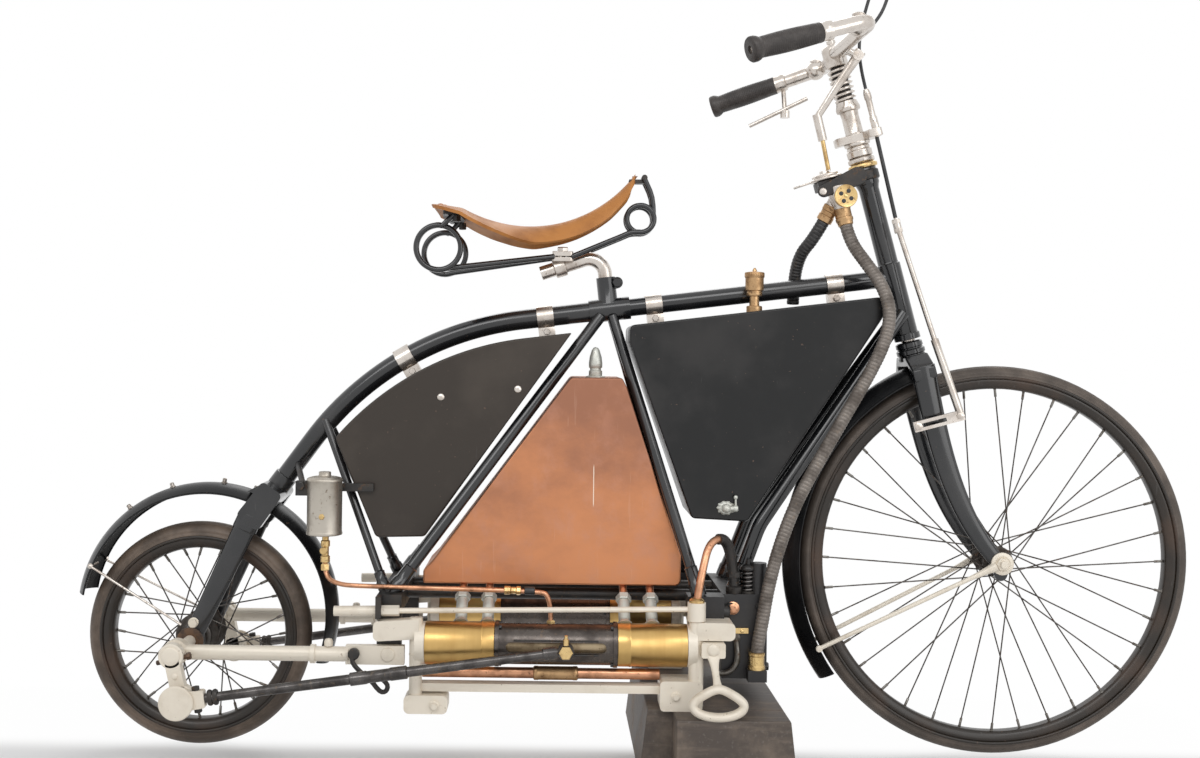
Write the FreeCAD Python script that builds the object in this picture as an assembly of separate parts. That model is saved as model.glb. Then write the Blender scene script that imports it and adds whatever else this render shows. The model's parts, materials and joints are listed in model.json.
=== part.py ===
import FreeCAD, Part
import math
import os

# Early four-cylinder motor bicycle, standing on its two wheels with the engine's front on a timber plinth.
# Millimetres. +X points forward, +Z up, and -Y is the machine's right-hand side. Z = 0 is the floor.

# Stance
FRONT_AXLE_AHEAD = 688.0   # front axle from the engine's middle
FRONT_WHEEL_R = 305.0
REAR_WHEEL_R = 175.0
HEAD_ANGLE = 15.2          # degrees from upright
FORK_OFFSET = 42.5         # axle ahead of the steering axis
FORK_LENGTH = 366.0        # crown race to the axle, along the steering axis
HEAD_LENGTH = 290.0

# Wheels
FRONT_TYRE_R = 15.0        # radius of the tyre's section
FRONT_TYRE_STAND = 18.0    # tread above the rim's seat
FRONT_RIM_DEPTH = 18.0
FRONT_SPOKES = 36
REAR_TYRE_R = 20.0
REAR_TYRE_STAND = 23.0
REAR_RIM_DEPTH = 18.0
REAR_SPOKES = 28
SPOKE_R = 1.1
SPOKE_LEAN = 72.0          # degrees between a spoke's two ends, seen from the side
FRONT_FLANGE_R = 24.0
FRONT_FLANGE_Y = 27.0
FRONT_HUB_HALF = 33.0
FRONT_HUB_R = 14.0
FRONT_AXLE_R = 5.5
REAR_FLANGE_R = 34.0
REAR_FLANGE_Y = 25.0
REAR_HUB_HALF = 36.0
REAR_HUB_R = 21.0
REAR_SHAFT_R = 9.0
BEARING_GAP = 0.1          # clearance all round a shaft in its bearing
RUNNING_GAP = 0.3          # between turning faces
FLANGE_THICK = 3.0

# Mudguards
FRONT_GUARD_GAP = 27.0     # from the tread out to the guard
FRONT_GUARD_HALF = 30.0
FRONT_GUARD_START = 114.0  # degrees round the axle from straight ahead
FRONT_GUARD_END = 215.0
REAR_GUARD_GAP = 30.0
REAR_GUARD_HALF = 36.0
REAR_GUARD_AHEAD = 12.0    # centre of the guard's arc from the rear axle
REAR_GUARD_ABOVE = 32.0
REAR_GUARD_START = -22.0
REAR_GUARD_END = 171.0
GUARD_SHEET = 1.6
GUARD_CROWN = 7.0          # how far the guard's edges stand below its middle

# Frame tubes
TOP_TUBE_R = 14.0
BACKBONE_R = 15.5
BACKBONE_BEND_R = 480.0
SEAT_LUG_AHEAD = 77.0      # seat lug from the engine's middle
SEAT_LUG_Z = 691.0
TOP_TUBE_SLOPE = 0.125
KNEE_BEHIND = 341.0        # corner of the backbone's two straight runs, from the seat lug
KNEE_BELOW = 43.0
CROWN_LUG_ANGLE = 63.716   # degrees round the rear guard's centre from straight ahead
CROWN_LUG_INSIDE = 22.087  # end of the backbone's line inside the guard's arc
REAR_DIAGONAL_R = 9.0
FRONT_DIAGONAL_R = 8.0
STRUT_R = 6.5
STRUT_GAP = 5.0            # between the rear struts and the rear case
DOWN_TUBE_R = 11.0
DOWN_TUBE_BEND_R = 90.0
LUG_WALL = 4.0
HEAD_TUBE_R = 14.0
HEAD_LUG_R = 17.5
HEAD_LUG_LENGTH = 125.0
STEERING_STEM_R = 11.0
REAR_BLADE_WIDTH = 34.0
REAR_BLADE_THICK = 15.0
REAR_BLADE_Y = 46.0        # blade centre at the crown
REAR_BEARING_Y = 60.0      # blade centre at the axle
REAR_BEARING_R = 20.0

# Fork
BLADE_Y_TOP = 45.0
BLADE_Y_AXLE = 43.0
BLADE_WIDTH_TOP = 38.0
BLADE_WIDTH_AXLE = 26.0
BLADE_THICK_TOP = 18.0
BLADE_THICK_AXLE = 9.0
CROWN_DEPTH = 60.0
CROWN_RING_R = 21.0
CROWN_HALF_E = 17.0

# Engine: one bank of two cylinders on each side
ENGINE_AHEAD = 559.0       # middle of the centre barrels from the rear axle
ENGINE_Z = 192.0
BANK_Y = 140.0
BARREL_R = 30.0
BARREL_LENGTH = 180.0
BARREL_BORE_R = 22.0
SLOT_LENGTH = 132.0
SLOT_HEIGHT = 15.0
JACKET_R = 32.0
JACKET_LENGTH = 103.0
CROSSHEAD_AHEAD = 14.0
CROSSHEAD_PIN_R = 6.0      # the pin's outer half is in the rod's eye, and its inner half in the crosshead
CROSSHEAD_NUT_R = 10.0
CROSSHEAD_NUT_THICK = 7.0
HEAD_DISC_R = 31.0
HEAD_DISC_THICK = 14.0
REAR_COLUMN_R = 9.5
FRONT_COLUMN_R = 11.0
COLUMN_OUT = 12.0          # column's middle outboard of the bank's
COLUMN_TOP_Z = 231.0
COLLAR_TOP_Z = 258.0
COLLAR_R = 13.5
FOOT_HALF_Y = 24.0
REAR_FOOT_Z = 92.0
REAR_FOOT_HEIGHT = 27.0
REAR_FOOT_BEHIND = 16.0    # from the rear column's middle
REAR_FOOT_LENGTH = 64.0
FRONT_FOOT_HEIGHT = 44.0
FRONT_FOOT_BEHIND = 40.0   # from the front head's face
ARM_LOW = 12.0             # lower and upper faces of the heads' arms above the cylinders' middle
ARM_HIGH = 38.0
TIE_ROD_R = 4.1
TIE_ROD_REAR_Z = 240.0
TIE_ROD_FRONT_Z = 248.0
TIE_END_R = 7.5
TIE_END_LENGTH = 62.0
TIE_NUT_R = 7.0
TIE_NUT_LENGTH = 26.0
BARREL_FLANGE_R = 33.5
BARREL_FLANGE_THICK = 6.0
LOWER_PIPE_R = 8.0
LOWER_PIPE_Z = 149.0
PIPE_IN_HEAD = 10.0
COUPLING_HALF = 23.0
COUPLING_R = 10.5
SILL_Z = 122.0
SILL_THICK = 12.0
ENGINE_RAIL_R = 9.0
ENGINE_RAIL_Y = 42.0
ENGINE_RAIL_Z = 250.0
BRACKET_BEHIND = 265.0     # rear face of the crossmember from the engine's middle
BRACKET_TOP_Z = 262.0
BRACKET_DEPTH = 26.0
BRACKET_EAR = 8.0          # thickness of the crossmember's ears, which the tie rods pass through
CASE_REAR_AHEAD = 250.0    # rear face of the gear case from the engine's middle
CASE_LENGTH = 68.0
CASE_HALF_Y = 100.0
CASE_BOTTOM_Z = 135.0
FRONT_LUG_Y = 127.0

# Cranks and rods
CRANK_THROW = 64.0
CRANK_FROM_DOWN = 13.0     # degrees ahead of straight down
CRANK_Y = 165.0            # inner face of the crank web
CRANK_THICK = 16.0
CRANK_BOSS_R = 20.0
CRANK_EYE_R = 22.0
CRANK_PIN_R = 8.0
ROD_Y = 184.0              # inner face of the connecting rod
ROD_THICK = 16.0
ROD_SHANK_R = 7.5
ROD_BIG_EYE_R = 17.0
ROD_SMALL_EYE_R = 13.0
CRANK_CAP_R = 24.0
CRANK_CAP_THICK = 6.0
STAY_Y = 148.0
STAY_TUBE_R = 11.0
STAY_BAR_LENGTH = 86.0
STAY_BAR_HEIGHT = 28.0
STAY_END_R = 19.0
STAY_END_THICK = 18.0

# Tanks and cases
REAR_CASE_HALF_Y = 65.0
COPPER_HALF_Y = 72.0
FRONT_TANK_HALF_Y = 65.0
CASE_GAP = 14.5            # between the upper tubes and the cases under them
CASE_LIFT = 74.0           # rear case's underside above the crossmember's top
TANK_LIFT = 105.0          # front tank's underside above it
COPPER_TOP_DROP = 106.0    # copper tank's top under the seat lug
OIL_CAN_LIFT = 81.0        # oil can's foot above the crossmember's top
FILLER_R = 14.0
OIL_CAN_R = 27.0
OIL_CAN_HEIGHT = 88.0
OIL_CAN_Y = 94.0

# Saddle
SADDLE_REAR_HALF = 112.0
SADDLE_NOSE_HALF = 27.0
LEATHER_THICK = 5.0
PILLAR_R = 11.0
SPRING_WIRE_R = 3.6
REAR_COIL_R = 35.0
FRONT_COIL_R = 24.0
SPRING_Y_REAR = 62.0
SPRING_Y_NOSE = 14.0

# Handlebar
BAR_R = 11.0
BAR_BEND_R = 34.0
BAR_ABOVE_HEAD = 176.0     # bar clamp above the head tube's top, along the steering axis
GRIP_LENGTH = 112.0
GRIP_R = 15.5
GRIP_END_R = 18.5
GRIP_Y = 230.0

# Stirrups
STIRRUP_HALF = 22.0        # end centre from the loop's middle
STIRRUP_R = 18.0
STIRRUP_BAR = 9.0
STIRRUP_WAIST_R = 4.0

# Plinth
PLINTH_HEIGHT = 100.0
PLINTH_HALF_Y = 212.0
PLINTH_REAR_AHEAD = 136.0  # from the engine's middle
PLINTH_LENGTH = 201.0
PLINTH_FLARE = 12.0
FRONT_BLOCK_DEPTH = 62.0
FRONT_BLOCK_SETBACK = 37.0

# Bent tubes are drawn in flats, and hoses and cables in fewer
TUBE_SIDES = 12
HOSE_SIDES = 8
CABLE_SIDES = 6
SPOKE_SIDES = 4

# Hoses and cable
HOSE_R = 10.0
HOSE_END_Y = 111.5
HOSE_END_Z = 152.0
CABLE_R = 2.6
CABLE_START_DROP = 66.0    # knuckle of the brake cable under the bar clamp
VALVE_BELOW_TOP = 48.0     # middle of the mixing valve under the head tube's top

VALVE_T = HEAD_LENGTH - VALVE_BELOW_TOP
BAR_STATION = HEAD_LENGTH + BAR_ABOVE_HEAD
CABLE_START_T = BAR_STATION - CABLE_START_DROP

FRONT_RIM_SEAT_R = FRONT_WHEEL_R - FRONT_TYRE_STAND
FRONT_RIM_INNER_R = FRONT_RIM_SEAT_R - FRONT_RIM_DEPTH
REAR_RIM_SEAT_R = REAR_WHEEL_R - REAR_TYRE_STAND
REAR_RIM_INNER_R = REAR_RIM_SEAT_R - REAR_RIM_DEPTH
FRONT_GUARD_R = FRONT_WHEEL_R + FRONT_GUARD_GAP
REAR_GUARD_R = REAR_WHEEL_R + REAR_GUARD_GAP
WHEELBASE = ENGINE_AHEAD + FRONT_AXLE_AHEAD
REAR_OVERHANG = REAR_GUARD_R - REAR_GUARD_AHEAD - 2.5
REAR_X = REAR_OVERHANG - (REAR_OVERHANG + WHEELBASE + FRONT_WHEEL_R) / 2.0
FRONT_X = REAR_X + WHEELBASE
ENGINE_X = REAR_X + ENGINE_AHEAD
SEAT_X = ENGINE_X + SEAT_LUG_AHEAD


def V(x, y, z):
    return FreeCAD.Vector(x, y, z)


REAR_AXLE = V(REAR_X, 0, REAR_WHEEL_R)
FRONT_AXLE = V(FRONT_X, 0, FRONT_WHEEL_R)
SEAT_LUG = V(SEAT_X, 0, SEAT_LUG_Z)
Y_AXIS = V(0, 1, 0)
TILT = math.radians(HEAD_ANGLE)
UP_HEAD = V(-math.sin(TILT), 0, math.cos(TILT))
AHEAD_HEAD = V(math.cos(TILT), 0, math.sin(TILT))
CROWN_RACE = FRONT_AXLE + UP_HEAD * FORK_LENGTH - AHEAD_HEAD * FORK_OFFSET


def head(t, e=0.0, y=0.0):
    """Point t above the crown race along the steering axis, e ahead of it and y to the left."""
    return CROWN_RACE + UP_HEAD * t + AHEAD_HEAD * e + V(0, y, 0)


def rod(p, q, radius, bore=0.0):
    """Straight round bar or tube from p to q."""
    run = q - p
    solid = Part.makeCylinder(radius, run.Length, p, run)
    if bore:
        solid = solid.cut(Part.makeCylinder(bore, run.Length, p, run))
    return solid


def disc(centre, radius, y0, y1, bore=0.0):
    """Round plate about an axis along Y."""
    return rod(V(centre.x, y0, centre.z), V(centre.x, y1, centre.z), radius, bore)


def prism(points, y0, y1):
    """Straight-sided plate: an outline in X and Z, carried from y0 to y1."""
    corners = [V(x, y0, z) for x, z in points]
    face = Part.Face(Part.makePolygon(corners + corners[:1]))
    return face.extrude(V(0, y1 - y0, 0))


def outline(x0, x1, z0, z1):
    """Four corners of a rectangle in X and Z."""
    return [(x0, z0), (x1, z0), (x1, z1), (x0, z1)]


def box(x0, x1, y0, y1, z0, z1):
    return Part.makeBox(x1 - x0, y1 - y0, z1 - z0, V(x0, y0, z0))


def bent_wire(points, radii):
    """Straight runs joined by tangent arcs, one radius for each inner point."""
    edges = []
    start = points[0]
    for i, radius in enumerate(radii, 1):
        into = (points[i] - points[i - 1]).normalize()
        out = (points[i + 1] - points[i]).normalize()
        turn = into.getAngle(out)
        back = radius * math.tan(turn / 2.0)
        a = points[i] - into * back
        b = points[i] + out * back
        bisector = (out - into).normalize()
        middle = points[i] + bisector * (radius / math.cos(turn / 2.0) - radius)
        edges.append(Part.LineSegment(start, a).toShape())
        edges.append(Part.Arc(a, middle, b).toShape())
        start = b
    edges.append(Part.LineSegment(start, points[-1]).toShape())
    return Part.Wire(edges)


def many_sided(centre, along, radius, sides):
    """Even-sided outline round a circle of the given radius, square to a direction."""
    turn = FreeCAD.Rotation(V(0, 0, 1), along)
    corner_r = radius / math.cos(math.pi / sides)
    corners = []
    for k in range(sides + 1):
        angle = 2.0 * math.pi * k / sides
        corners.append(centre + turn.multVec(V(corner_r * math.cos(angle), corner_r * math.sin(angle), 0)))
    return Part.makePolygon(corners)


def sided_rod(p, q, radius, sides):
    """Straight bar from p to q with flats, such as a hexagon nut."""
    return Part.Face(many_sided(p, q - p, radius, sides)).extrude(q - p)


def bent_tube(points, radii, radius, sides=TUBE_SIDES):
    """Bar along straight runs and tangent arcs, in as many flats as its curve needs."""
    path = bent_wire(points, radii)
    outline = many_sided(points[0], points[1] - points[0], radius, sides)
    return path.makePipeShell([outline], True, False)


def cord_radii(points):
    """Arc radius at each inner point: 0.45 of the shorter run over the tangent of half the turn."""
    radii = []
    for i in range(1, len(points) - 1):
        into = points[i] - points[i - 1]
        out = points[i + 1] - points[i]
        turn = into.getAngle(out)
        radii.append(0.45 * min(into.Length, out.Length) / math.tan(turn / 2.0))
    return radii


def cord(name, points, radius, sides):
    """Tube of a hose or cable; its bend radii, its length and its volume against the plain one are printed."""
    radii = cord_radii(points)
    solid = bent_tube(points, radii, radius, sides)
    length = bent_wire(points, radii).Length
    plain = sides * math.tan(math.pi / sides) * radius * radius * length
    print(name, "length", round(length), "radii", [round(r) for r in radii], "volume ratio",
          round(solid.Volume / plain, 4))
    return solid


def revolve_about_y(profile, centre, start=0.0, sweep=360.0):
    """Turn a closed outline of (radius, y) points about the Y line through centre."""
    corners = [centre + V(r, y, 0) for r, y in profile]
    face = Part.Face(Part.makePolygon(corners + corners[:1]))
    solid = face.revolve(centre, V(0, -1, 0), sweep)
    solid.rotate(centre, V(0, -1, 0), start)
    return solid


def mirrored(shape):
    return shape.mirror(V(0, 0, 0), Y_AXIS)


def pair(shape):
    return [shape, mirrored(shape)]


def fused(first, *others):
    return first.fuse(list(others)).removeSplitter()


def largest(shape):
    """The biggest solid of what a cut leaves."""
    return sorted(shape.Solids, key=lambda s: s.Volume)[-1]


def rounded(shape, corners, radius):
    """Round the edges that run along Y through the given (x, z) corners."""
    edges = []
    for edge in shape.Edges:
        a = edge.Vertexes[0].Point
        b = edge.Vertexes[-1].Point
        along_y = abs(a.x - b.x) + abs(a.z - b.z) < 0.01
        near = [c for c in corners if abs(a.x - c[0]) + abs(a.z - c[1]) < 0.5]
        if along_y and near and abs(a.y - b.y) > 1.0:
            edges.append(edge)
    return shape.makeFillet(radius, edges)


# Main lines of the frame
HEAD_TOP_JOINT_T = (SEAT_LUG_Z + TOP_TUBE_SLOPE * (CROWN_RACE.x - SEAT_X) - CROWN_RACE.z) / (
    UP_HEAD.z - TOP_TUBE_SLOPE * UP_HEAD.x)
HEAD_TOP_JOINT = head(HEAD_TOP_JOINT_T)
KNEE = SEAT_LUG - V(KNEE_BEHIND, 0, KNEE_BELOW)
GUARD_CENTRE = REAR_AXLE + V(REAR_GUARD_AHEAD, 0, REAR_GUARD_ABOVE)
CROWN_TURN = math.radians(CROWN_LUG_ANGLE)
REAR_CROWN = GUARD_CENTRE + V(math.cos(CROWN_TURN), 0, math.sin(CROWN_TURN)) * (REAR_GUARD_R - CROWN_LUG_INSIDE)
TOP_ALONG = (HEAD_TOP_JOINT - SEAT_LUG).normalize()
UPPER_ALONG = (KNEE - SEAT_LUG).normalize()
LOWER_ALONG = (REAR_CROWN - KNEE).normalize()
BACKBONE_TURN = UPPER_ALONG.getAngle(LOWER_ALONG)
BACKBONE_TANGENT = BACKBONE_BEND_R * math.tan(BACKBONE_TURN / 2.0)
BRACKET_X = ENGINE_X - BRACKET_BEHIND
STRUT_TOP = KNEE + (REAR_CROWN - KNEE) * 0.5 + V(0, -12.0, 2.5)
STRUT_FOOT = V(BRACKET_X + 6.0, -92.0, BRACKET_TOP_Z)
CASE_X0 = ENGINE_X + CASE_REAR_AHEAD
CASE_X1 = CASE_X0 + CASE_LENGTH
HOSE_END_X = CASE_X1 - 17.0
REAR_FACE_X = ENGINE_X - BARREL_LENGTH / 2.0 - JACKET_LENGTH
FRONT_FACE_X = ENGINE_X + BARREL_LENGTH / 2.0 + JACKET_LENGTH
CRANK_TURN = math.radians(CRANK_FROM_DOWN)
CRANK_PIN = REAR_AXLE + V(CRANK_THROW * math.sin(CRANK_TURN), 0, -CRANK_THROW * math.cos(CRANK_TURN))
CROSSHEAD = V(ENGINE_X + CROSSHEAD_AHEAD, 0, ENGINE_Z)


def tyre(centre, wheel_r, section_r, seat_r):
    """Round tyre that sits on the rim's flat seat; the tread is an arc of short straight steps."""
    steps = 6
    middle = wheel_r - section_r
    from_top = math.acos((seat_r - middle) / section_r)
    profile = []
    for i in range(steps + 1):
        angle = -from_top + 2.0 * from_top * i / steps
        profile.append((middle + section_r * math.cos(angle), section_r * math.sin(angle)))
    return revolve_about_y(profile, centre)


def rim(centre, section_r, wheel_r, seat_r, inner_r):
    """Deep wheel rim, as wide at its seat as the tyre."""
    middle = wheel_r - section_r
    half = math.sqrt(section_r ** 2 - (seat_r - middle) ** 2)
    profile = [(seat_r, -half), (seat_r, half), (inner_r, 0.45 * half), (inner_r, -0.45 * half)]
    return revolve_about_y(profile, centre)


def spoke(centre, angle, lean, y_hub, y_rim, flange_r, inner_r):
    """One spoke from the hub's flange to the rim's inner face."""
    a = math.radians(angle)
    b = math.radians(angle + lean)
    start = centre + V(flange_r * math.cos(b), y_hub, flange_r * math.sin(b))
    end = centre + V((inner_r + 2.0) * math.cos(a), y_rim, (inner_r + 2.0) * math.sin(a))
    return sided_rod(start, end, SPOKE_R, SPOKE_SIDES)


def wire_wheel(centre, count, flange_r, flange_y, hub_half, hub_r, bore, inner_r):
    """Hub with its flanges and tangent spokes, which end at the rim's inner face."""
    hub = disc(centre, hub_r, -hub_half, hub_half)
    flanges = [disc(centre, flange_r, side * flange_y - FLANGE_THICK / 2.0, side * flange_y + FLANGE_THICK / 2.0)
               for side in (-1, 1)]
    spokes = []
    for k in range(count):
        side = -1 if k % 2 else 1
        lean = SPOKE_LEAN if (k // 2) % 2 else -SPOKE_LEAN
        out = 2.0 if lean > 0 else -2.0
        spokes.append(spoke(centre, 360.0 * k / count, lean, side * (flange_y + out * 0.6), side * (4.0 + out),
                            flange_r - 2.5, inner_r))
    wheel = hub.fuse(flanges + spokes)
    if bore:
        wheel = wheel.cut(disc(centre, bore, -hub_half - 1.0, hub_half + 1.0))
    return wheel.common(disc(centre, inner_r, -hub_half, hub_half))


def guard(centre, radius, half, start, end):
    """Thin crowned strip bent round a wheel."""
    steps = 3
    outer = []
    for i in range(steps + 1):
        y = -half + 2.0 * half * i / steps
        outer.append((radius - GUARD_CROWN * (y / half) ** 2, y))
    inner = [(r - GUARD_SHEET, y) for r, y in reversed(outer)]
    return revolve_about_y(outer + inner, centre, start, end - start)


def front_wheel():
    nodes = {"front_tyre": tyre(FRONT_AXLE, FRONT_WHEEL_R, FRONT_TYRE_R, FRONT_RIM_SEAT_R),
             "front_rim": rim(FRONT_AXLE, FRONT_TYRE_R, FRONT_WHEEL_R, FRONT_RIM_SEAT_R, FRONT_RIM_INNER_R),
             "front_spokes": wire_wheel(FRONT_AXLE, FRONT_SPOKES, FRONT_FLANGE_R, FRONT_FLANGE_Y, FRONT_HUB_HALF,
                                        FRONT_HUB_R, FRONT_AXLE_R + BEARING_GAP, FRONT_RIM_INNER_R)}
    return nodes


def crank(side):
    """Overhung crank: boss, web, pin and the cap that keeps the rod on."""
    y0 = side * CRANK_Y
    y1 = side * (CRANK_Y + CRANK_THICK)
    y2 = side * (ROD_Y + ROD_THICK + RUNNING_GAP)
    y3 = y2 + side * CRANK_CAP_THICK
    web_axis = (CRANK_PIN - REAR_AXLE).normalize()
    across = V(web_axis.z, 0, -web_axis.x)
    corners = [REAR_AXLE + across * 13, REAR_AXLE - across * 13, CRANK_PIN - across * 15, CRANK_PIN + across * 15]
    web = prism([(c.x, c.z) for c in corners], min(y0, y1), max(y0, y1))
    parts = [disc(CRANK_PIN, CRANK_EYE_R, y0, y1), web, disc(CRANK_PIN, CRANK_PIN_R, y0, y2),
             disc(CRANK_PIN, CRANK_CAP_R, y2, y3)]
    return fused(disc(REAR_AXLE, CRANK_BOSS_R, y0, y1), *parts)


def rear_wheel():
    wheel = wire_wheel(REAR_AXLE, REAR_SPOKES, REAR_FLANGE_R, REAR_FLANGE_Y, REAR_HUB_HALF, REAR_HUB_R,
                       REAR_SHAFT_R, REAR_RIM_INNER_R)
    shaft = disc(REAR_AXLE, REAR_SHAFT_R, -CRANK_Y, CRANK_Y)
    return {"rear_tyre": tyre(REAR_AXLE, REAR_WHEEL_R, REAR_TYRE_R, REAR_RIM_SEAT_R),
            "rear_rim": rim(REAR_AXLE, REAR_TYRE_R, REAR_WHEEL_R, REAR_RIM_SEAT_R, REAR_RIM_INNER_R),
            "rear_spokes": wheel,
            "crankshaft": fused(shaft, crank(-1), crank(1))}


def connecting_rod(side):
    y0 = side * ROD_Y
    y1 = side * (ROD_Y + ROD_THICK)
    middle = V(0, (y0 + y1) / 2.0, 0)
    along = (CROSSHEAD - CRANK_PIN).normalize()
    shank = rod(CRANK_PIN + middle, CROSSHEAD + middle, ROD_SHANK_R)
    sleeve_at = CRANK_PIN + middle + along * 250.0
    sleeve = rod(sleeve_at, sleeve_at + along * 84.0, ROD_SHANK_R + 2.0)
    big = disc(CRANK_PIN, ROD_BIG_EYE_R, y0, y1)
    small = disc(CROSSHEAD, ROD_SMALL_EYE_R, y0, y1)
    pin = disc(CROSSHEAD, CROSSHEAD_PIN_R, side * (BANK_Y + BARREL_R + RUNNING_GAP), y1)
    nut = disc(CROSSHEAD, CROSSHEAD_NUT_R, y1, y1 + side * CROSSHEAD_NUT_THICK)
    body = fused(shank, sleeve, big, small, pin, nut)
    return body.cut(disc(CRANK_PIN, CRANK_PIN_R + BEARING_GAP, y0 - side, y1 + side))


def frame_tubes():
    """Head tube, top tube, backbone, lugs, diagonals, struts and down tubes."""
    head_tube = fused(rod(head(3.0), head(HEAD_LENGTH), HEAD_TUBE_R),
                      rod(head(3.0), head(HEAD_LUG_LENGTH), HEAD_LUG_R),
                      rod(head(3.0), head(13.0), HEAD_LUG_R + 3.0),
                      rod(head(HEAD_LENGTH - 34.0), head(HEAD_LENGTH), HEAD_LUG_R),
                      rod(head(HEAD_LENGTH - 7.0), head(HEAD_LENGTH), HEAD_LUG_R + 2.5))
    bore = rod(head(0.0), head(HEAD_LENGTH + 2.0), STEERING_STEM_R + BEARING_GAP)
    solid_head = head_tube
    head_tube = head_tube.cut(bore)
    top = rod(SEAT_LUG, HEAD_TOP_JOINT, TOP_TUBE_R).cut(solid_head)
    top = largest(top)
    backbone = bent_tube([SEAT_LUG, KNEE, REAR_CROWN - LOWER_ALONG * 5.0], [BACKBONE_BEND_R], BACKBONE_R)
    backbone = backbone.cut([top, disc(GUARD_CENTRE, REAR_GUARD_R, -60.0, 60.0)])

    sleeve = rod(SEAT_LUG - TOP_ALONG * 30.0, SEAT_LUG + TOP_ALONG * 34.0, TOP_TUBE_R + LUG_WALL)
    clamp_foot = SEAT_LUG + V(0, 0, 8.0)
    clamp_top = SEAT_LUG + V(-5.0, 0, 51.0)
    clamp = rod(clamp_foot, clamp_top, PILLAR_R + LUG_WALL)
    ear = disc(SEAT_LUG + V(13.0, 0, 43.0), 9.0, -9.0, 9.0)
    ear_web = prism([(SEAT_X, SEAT_LUG_Z + 30.0), (SEAT_X + 14.0, SEAT_LUG_Z + 34.0),
                     (SEAT_X + 14.0, SEAT_LUG_Z + 52.0), (SEAT_X - 2.0, SEAT_LUG_Z + 50.0)], -8.0, 8.0)
    lug = fused(sleeve, clamp, ear, ear_web)
    lug = lug.cut([top, backbone])
    lug = largest(lug)

    rear_top = SEAT_LUG + V(-12.0, -13.0, -10.0)
    rear_foot = V(BRACKET_X + 20.0, -112.0, BRACKET_TOP_Z)
    front_top = SEAT_LUG + V(6.0, -12.0, -10.0)
    front_foot = V(ENGINE_X + 214.0, -116.0, BRACKET_TOP_Z)
    carrier = [lug, top, backbone]
    floor = box(SEAT_X - 1000.0, SEAT_X + 1000.0, -300.0, 300.0, BRACKET_TOP_Z - 60.0, BRACKET_TOP_Z)
    rear_diagonal = trimmed(rear_top, rear_foot, REAR_DIAGONAL_R, carrier + [floor])
    front_diagonal = trimmed(front_top, front_foot, FRONT_DIAGONAL_R, carrier + [floor])
    strut = trimmed(STRUT_TOP, STRUT_FOOT, STRUT_R, [backbone, floor])

    down_top = head(46.0, 0.0, -12.0)
    down_knee = V(CASE_X0 + 60.0, -60.0, BRACKET_TOP_Z + TANK_LIFT - 6.0)
    down_foot = V(CASE_X0 + 16.0, -66.0, BRACKET_TOP_Z - 20.0)
    down = bent_tube([down_top, down_knee, down_foot], [DOWN_TUBE_BEND_R], DOWN_TUBE_R)
    down = down.cut([solid_head, floor])
    down = largest(down)
    return {"head_tube": head_tube, "top_tube": top, "backbone": backbone, "seat_lug": lug,
            "seat_stays": pair(rear_diagonal) + pair(front_diagonal) + pair(strut), "down_tubes": pair(down)}


def trimmed(top, foot, radius, neighbours):
    """Straight tube run a little past its foot, with all that its neighbours fill cut away."""
    along = (foot - top).normalize()
    tube = rod(top, foot + along * 20.0, radius).cut(neighbours)
    return largest(tube)


def blade_section(at, across, outward, width, thick):
    """Flat-sided section of a fork blade, with its front and rear edges bevelled."""
    corners = []
    for a, b in ((0.5, 0.18), (0.28, 0.5), (-0.28, 0.5), (-0.5, 0.18), (-0.5, -0.18), (-0.28, -0.5), (0.28, -0.5),
                 (0.5, -0.18)):
        corners.append(at + across * (a * width) + outward * (b * thick))
    return Part.makePolygon(corners + corners[:1])


def rear_fork(backbone):
    """Crown lug over the mudguard, and the two broad blades down to the axle bearings."""
    normal = V(-LOWER_ALONG.z, 0, LOWER_ALONG.x)
    top = REAR_CROWN - LOWER_ALONG * 46.0
    low = REAR_CROWN + LOWER_ALONG * 22.0
    outline = [top + normal * 19, top - normal * 19, low - normal * 21, low + normal * 21]
    half = REAR_BLADE_Y + REAR_BLADE_THICK / 2.0
    crown = prism([(c.x, c.z) for c in outline], -half, half)
    crown = rounded(crown, [(c.x, c.z) for c in outline], 8.0)
    sleeve = rod(REAR_CROWN - LOWER_ALONG * 66.0, REAR_CROWN - LOWER_ALONG * 20.0, BACKBONE_R + LUG_WALL)
    tunnel = disc(GUARD_CENTRE, REAR_GUARD_R, -REAR_GUARD_HALF - 1.0, REAR_GUARD_HALF + 1.0)
    crown = crown.fuse(sleeve).cut([tunnel, backbone])
    crown = largest(crown)
    blade_top = low + V(0, -REAR_BLADE_Y, 0)
    blade_foot = REAR_AXLE + V(0, -REAR_BEARING_Y, 0)
    along = (blade_foot - blade_top).normalize()
    sections = []
    for at, width in ((blade_top - along * 12.0, REAR_BLADE_WIDTH + 2.0), (blade_foot, REAR_BLADE_WIDTH - 6.0)):
        sections.append(blade_section(at, V(0, 1, 0).cross(along).normalize(), V(0, 1, 0), width, REAR_BLADE_THICK))
    blade = Part.makeLoft(sections, True, True)
    bearing = disc(REAR_AXLE, REAR_BEARING_R, -REAR_BEARING_Y - 8.0, -REAR_BEARING_Y + 8.0)
    blade = blade.fuse(bearing).cut([disc(REAR_AXLE, REAR_SHAFT_R + BEARING_GAP, -200.0, 0.0), crown])
    blade = largest(blade)
    return {"rear_fork": fused(crown, *pair(blade))}


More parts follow.
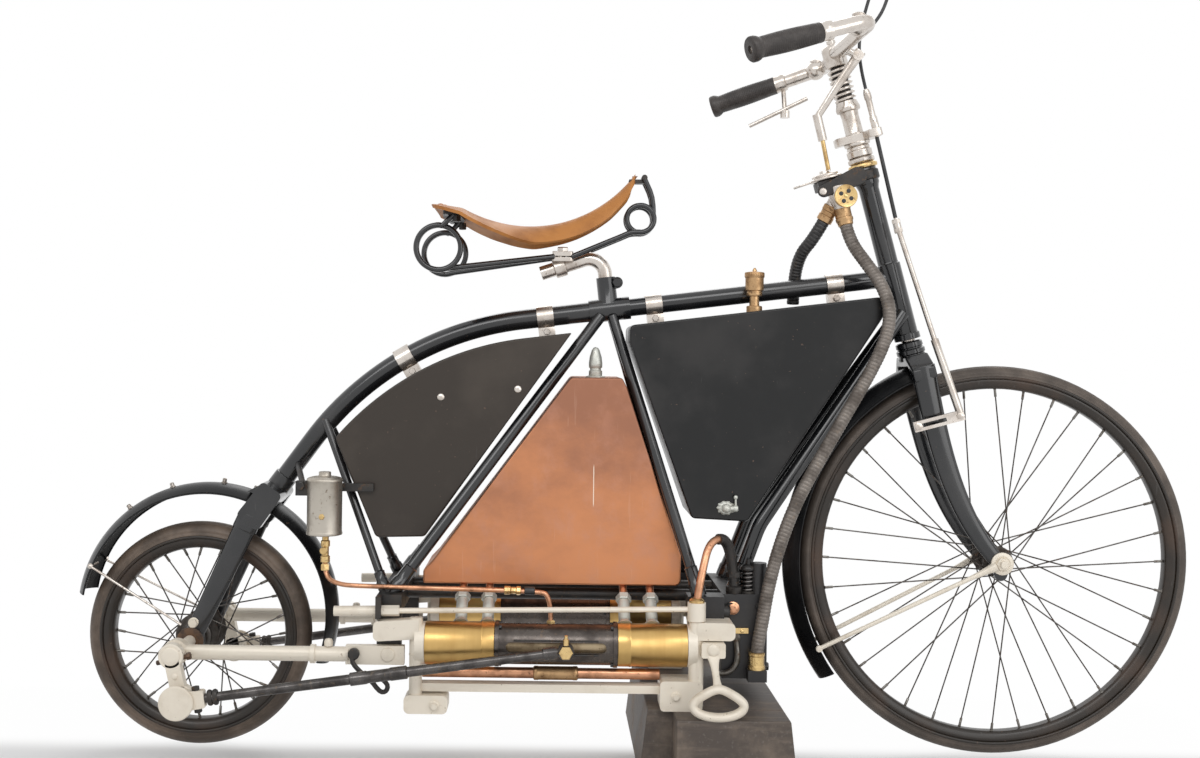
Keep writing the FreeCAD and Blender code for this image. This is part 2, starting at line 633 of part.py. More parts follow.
def engine():
    half = BARREL_LENGTH / 2.0
    middle = V(ENGINE_X, -BANK_Y, ENGINE_Z)
    ahead = V(1, 0, 0)
    barrel = rod(middle - ahead * half, middle + ahead * half, BARREL_R)
    for side in (-1, 1):
        face = middle + ahead * (side * half)
        barrel = barrel.fuse(rod(face - ahead * (side * BARREL_FLANGE_THICK), face, BARREL_FLANGE_R))
    slot = box(ENGINE_X - SLOT_LENGTH / 2.0, ENGINE_X + SLOT_LENGTH / 2.0, -BANK_Y - 40.0, -BANK_Y,
               ENGINE_Z - SLOT_HEIGHT / 2.0, ENGINE_Z + SLOT_HEIGHT / 2.0)
    ends = [disc(V(ENGINE_X + side * SLOT_LENGTH / 2.0, 0, ENGINE_Z), SLOT_HEIGHT / 2.0, -BANK_Y - 40.0, -BANK_Y)
            for side in (-1, 1)]
    bore = rod(middle - ahead * (half + 1.0), middle + ahead * (half + 1.0), BARREL_BORE_R)
    barrel = barrel.cut([slot, bore] + ends)
    jackets = []
    for near, far in ((REAR_FACE_X, ENGINE_X - half), (ENGINE_X + half, FRONT_FACE_X)):
        jackets.append(rod(V(near, -BANK_Y, ENGINE_Z), V(far, -BANK_Y, ENGINE_Z), JACKET_R))
    reach = half - RUNNING_GAP
    trunk = rod(middle - ahead * reach, middle + ahead * reach, BARREL_BORE_R - BEARING_GAP)
    crosshead = fused(trunk, disc(CROSSHEAD, CROSSHEAD_PIN_R, -BANK_Y, -BANK_Y - BARREL_R))

    tie_y = -BANK_Y - COLUMN_OUT
    tie_rear = V(BRACKET_X, tie_y, TIE_ROD_REAR_Z)
    tie_front = V(FRONT_FACE_X + HEAD_DISC_THICK, tie_y, TIE_ROD_FRONT_Z)
    along = (tie_front - tie_rear).normalize()
    nut_at = tie_rear + along * BRACKET_EAR
    tie = fused(rod(tie_rear, tie_front, TIE_ROD_R), rod(tie_rear - along * TIE_END_LENGTH, tie_rear, TIE_END_R),
                sided_rod(nut_at, nut_at + along * TIE_NUT_LENGTH, TIE_NUT_R, 6))
    rear_head = rear_end()
    front_head = front_end()
    pipe_at = V(ENGINE_X, -BANK_Y, LOWER_PIPE_Z)
    pipe_reach = half + JACKET_LENGTH + PIPE_IN_HEAD
    pipe = rod(pipe_at - ahead * pipe_reach, pipe_at + ahead * pipe_reach, LOWER_PIPE_R)
    coupling = sided_rod(pipe_at - ahead * COUPLING_HALF, pipe_at + ahead * COUPLING_HALF, COUPLING_R, 6)
    pipe = largest(fused(pipe, coupling).cut([rear_head, front_head]))
    return {"engine_barrels": pair(barrel), "brass_jackets": pair(jackets[0]) + pair(jackets[1]),
            "crossheads": pair(crosshead), "rear_heads": pair(rear_head), "front_heads": pair(front_head),
            "tie_rods": pair(largest(tie.cut(front_head))), "copper_pipes": pair(pipe)}


def rear_end():
    """Rear cylinder head: disc, round column on its rounded foot, the arm to the crossmember, and the sill."""
    outer_y = -BANK_Y - FOOT_HALF_Y
    face = V(REAR_FACE_X, -BANK_Y, ENGINE_Z)
    cover = rod(face - V(HEAD_DISC_THICK, 0, 0), face, HEAD_DISC_R)
    at = V(REAR_FACE_X - HEAD_DISC_THICK + 1.0, -BANK_Y - COLUMN_OUT, REAR_FOOT_Z + 6.0)
    column = rod(at, V(at.x, at.y, COLUMN_TOP_Z), REAR_COLUMN_R)
    foot_points = outline(at.x - REAR_FOOT_BEHIND, at.x - REAR_FOOT_BEHIND + REAR_FOOT_LENGTH, REAR_FOOT_Z,
                          REAR_FOOT_Z + REAR_FOOT_HEIGHT)
    foot = rounded(prism(foot_points, outer_y, -BANK_Y + FOOT_HALF_Y - 8.0), foot_points, 8.0)
    arm_points = [(BRACKET_X - 3.0, ENGINE_Z + ARM_LOW - 7.0), (at.x + 5.0, ENGINE_Z + ARM_LOW - 3.0),
                  (at.x + 5.0, ENGINE_Z + ARM_HIGH), (BRACKET_X - 3.0, ENGINE_Z + ARM_HIGH - 4.0)]
    arm = rounded(prism(arm_points, outer_y, -STAY_Y + 6.0), [arm_points[0], arm_points[3]], 8.0)
    sill = box(at.x, FRONT_FACE_X - FRONT_FOOT_BEHIND, -BANK_Y - 10.0, -BANK_Y + 12.0, SILL_Z, SILL_Z + SILL_THICK)
    return fused(cover, column, foot, arm, sill)


def front_end():
    """Front cylinder head: disc, round column with its collar, the arm to the gear case, and its foot."""
    outer_y = -BANK_Y - FOOT_HALF_Y
    face = V(FRONT_FACE_X, -BANK_Y, ENGINE_Z)
    cover = rod(face, face + V(HEAD_DISC_THICK, 0, 0), HEAD_DISC_R)
    at = V(FRONT_FACE_X + HEAD_DISC_THICK - 1.0, -BANK_Y - COLUMN_OUT, PLINTH_HEIGHT + 6.0)
    top = V(at.x, at.y, COLUMN_TOP_Z)
    column = rod(at, top, FRONT_COLUMN_R)
    collar = rod(top, V(at.x, at.y, COLLAR_TOP_Z), COLLAR_R)
    arm_points = outline(at.x, CASE_X0 + 12.0, ENGINE_Z + ARM_LOW, ENGINE_Z + ARM_HIGH)
    arm = rounded(prism(arm_points, outer_y, -CASE_HALF_Y), [arm_points[1], arm_points[2]], 8.0)
    foot_points = outline(FRONT_FACE_X - FRONT_FOOT_BEHIND, at.x + 9.0, PLINTH_HEIGHT,
                          PLINTH_HEIGHT + FRONT_FOOT_HEIGHT)
    foot = rounded(prism(foot_points, outer_y, -BANK_Y + FOOT_HALF_Y), foot_points, 6.0)
    return fused(cover, column, collar, arm, foot)


def engine_frame(ties):
    """Dark crossmember behind the engine, the gear case in front, and the cream stays to the rear axle."""
    stay_inner = STAY_Y - 6.0
    beam = box(BRACKET_X, BRACKET_X + 36.0, -stay_inner, stay_inner, BRACKET_TOP_Z - BRACKET_DEPTH, BRACKET_TOP_Z)
    cheeks = [box(BRACKET_X, BRACKET_X + 36.0, min(s * (stay_inner - 14.0), s * stay_inner),
                  max(s * (stay_inner - 14.0), s * stay_inner), REAR_WHEEL_R - STAY_BAR_HEIGHT / 2.0, BRACKET_TOP_Z)
              for s in (-1, 1)]
    ears = pair(box(BRACKET_X, BRACKET_X + BRACKET_EAR, -BANK_Y - FOOT_HALF_Y, -stay_inner + 2.0, COLUMN_TOP_Z - 1.0,
                    BRACKET_TOP_Z))
    rails = pair(rod(V(BRACKET_X + 36.0, -ENGINE_RAIL_Y, ENGINE_RAIL_Z), V(CASE_X0, -ENGINE_RAIL_Y, ENGINE_RAIL_Z),
                     ENGINE_RAIL_R))
    lug = box(FRONT_FACE_X + 3.0, CASE_X0, -FRONT_LUG_Y, -CASE_HALF_Y + 12.0, ENGINE_Z + ARM_HIGH, BRACKET_TOP_Z)
    case = box(CASE_X0, CASE_X1, -CASE_HALF_Y, CASE_HALF_Y, CASE_BOTTOM_Z, BRACKET_TOP_Z)
    cap = rod(V(CASE_X1 - 12.0, -CASE_HALF_Y + 12.0, BRACKET_TOP_Z),
              V(CASE_X1 - 12.0, -CASE_HALF_Y + 12.0, BRACKET_TOP_Z + 46.0), 12.0)
    boss = box(HOSE_END_X - 14.0, HOSE_END_X + 14.0, -HOSE_END_Y - 13.0, -CASE_HALF_Y, CASE_BOTTOM_Z, HOSE_END_Z)
    case = fused(case, boss, *(pair(cap) + pair(lug)))
    bar_front = BRACKET_X + 42.0
    bar_rear = bar_front - STAY_BAR_LENGTH
    bar = box(bar_rear, bar_front, -STAY_Y - 6.0, -STAY_Y + 6.0, REAR_WHEEL_R - STAY_BAR_HEIGHT / 2.0,
              REAR_WHEEL_R + STAY_BAR_HEIGHT / 2.0)
    tube = rod(REAR_AXLE + V(0, -STAY_Y, 0), V(bar_rear + 4.0, -STAY_Y, REAR_WHEEL_R), STAY_TUBE_R)
    collar_at = V(bar_rear - 52.0, -STAY_Y, REAR_WHEEL_R)
    collar = rod(collar_at, collar_at + V(7.0, 0, 0), STAY_TUBE_R + 3.0)
    end = disc(REAR_AXLE, STAY_END_R, -STAY_Y - STAY_END_THICK / 2.0 + 2.0, -STAY_Y + STAY_END_THICK / 2.0)
    stay = fused(bar, tube, collar, end).cut(disc(REAR_AXLE, REAR_SHAFT_R + BEARING_GAP, -200.0, 0.0))
    bearer = fused(beam, *(cheeks + rails + ears)).cut(ties)
    return {"engine_bearer": bearer, "gear_case": case, "side_stays": pair(stay)}


def tanks():
    """Rear case, copper water tank and front tank between the frame tubes."""
    drop = BACKBONE_R + CASE_GAP
    upper_normal = V(UPPER_ALONG.z, 0, -UPPER_ALONG.x)
    if upper_normal.z > 0:
        upper_normal = upper_normal * -1.0
    lower_normal = V(LOWER_ALONG.z, 0, -LOWER_ALONG.x)
    if lower_normal.x < 0:
        lower_normal = lower_normal * -1.0
    arc_start = KNEE - UPPER_ALONG * BACKBONE_TANGENT + upper_normal * drop
    arc_end = KNEE + LOWER_ALONG * BACKBONE_TANGENT + lower_normal * drop
    bisector = (LOWER_ALONG - UPPER_ALONG).normalize()
    arc_middle = KNEE + bisector * (BACKBONE_BEND_R / math.cos(BACKBONE_TURN / 2.0) - BACKBONE_BEND_R + drop)
    first = SEAT_LUG + UPPER_ALONG * 62.0 + upper_normal * drop
    low_z = BRACKET_TOP_Z + CASE_LIFT
    strut_run = (STRUT_FOOT - STRUT_TOP).normalize()
    strut_along = V(strut_run.x, 0, strut_run.z).normalize()
    off = V(-strut_along.z, 0, strut_along.x) * (STRUT_R + STRUT_GAP)
    behind = V(STRUT_TOP.x, 0, STRUT_TOP.z) + off
    low_left = behind + strut_along * ((low_z - behind.z) / strut_along.z)
    low_right = V(BRACKET_X + 62.0, 0, low_z + 2.0)
    edges = [Part.LineSegment(first, arc_start).toShape(), Part.Arc(arc_start, arc_middle, arc_end).toShape(),
             Part.LineSegment(arc_end, low_left).toShape(), Part.LineSegment(low_left, low_right).toShape(),
             Part.LineSegment(low_right, first).toShape()]
    rear_case = Part.Face(Part.Wire(edges)).extrude(V(0, 2.0 * REAR_CASE_HALF_Y, 0))
    rear_case.translate(V(0, -REAR_CASE_HALF_Y, 0))
    above = behind - strut_along * 200.0
    below = behind + strut_along * 400.0
    spare = prism([(above.x, above.z), (below.x, below.z), (below.x - 300.0, below.z), (above.x - 300.0, above.z)],
                  -REAR_CASE_HALF_Y - 1.0, REAR_CASE_HALF_Y + 1.0)
    rear_case = rear_case.cut(spare)
    corners = [(v.X, v.Z) for v in rear_case.Vertexes if v.X < low_right.x + 1.0]
    rear_case = rounded(rear_case, corners, 9.0)

    top_z = SEAT_LUG_Z - COPPER_TOP_DROP
    copper_points = [(SEAT_X - 58.0, top_z), (SEAT_X + 20.0, top_z), (SEAT_X + 27.0, top_z - 14.0),
                     (ENGINE_X + 190.0, BRACKET_TOP_Z + 52.0), (ENGINE_X + 190.0, BRACKET_TOP_Z + 6.0),
                     (BRACKET_X + 61.0, BRACKET_TOP_Z + 6.0), (BRACKET_X + 61.0, BRACKET_TOP_Z + 26.0),
                     (BRACKET_X + 76.0, BRACKET_TOP_Z + 42.0)]
    copper = prism(copper_points, -COPPER_HALF_Y, COPPER_HALF_Y)
    copper = rounded(copper, [copper_points[i] for i in (0, 3, 4)], 9.0)

    top_drop = V(TOP_ALONG.z, 0, -TOP_ALONG.x) * (TOP_TUBE_R + CASE_GAP)
    top_rear = SEAT_LUG + TOP_ALONG * 28.0 + top_drop
    top_front = HEAD_TOP_JOINT - TOP_ALONG * 36.0 + top_drop
    tank_points = [(top_rear.x, top_rear.z), (top_front.x, top_front.z), (top_front.x + 13.0, top_front.z - 18.0),
                   (CASE_X0 + 42.0, BRACKET_TOP_Z + TANK_LIFT), (CASE_X0 - 44.0, BRACKET_TOP_Z + TANK_LIFT + 4.0),
                   (top_rear.x, top_rear.z - 26.0)]
    tank = prism(tank_points, -FRONT_TANK_HALF_Y, FRONT_TANK_HALF_Y)
    tank = rounded(tank, [tank_points[i] for i in (0, 1, 2, 3, 4)], 9.0)
    return {"rear_case": rear_case, "copper_tank": copper, "front_tank": tank}


def clip(at, along, tube_r, reach):
    """Bright strap round a frame tube, with a tab down to the case under it."""
    half = along * 13.0
    band = rod(at - half, at + half, tube_r + 2.5).cut(rod(at - half * 2, at + half * 2, tube_r))
    down = V(along.z, 0, -along.x)
    if down.z > 0:
        down = down * -1.0
    start = at + down * (tube_r + 1.0)
    end = at + down * (tube_r + reach)
    corners = [start - half, start + half, end + half, end - half]
    tab = prism([(c.x, c.z) for c in corners], -9.0, 9.0)
    return band.fuse(tab).cut(rod(at - half * 2, at + half * 2, tube_r)).removeSplitter()


def clips():
    rear_at = KNEE - UPPER_ALONG * (BACKBONE_TANGENT + 36.3)
    centre = KNEE + (LOWER_ALONG - UPPER_ALONG).normalize() * (BACKBONE_BEND_R / math.cos(BACKBONE_TURN / 2.0))
    spot = centre + (KNEE - centre).normalize() * BACKBONE_BEND_R
    chord = (LOWER_ALONG + UPPER_ALONG).normalize()
    return [clip(rear_at, UPPER_ALONG, BACKBONE_R, CASE_GAP), clip(spot, chord, BACKBONE_R + 0.4, CASE_GAP),
            clip(SEAT_LUG + TOP_ALONG * 72.0, TOP_ALONG, TOP_TUBE_R, CASE_GAP),
            clip(HEAD_TOP_JOINT - TOP_ALONG * 92.0, TOP_ALONG, TOP_TUBE_R, CASE_GAP)]


def brass_fittings(tank):
    """Fuel filler that stands up beside the top tube, the tank's tap, and the lubricator on the copper tank."""
    filler_x = SEAT_X + 226.0
    tank_top = SEAT_LUG_Z + TOP_TUBE_SLOPE * (filler_x - SEAT_X) - TOP_TUBE_R - CASE_GAP
    filler_y = -TOP_TUBE_R - FILLER_R - 2.0
    foot = V(filler_x, filler_y, tank_top)
    up = V(0, 0, 1)
    filler = fused(rod(foot - up * 12.0, foot + up * 50.0, FILLER_R * 0.72),
                   rod(foot + up * 22.0, foot + up * 34.0, FILLER_R), rod(foot + up * 50.0, foot + up * 68.0, FILLER_R * 0.85))
    tap_at = V(CASE_X0 + 8.0, -FRONT_TANK_HALF_Y, BRACKET_TOP_Z + TANK_LIFT + 21.0)
    tap = fused(disc(tap_at, 9.0, -FRONT_TANK_HALF_Y, -FRONT_TANK_HALF_Y - 16.0),
                rod(tap_at + V(-2, -11, 0), tap_at + V(16, -11, 12), 3.0))
    oiler_top = SEAT_LUG_Z - COPPER_TOP_DROP
    oiler = fused(rod(V(SEAT_X - 20.0, -30.0, oiler_top), V(SEAT_X - 20.0, -30.0, oiler_top + 18.0), 9.0),
                  rod(V(SEAT_X - 20.0, -30.0, oiler_top + 18.0), V(SEAT_X - 20.0, -30.0, oiler_top + 46.0), 6.0))
    return [filler.cut(tank), tap, oiler]


def unions():
    """Slanting water pipes with their hexagon unions, from the copper tank to the jackets."""
    solids = []
    jackets = [rod(V(REAR_FACE_X - 5.0, -BANK_Y, ENGINE_Z), V(FRONT_FACE_X + 5.0, -BANK_Y, ENGINE_Z), JACKET_R)]
    for ahead in (-142.0, -102.0, 102.0, 143.0):
        top = V(ENGINE_X + ahead, -COPPER_HALF_Y + 13.0, BRACKET_TOP_Z + 6.0)
        foot = V(ENGINE_X + ahead, -BANK_Y + 16.0, ENGINE_Z + 20.0)
        along = (foot - top).normalize()
        pipe = sided_rod(top - along * 12.0, foot, 5.5, HOSE_SIDES)
        nut = sided_rod(top + along * 14.0, top + along * 34.0, 9.5, 6)
        lid = box(top.x - 40.0, top.x + 40.0, -200.0, 0.0, top.z, top.z + 40.0)
        solids += pair(fused(pipe, nut).cut(jackets + [lid]))
    return solids


def oil_can():
    foot_z = BRACKET_TOP_Z + OIL_CAN_LIFT
    at = V(BRACKET_X - 87.0, -OIL_CAN_Y, foot_z)
    body = rod(at, at + V(0, 0, OIL_CAN_HEIGHT), OIL_CAN_R)
    cap = rod(at + V(0, 0, OIL_CAN_HEIGHT), at + V(0, 0, OIL_CAN_HEIGHT + 8.0), 8.0)
    stack = rod(at + V(2, 0, -42.0), at + V(2, 0, 0), 7.0)
    bracket = box(at.x + 2.0, BRACKET_X - 14.0, -OIL_CAN_Y + OIL_CAN_R - 6.0, -REAR_CASE_HALF_Y, foot_z + 60.0,
                  foot_z + 80.0)
    return fused(body, cap, stack, bracket)


def oil_pipe():
    """Copper pipe from the oil can's foot, along outside the stays and down onto the near barrel."""
    at = V(BRACKET_X - 85.0, -OIL_CAN_Y, BRACKET_TOP_Z + OIL_CAN_LIFT - 42.0)
    run_y = -BANK_Y + 10.0
    run_z = BRACKET_TOP_Z + 6.0
    points = [at, at + V(0, 0, -20.0), at + V(22.0, -22.0, -29.0), V(BRACKET_X - 22.0, run_y, run_z + 4.0),
              V(ENGINE_X - 30.0, run_y, run_z), V(ENGINE_X - 8.0, run_y, run_z - 6.0),
              V(ENGINE_X - 8.0, run_y, ENGINE_Z)]
    barrel = rod(V(ENGINE_X - 60.0, -BANK_Y, ENGINE_Z), V(ENGINE_X + 60.0, -BANK_Y, ENGINE_Z), BARREL_R)
    return bent_tube(points, cord_radii(points), 3.6, CABLE_SIDES).cut(barrel)


def gas_pipe(front_head, case):
    """Copper bend up from the front head and down to the gear case."""
    foot = V(FRONT_FACE_X + HEAD_DISC_THICK - 1.0, -BANK_Y - COLUMN_OUT, COLLAR_TOP_Z)
    end = V(CASE_X0 + 19.0, -CASE_HALF_Y + 10.0, BRACKET_TOP_Z)
    points = [foot, foot + V(7, 6, 40.0), foot + V(22, 24, 92.0), end + V(-4, -6, 80.0), end]
    base = rod(foot, foot + V(0, 0, 7.0), 11.0)
    return fused(bent_tube(points, cord_radii(points), 5.5, HOSE_SIDES), base).cut([front_head, case])


def saddle():
    """Pillar with its clamp, sprung undercarriage and hammock leather."""
    foot = SEAT_LUG + V(-5.0, 0, 51.0)
    corner = foot + (foot - SEAT_LUG - V(0, 0, 8.0)).normalize() * 38.0
    end = V(SEAT_X - 107.0, 0, SEAT_LUG_Z + 56.0)
    lean = (end - corner).normalize()
    pillar = bent_tube([foot, corner, end], [26.0], PILLAR_R)
    sleeve = rod(end - lean * 40.0, end - lean * 22.0, PILLAR_R + 4.0)
    wires_z = SEAT_LUG_Z + 82.0
    clamp_x = end.x + 34.0
    clamp = fused(box(clamp_x - 17.0, clamp_x + 17.0, -22.0, 22.0, wires_z - 8.0, wires_z + 10.0),
                  rod(V(clamp_x, 0, wires_z + 10.0), V(clamp_x, 0, wires_z + 16.0), 9.0),
                  rod(V(clamp_x - 6.0, 0, wires_z - 14.0), V(clamp_x - 6.0, 0, wires_z), 10.0))
    post = fused(pillar, sleeve, clamp)

    coil_x = SEAT_X - 266.0
    coil_z = SEAT_LUG_Z + 92.0
    nose_x = SEAT_X + 48.0
    nose_z = SEAT_LUG_Z + 134.0
    hide = leather()
    rear = [box(coil_x + 2.0, coil_x + 34.0, -90.0, 90.0, SEAT_LUG_Z + 138.0, SEAT_LUG_Z + 148.0).cut(hide)]
    nose = [rod(V(nose_x + 6.0, -16.0, SEAT_LUG_Z + 199.0), V(nose_x + 6.0, 16.0, SEAT_LUG_Z + 199.0), 5.0),
            box(nose_x - 14.0, nose_x + 6.0, -9.0, 9.0, SEAT_LUG_Z + 190.0, SEAT_LUG_Z + 203.0).cut(hide)]
    for side in (-1, 1):
        at = V(coil_x + 4.0, 0, coil_z)
        y0 = side * SPRING_Y_REAR
        rear.append(disc(at, REAR_COIL_R, y0 - side * (SPRING_WIRE_R + 0.5), y0 + side * SPRING_WIRE_R * 3.0,
                         REAR_COIL_R - 2.0 * SPRING_WIRE_R))
        rear.append(rod(V(coil_x + 22.0, side * SPRING_Y_REAR, coil_z - 26.0),
                        V(clamp_x - 17.0, side * 19.0, wires_z), SPRING_WIRE_R))
        rear.append(rod(V(coil_x + 6.0, side * SPRING_Y_REAR, coil_z + REAR_COIL_R - 4.0),
                        V(coil_x + 14.0, side * SPRING_Y_REAR, SEAT_LUG_Z + 139.0), SPRING_WIRE_R))
        nose.append(disc(V(nose_x, 0, nose_z), FRONT_COIL_R, side * (SPRING_Y_NOSE - SPRING_WIRE_R - 0.5),
                         side * (SPRING_Y_NOSE + SPRING_WIRE_R + 0.5), FRONT_COIL_R - 2.0 * SPRING_WIRE_R))
        nose.append(rod(V(clamp_x + 17.0, side * 18.0, wires_z),
                        V(nose_x - 4.0, side * SPRING_Y_NOSE, nose_z - FRONT_COIL_R + 4.0), SPRING_WIRE_R))
        nose.append(rod(V(nose_x + FRONT_COIL_R - 4.0, side * SPRING_Y_NOSE, nose_z + 2.0),
                        V(nose_x + 6.0, side * 12.0, SEAT_LUG_Z + 197.0), SPRING_WIRE_R))
    springs = [largest(fused(*rear).cut([post, hide])), largest(fused(*nose).cut([post, hide]))]
    return {"saddle_post": post, "saddle_springs": springs, "saddle_leather": hide}


def leather():
    """Hammock of thick hide: a curved strip, cut to the pear shape of the seat."""
    tail = V(SEAT_X - 275.0, 0, SEAT_LUG_Z + 152.0)
    dip = V(SEAT_X - 118.0, 0, SEAT_LUG_Z + 118.0)
    nose = V(SEAT_X + 40.0, 0, SEAT_LUG_Z + 206.0)
    thick = V(0, 0, LEATHER_THICK)
    cantle = tail + V(46, 0, -6)
    lip = nose + V(3, 0, 0) - thick
    edges = [Part.LineSegment(tail, cantle).toShape(), Part.Arc(cantle, dip, nose).toShape(),
             Part.LineSegment(nose, lip).toShape(), Part.Arc(cantle - thick, dip - thick, lip).toShape(),
             Part.LineSegment(cantle - thick, tail - thick).toShape(), Part.LineSegment(tail - thick, tail).toShape()]
    strip = Part.Face(Part.Wire(Part.__sortEdges__(edges))).extrude(V(0, 2.0 * SADDLE_REAR_HALF, 0))
    strip.translate(V(0, -SADDLE_REAR_HALF, 0))
    rear = SADDLE_REAR_HALF
    front = SADDLE_NOSE_HALF
    low = SEAT_LUG_Z
    plan = [V(tail.x - 2, -rear * 0.8, low), V(tail.x + 40, -rear, low), V(tail.x + 96, -rear * 0.84, low),
            V(tail.x + 190, -front * 1.35, low), V(nose.x - 20, -front, low), V(nose.x + 4, -front * 0.7, low)]
    plan += [V(p.x, -p.y, low) for p in reversed(plan)]
    cutter = Part.Face(Part.makePolygon(plan + plan[:1])).extrude(V(0, 0, 300.0))
    return strip.common(cutter)


def valve_body():
    """Mixing valve clamped behind the head tube, with its hose unions."""
    clamp = rod(head(VALVE_T + 20.0), head(VALVE_T + 36.0), HEAD_LUG_R + 4.0)
    arm_points = [head(VALVE_T + 20, -14), head(VALVE_T + 36, -14), head(VALVE_T + 36, -84), head(VALVE_T + 20, -84)]
    arm = prism([(p.x, p.z) for p in arm_points], -38.0, 6.0)
    barrel = rod(head(VALVE_T + 22.0, -54.0, -30.0), head(VALVE_T - 14.0, -56.0, -30.0), 16.0)
    face = disc(head(VALVE_T + 2.0, -50.0), 16.0, -52.0, -30.0)
    union = rod(head(VALVE_T - 14.0, -56.0, -30.0), head(VALVE_T - 40.0, -57.0, -34.0), 12.0)
    outlet = rod(head(VALVE_T + 2.0, -60.0, -26.0), head(VALVE_T - 26.0, -86.0, -18.0), 11.0)
    plate = rod(head(VALVE_T + 36.0, -66.0, -20.0), head(VALVE_T + 42.0, -66.0, -20.0), 26.0)
    lever_points = [head(VALVE_T + 37, -80), head(VALVE_T + 41, -80), head(VALVE_T + 37, -120),
                    head(VALVE_T + 34, -120)]
    lever = prism([(p.x, p.z) for p in lever_points], -28.0, -18.0)
    body = fused(clamp, arm, barrel, face, union, outlet, plate, lever)
    return body.cut(rod(head(0.0), head(HEAD_LENGTH), HEAD_LUG_R))


def hoses():
    """Two armoured hoses from the valve: the near one to the gear case, the other down behind the top tube."""
    start = head(VALVE_T - 40.0, -57.0, -34.0)
    leave = (start - head(VALVE_T - 14.0, -56.0, -30.0)).normalize()
    near = [start, start + leave * 28.0, V(start.x + 28.0, -58.0, start.z - 62.0),
            V(start.x + 49.0, -74.0, start.z - 96.0), V(start.x + 60.0, -82.0, start.z - 134.0),
            V(start.x + 53.0, -88.0, start.z - 176.0), V(start.x + 29.0, -93.0, start.z - 226.0),
            V(start.x - 5.0, -98.0, start.z - 284.0), V(start.x - 46.0, -103.0, start.z - 354.0),
            V(start.x - 84.0, -108.0, start.z - 422.0), V(start.x - 110.0, -111.0, start.z - 490.0),
            V(start.x - 126.0, -112.0, start.z - 552.0), V(HOSE_END_X + 7.0, -112.5, HOSE_END_Z + 66.0),
            V(HOSE_END_X, -HOSE_END_Y, HOSE_END_Z + 28.0), V(HOSE_END_X, -HOSE_END_Y, HOSE_END_Z)]
    outlet = head(VALVE_T - 26.0, -86.0, -18.0)
    away = (outlet - head(VALVE_T + 2.0, -60.0, -26.0)).normalize()
    far = [outlet, outlet + away * 30.0, V(outlet.x - 32.0, 4.0, outlet.z - 50.0),
           V(outlet.x - 38.0, 24.0, outlet.z - 88.0), V(outlet.x - 38.0, 30.0, outlet.z - 128.0)]
    return {"hose_inlet": cord("hose_inlet", near, HOSE_R, HOSE_SIDES),
            "hose_air": cord("hose_air", far, HOSE_R, HOSE_SIDES)}


def mudguards():
    rear = guard(GUARD_CENTRE, REAR_GUARD_R, REAR_GUARD_HALF, REAR_GUARD_START, REAR_GUARD_END)
    front = guard(FRONT_AXLE, FRONT_GUARD_R, FRONT_GUARD_HALF, FRONT_GUARD_START, FRONT_GUARD_END)
    tip = math.radians(REAR_GUARD_END - 3.0)
    rim_r = REAR_GUARD_R - GUARD_CROWN - 1.0
    tip_at = GUARD_CENTRE + V(rim_r * math.cos(tip), -REAR_GUARD_HALF, rim_r * math.sin(tip))
    foot = REAR_AXLE + V(-14.0, -REAR_BEARING_Y + 10.0, 14.0)
    rear_stay = rod(tip_at, foot, 3.0)
    bearing = disc(REAR_AXLE, REAR_BEARING_R, -REAR_BEARING_Y - 8.0, -REAR_BEARING_Y + 8.0)
    rear_stay = rear_stay.cut(bearing)
    rear = fused(rear, *pair(rear_stay))
    angle = math.radians(206.5)
    rim_r = FRONT_GUARD_R - GUARD_CROWN - 1.0
    low_at = FRONT_AXLE + V(rim_r * math.cos(angle), -FRONT_GUARD_HALF, rim_r * math.sin(angle))
    high_at = FRONT_AXLE + V(-3.0, -BLADE_Y_AXLE - BLADE_THICK_AXLE / 2.0 - 4.0, -18.0)
    eye_y = -BLADE_Y_AXLE - BLADE_THICK_AXLE / 2.0
    front_stay = fused(rod(low_at, high_at, 3.5), disc(FRONT_AXLE + V(-1.0, 0, -17.0), 7.0, eye_y, eye_y - 8.0))
    front_stay = front_stay.cut(box(FRONT_X - 60.0, FRONT_X + 40.0, eye_y, 0.0, 0.0, FRONT_WHEEL_R))
    return {"rear_guard": rear, "front_guard": fused(front, *pair(front_stay))}


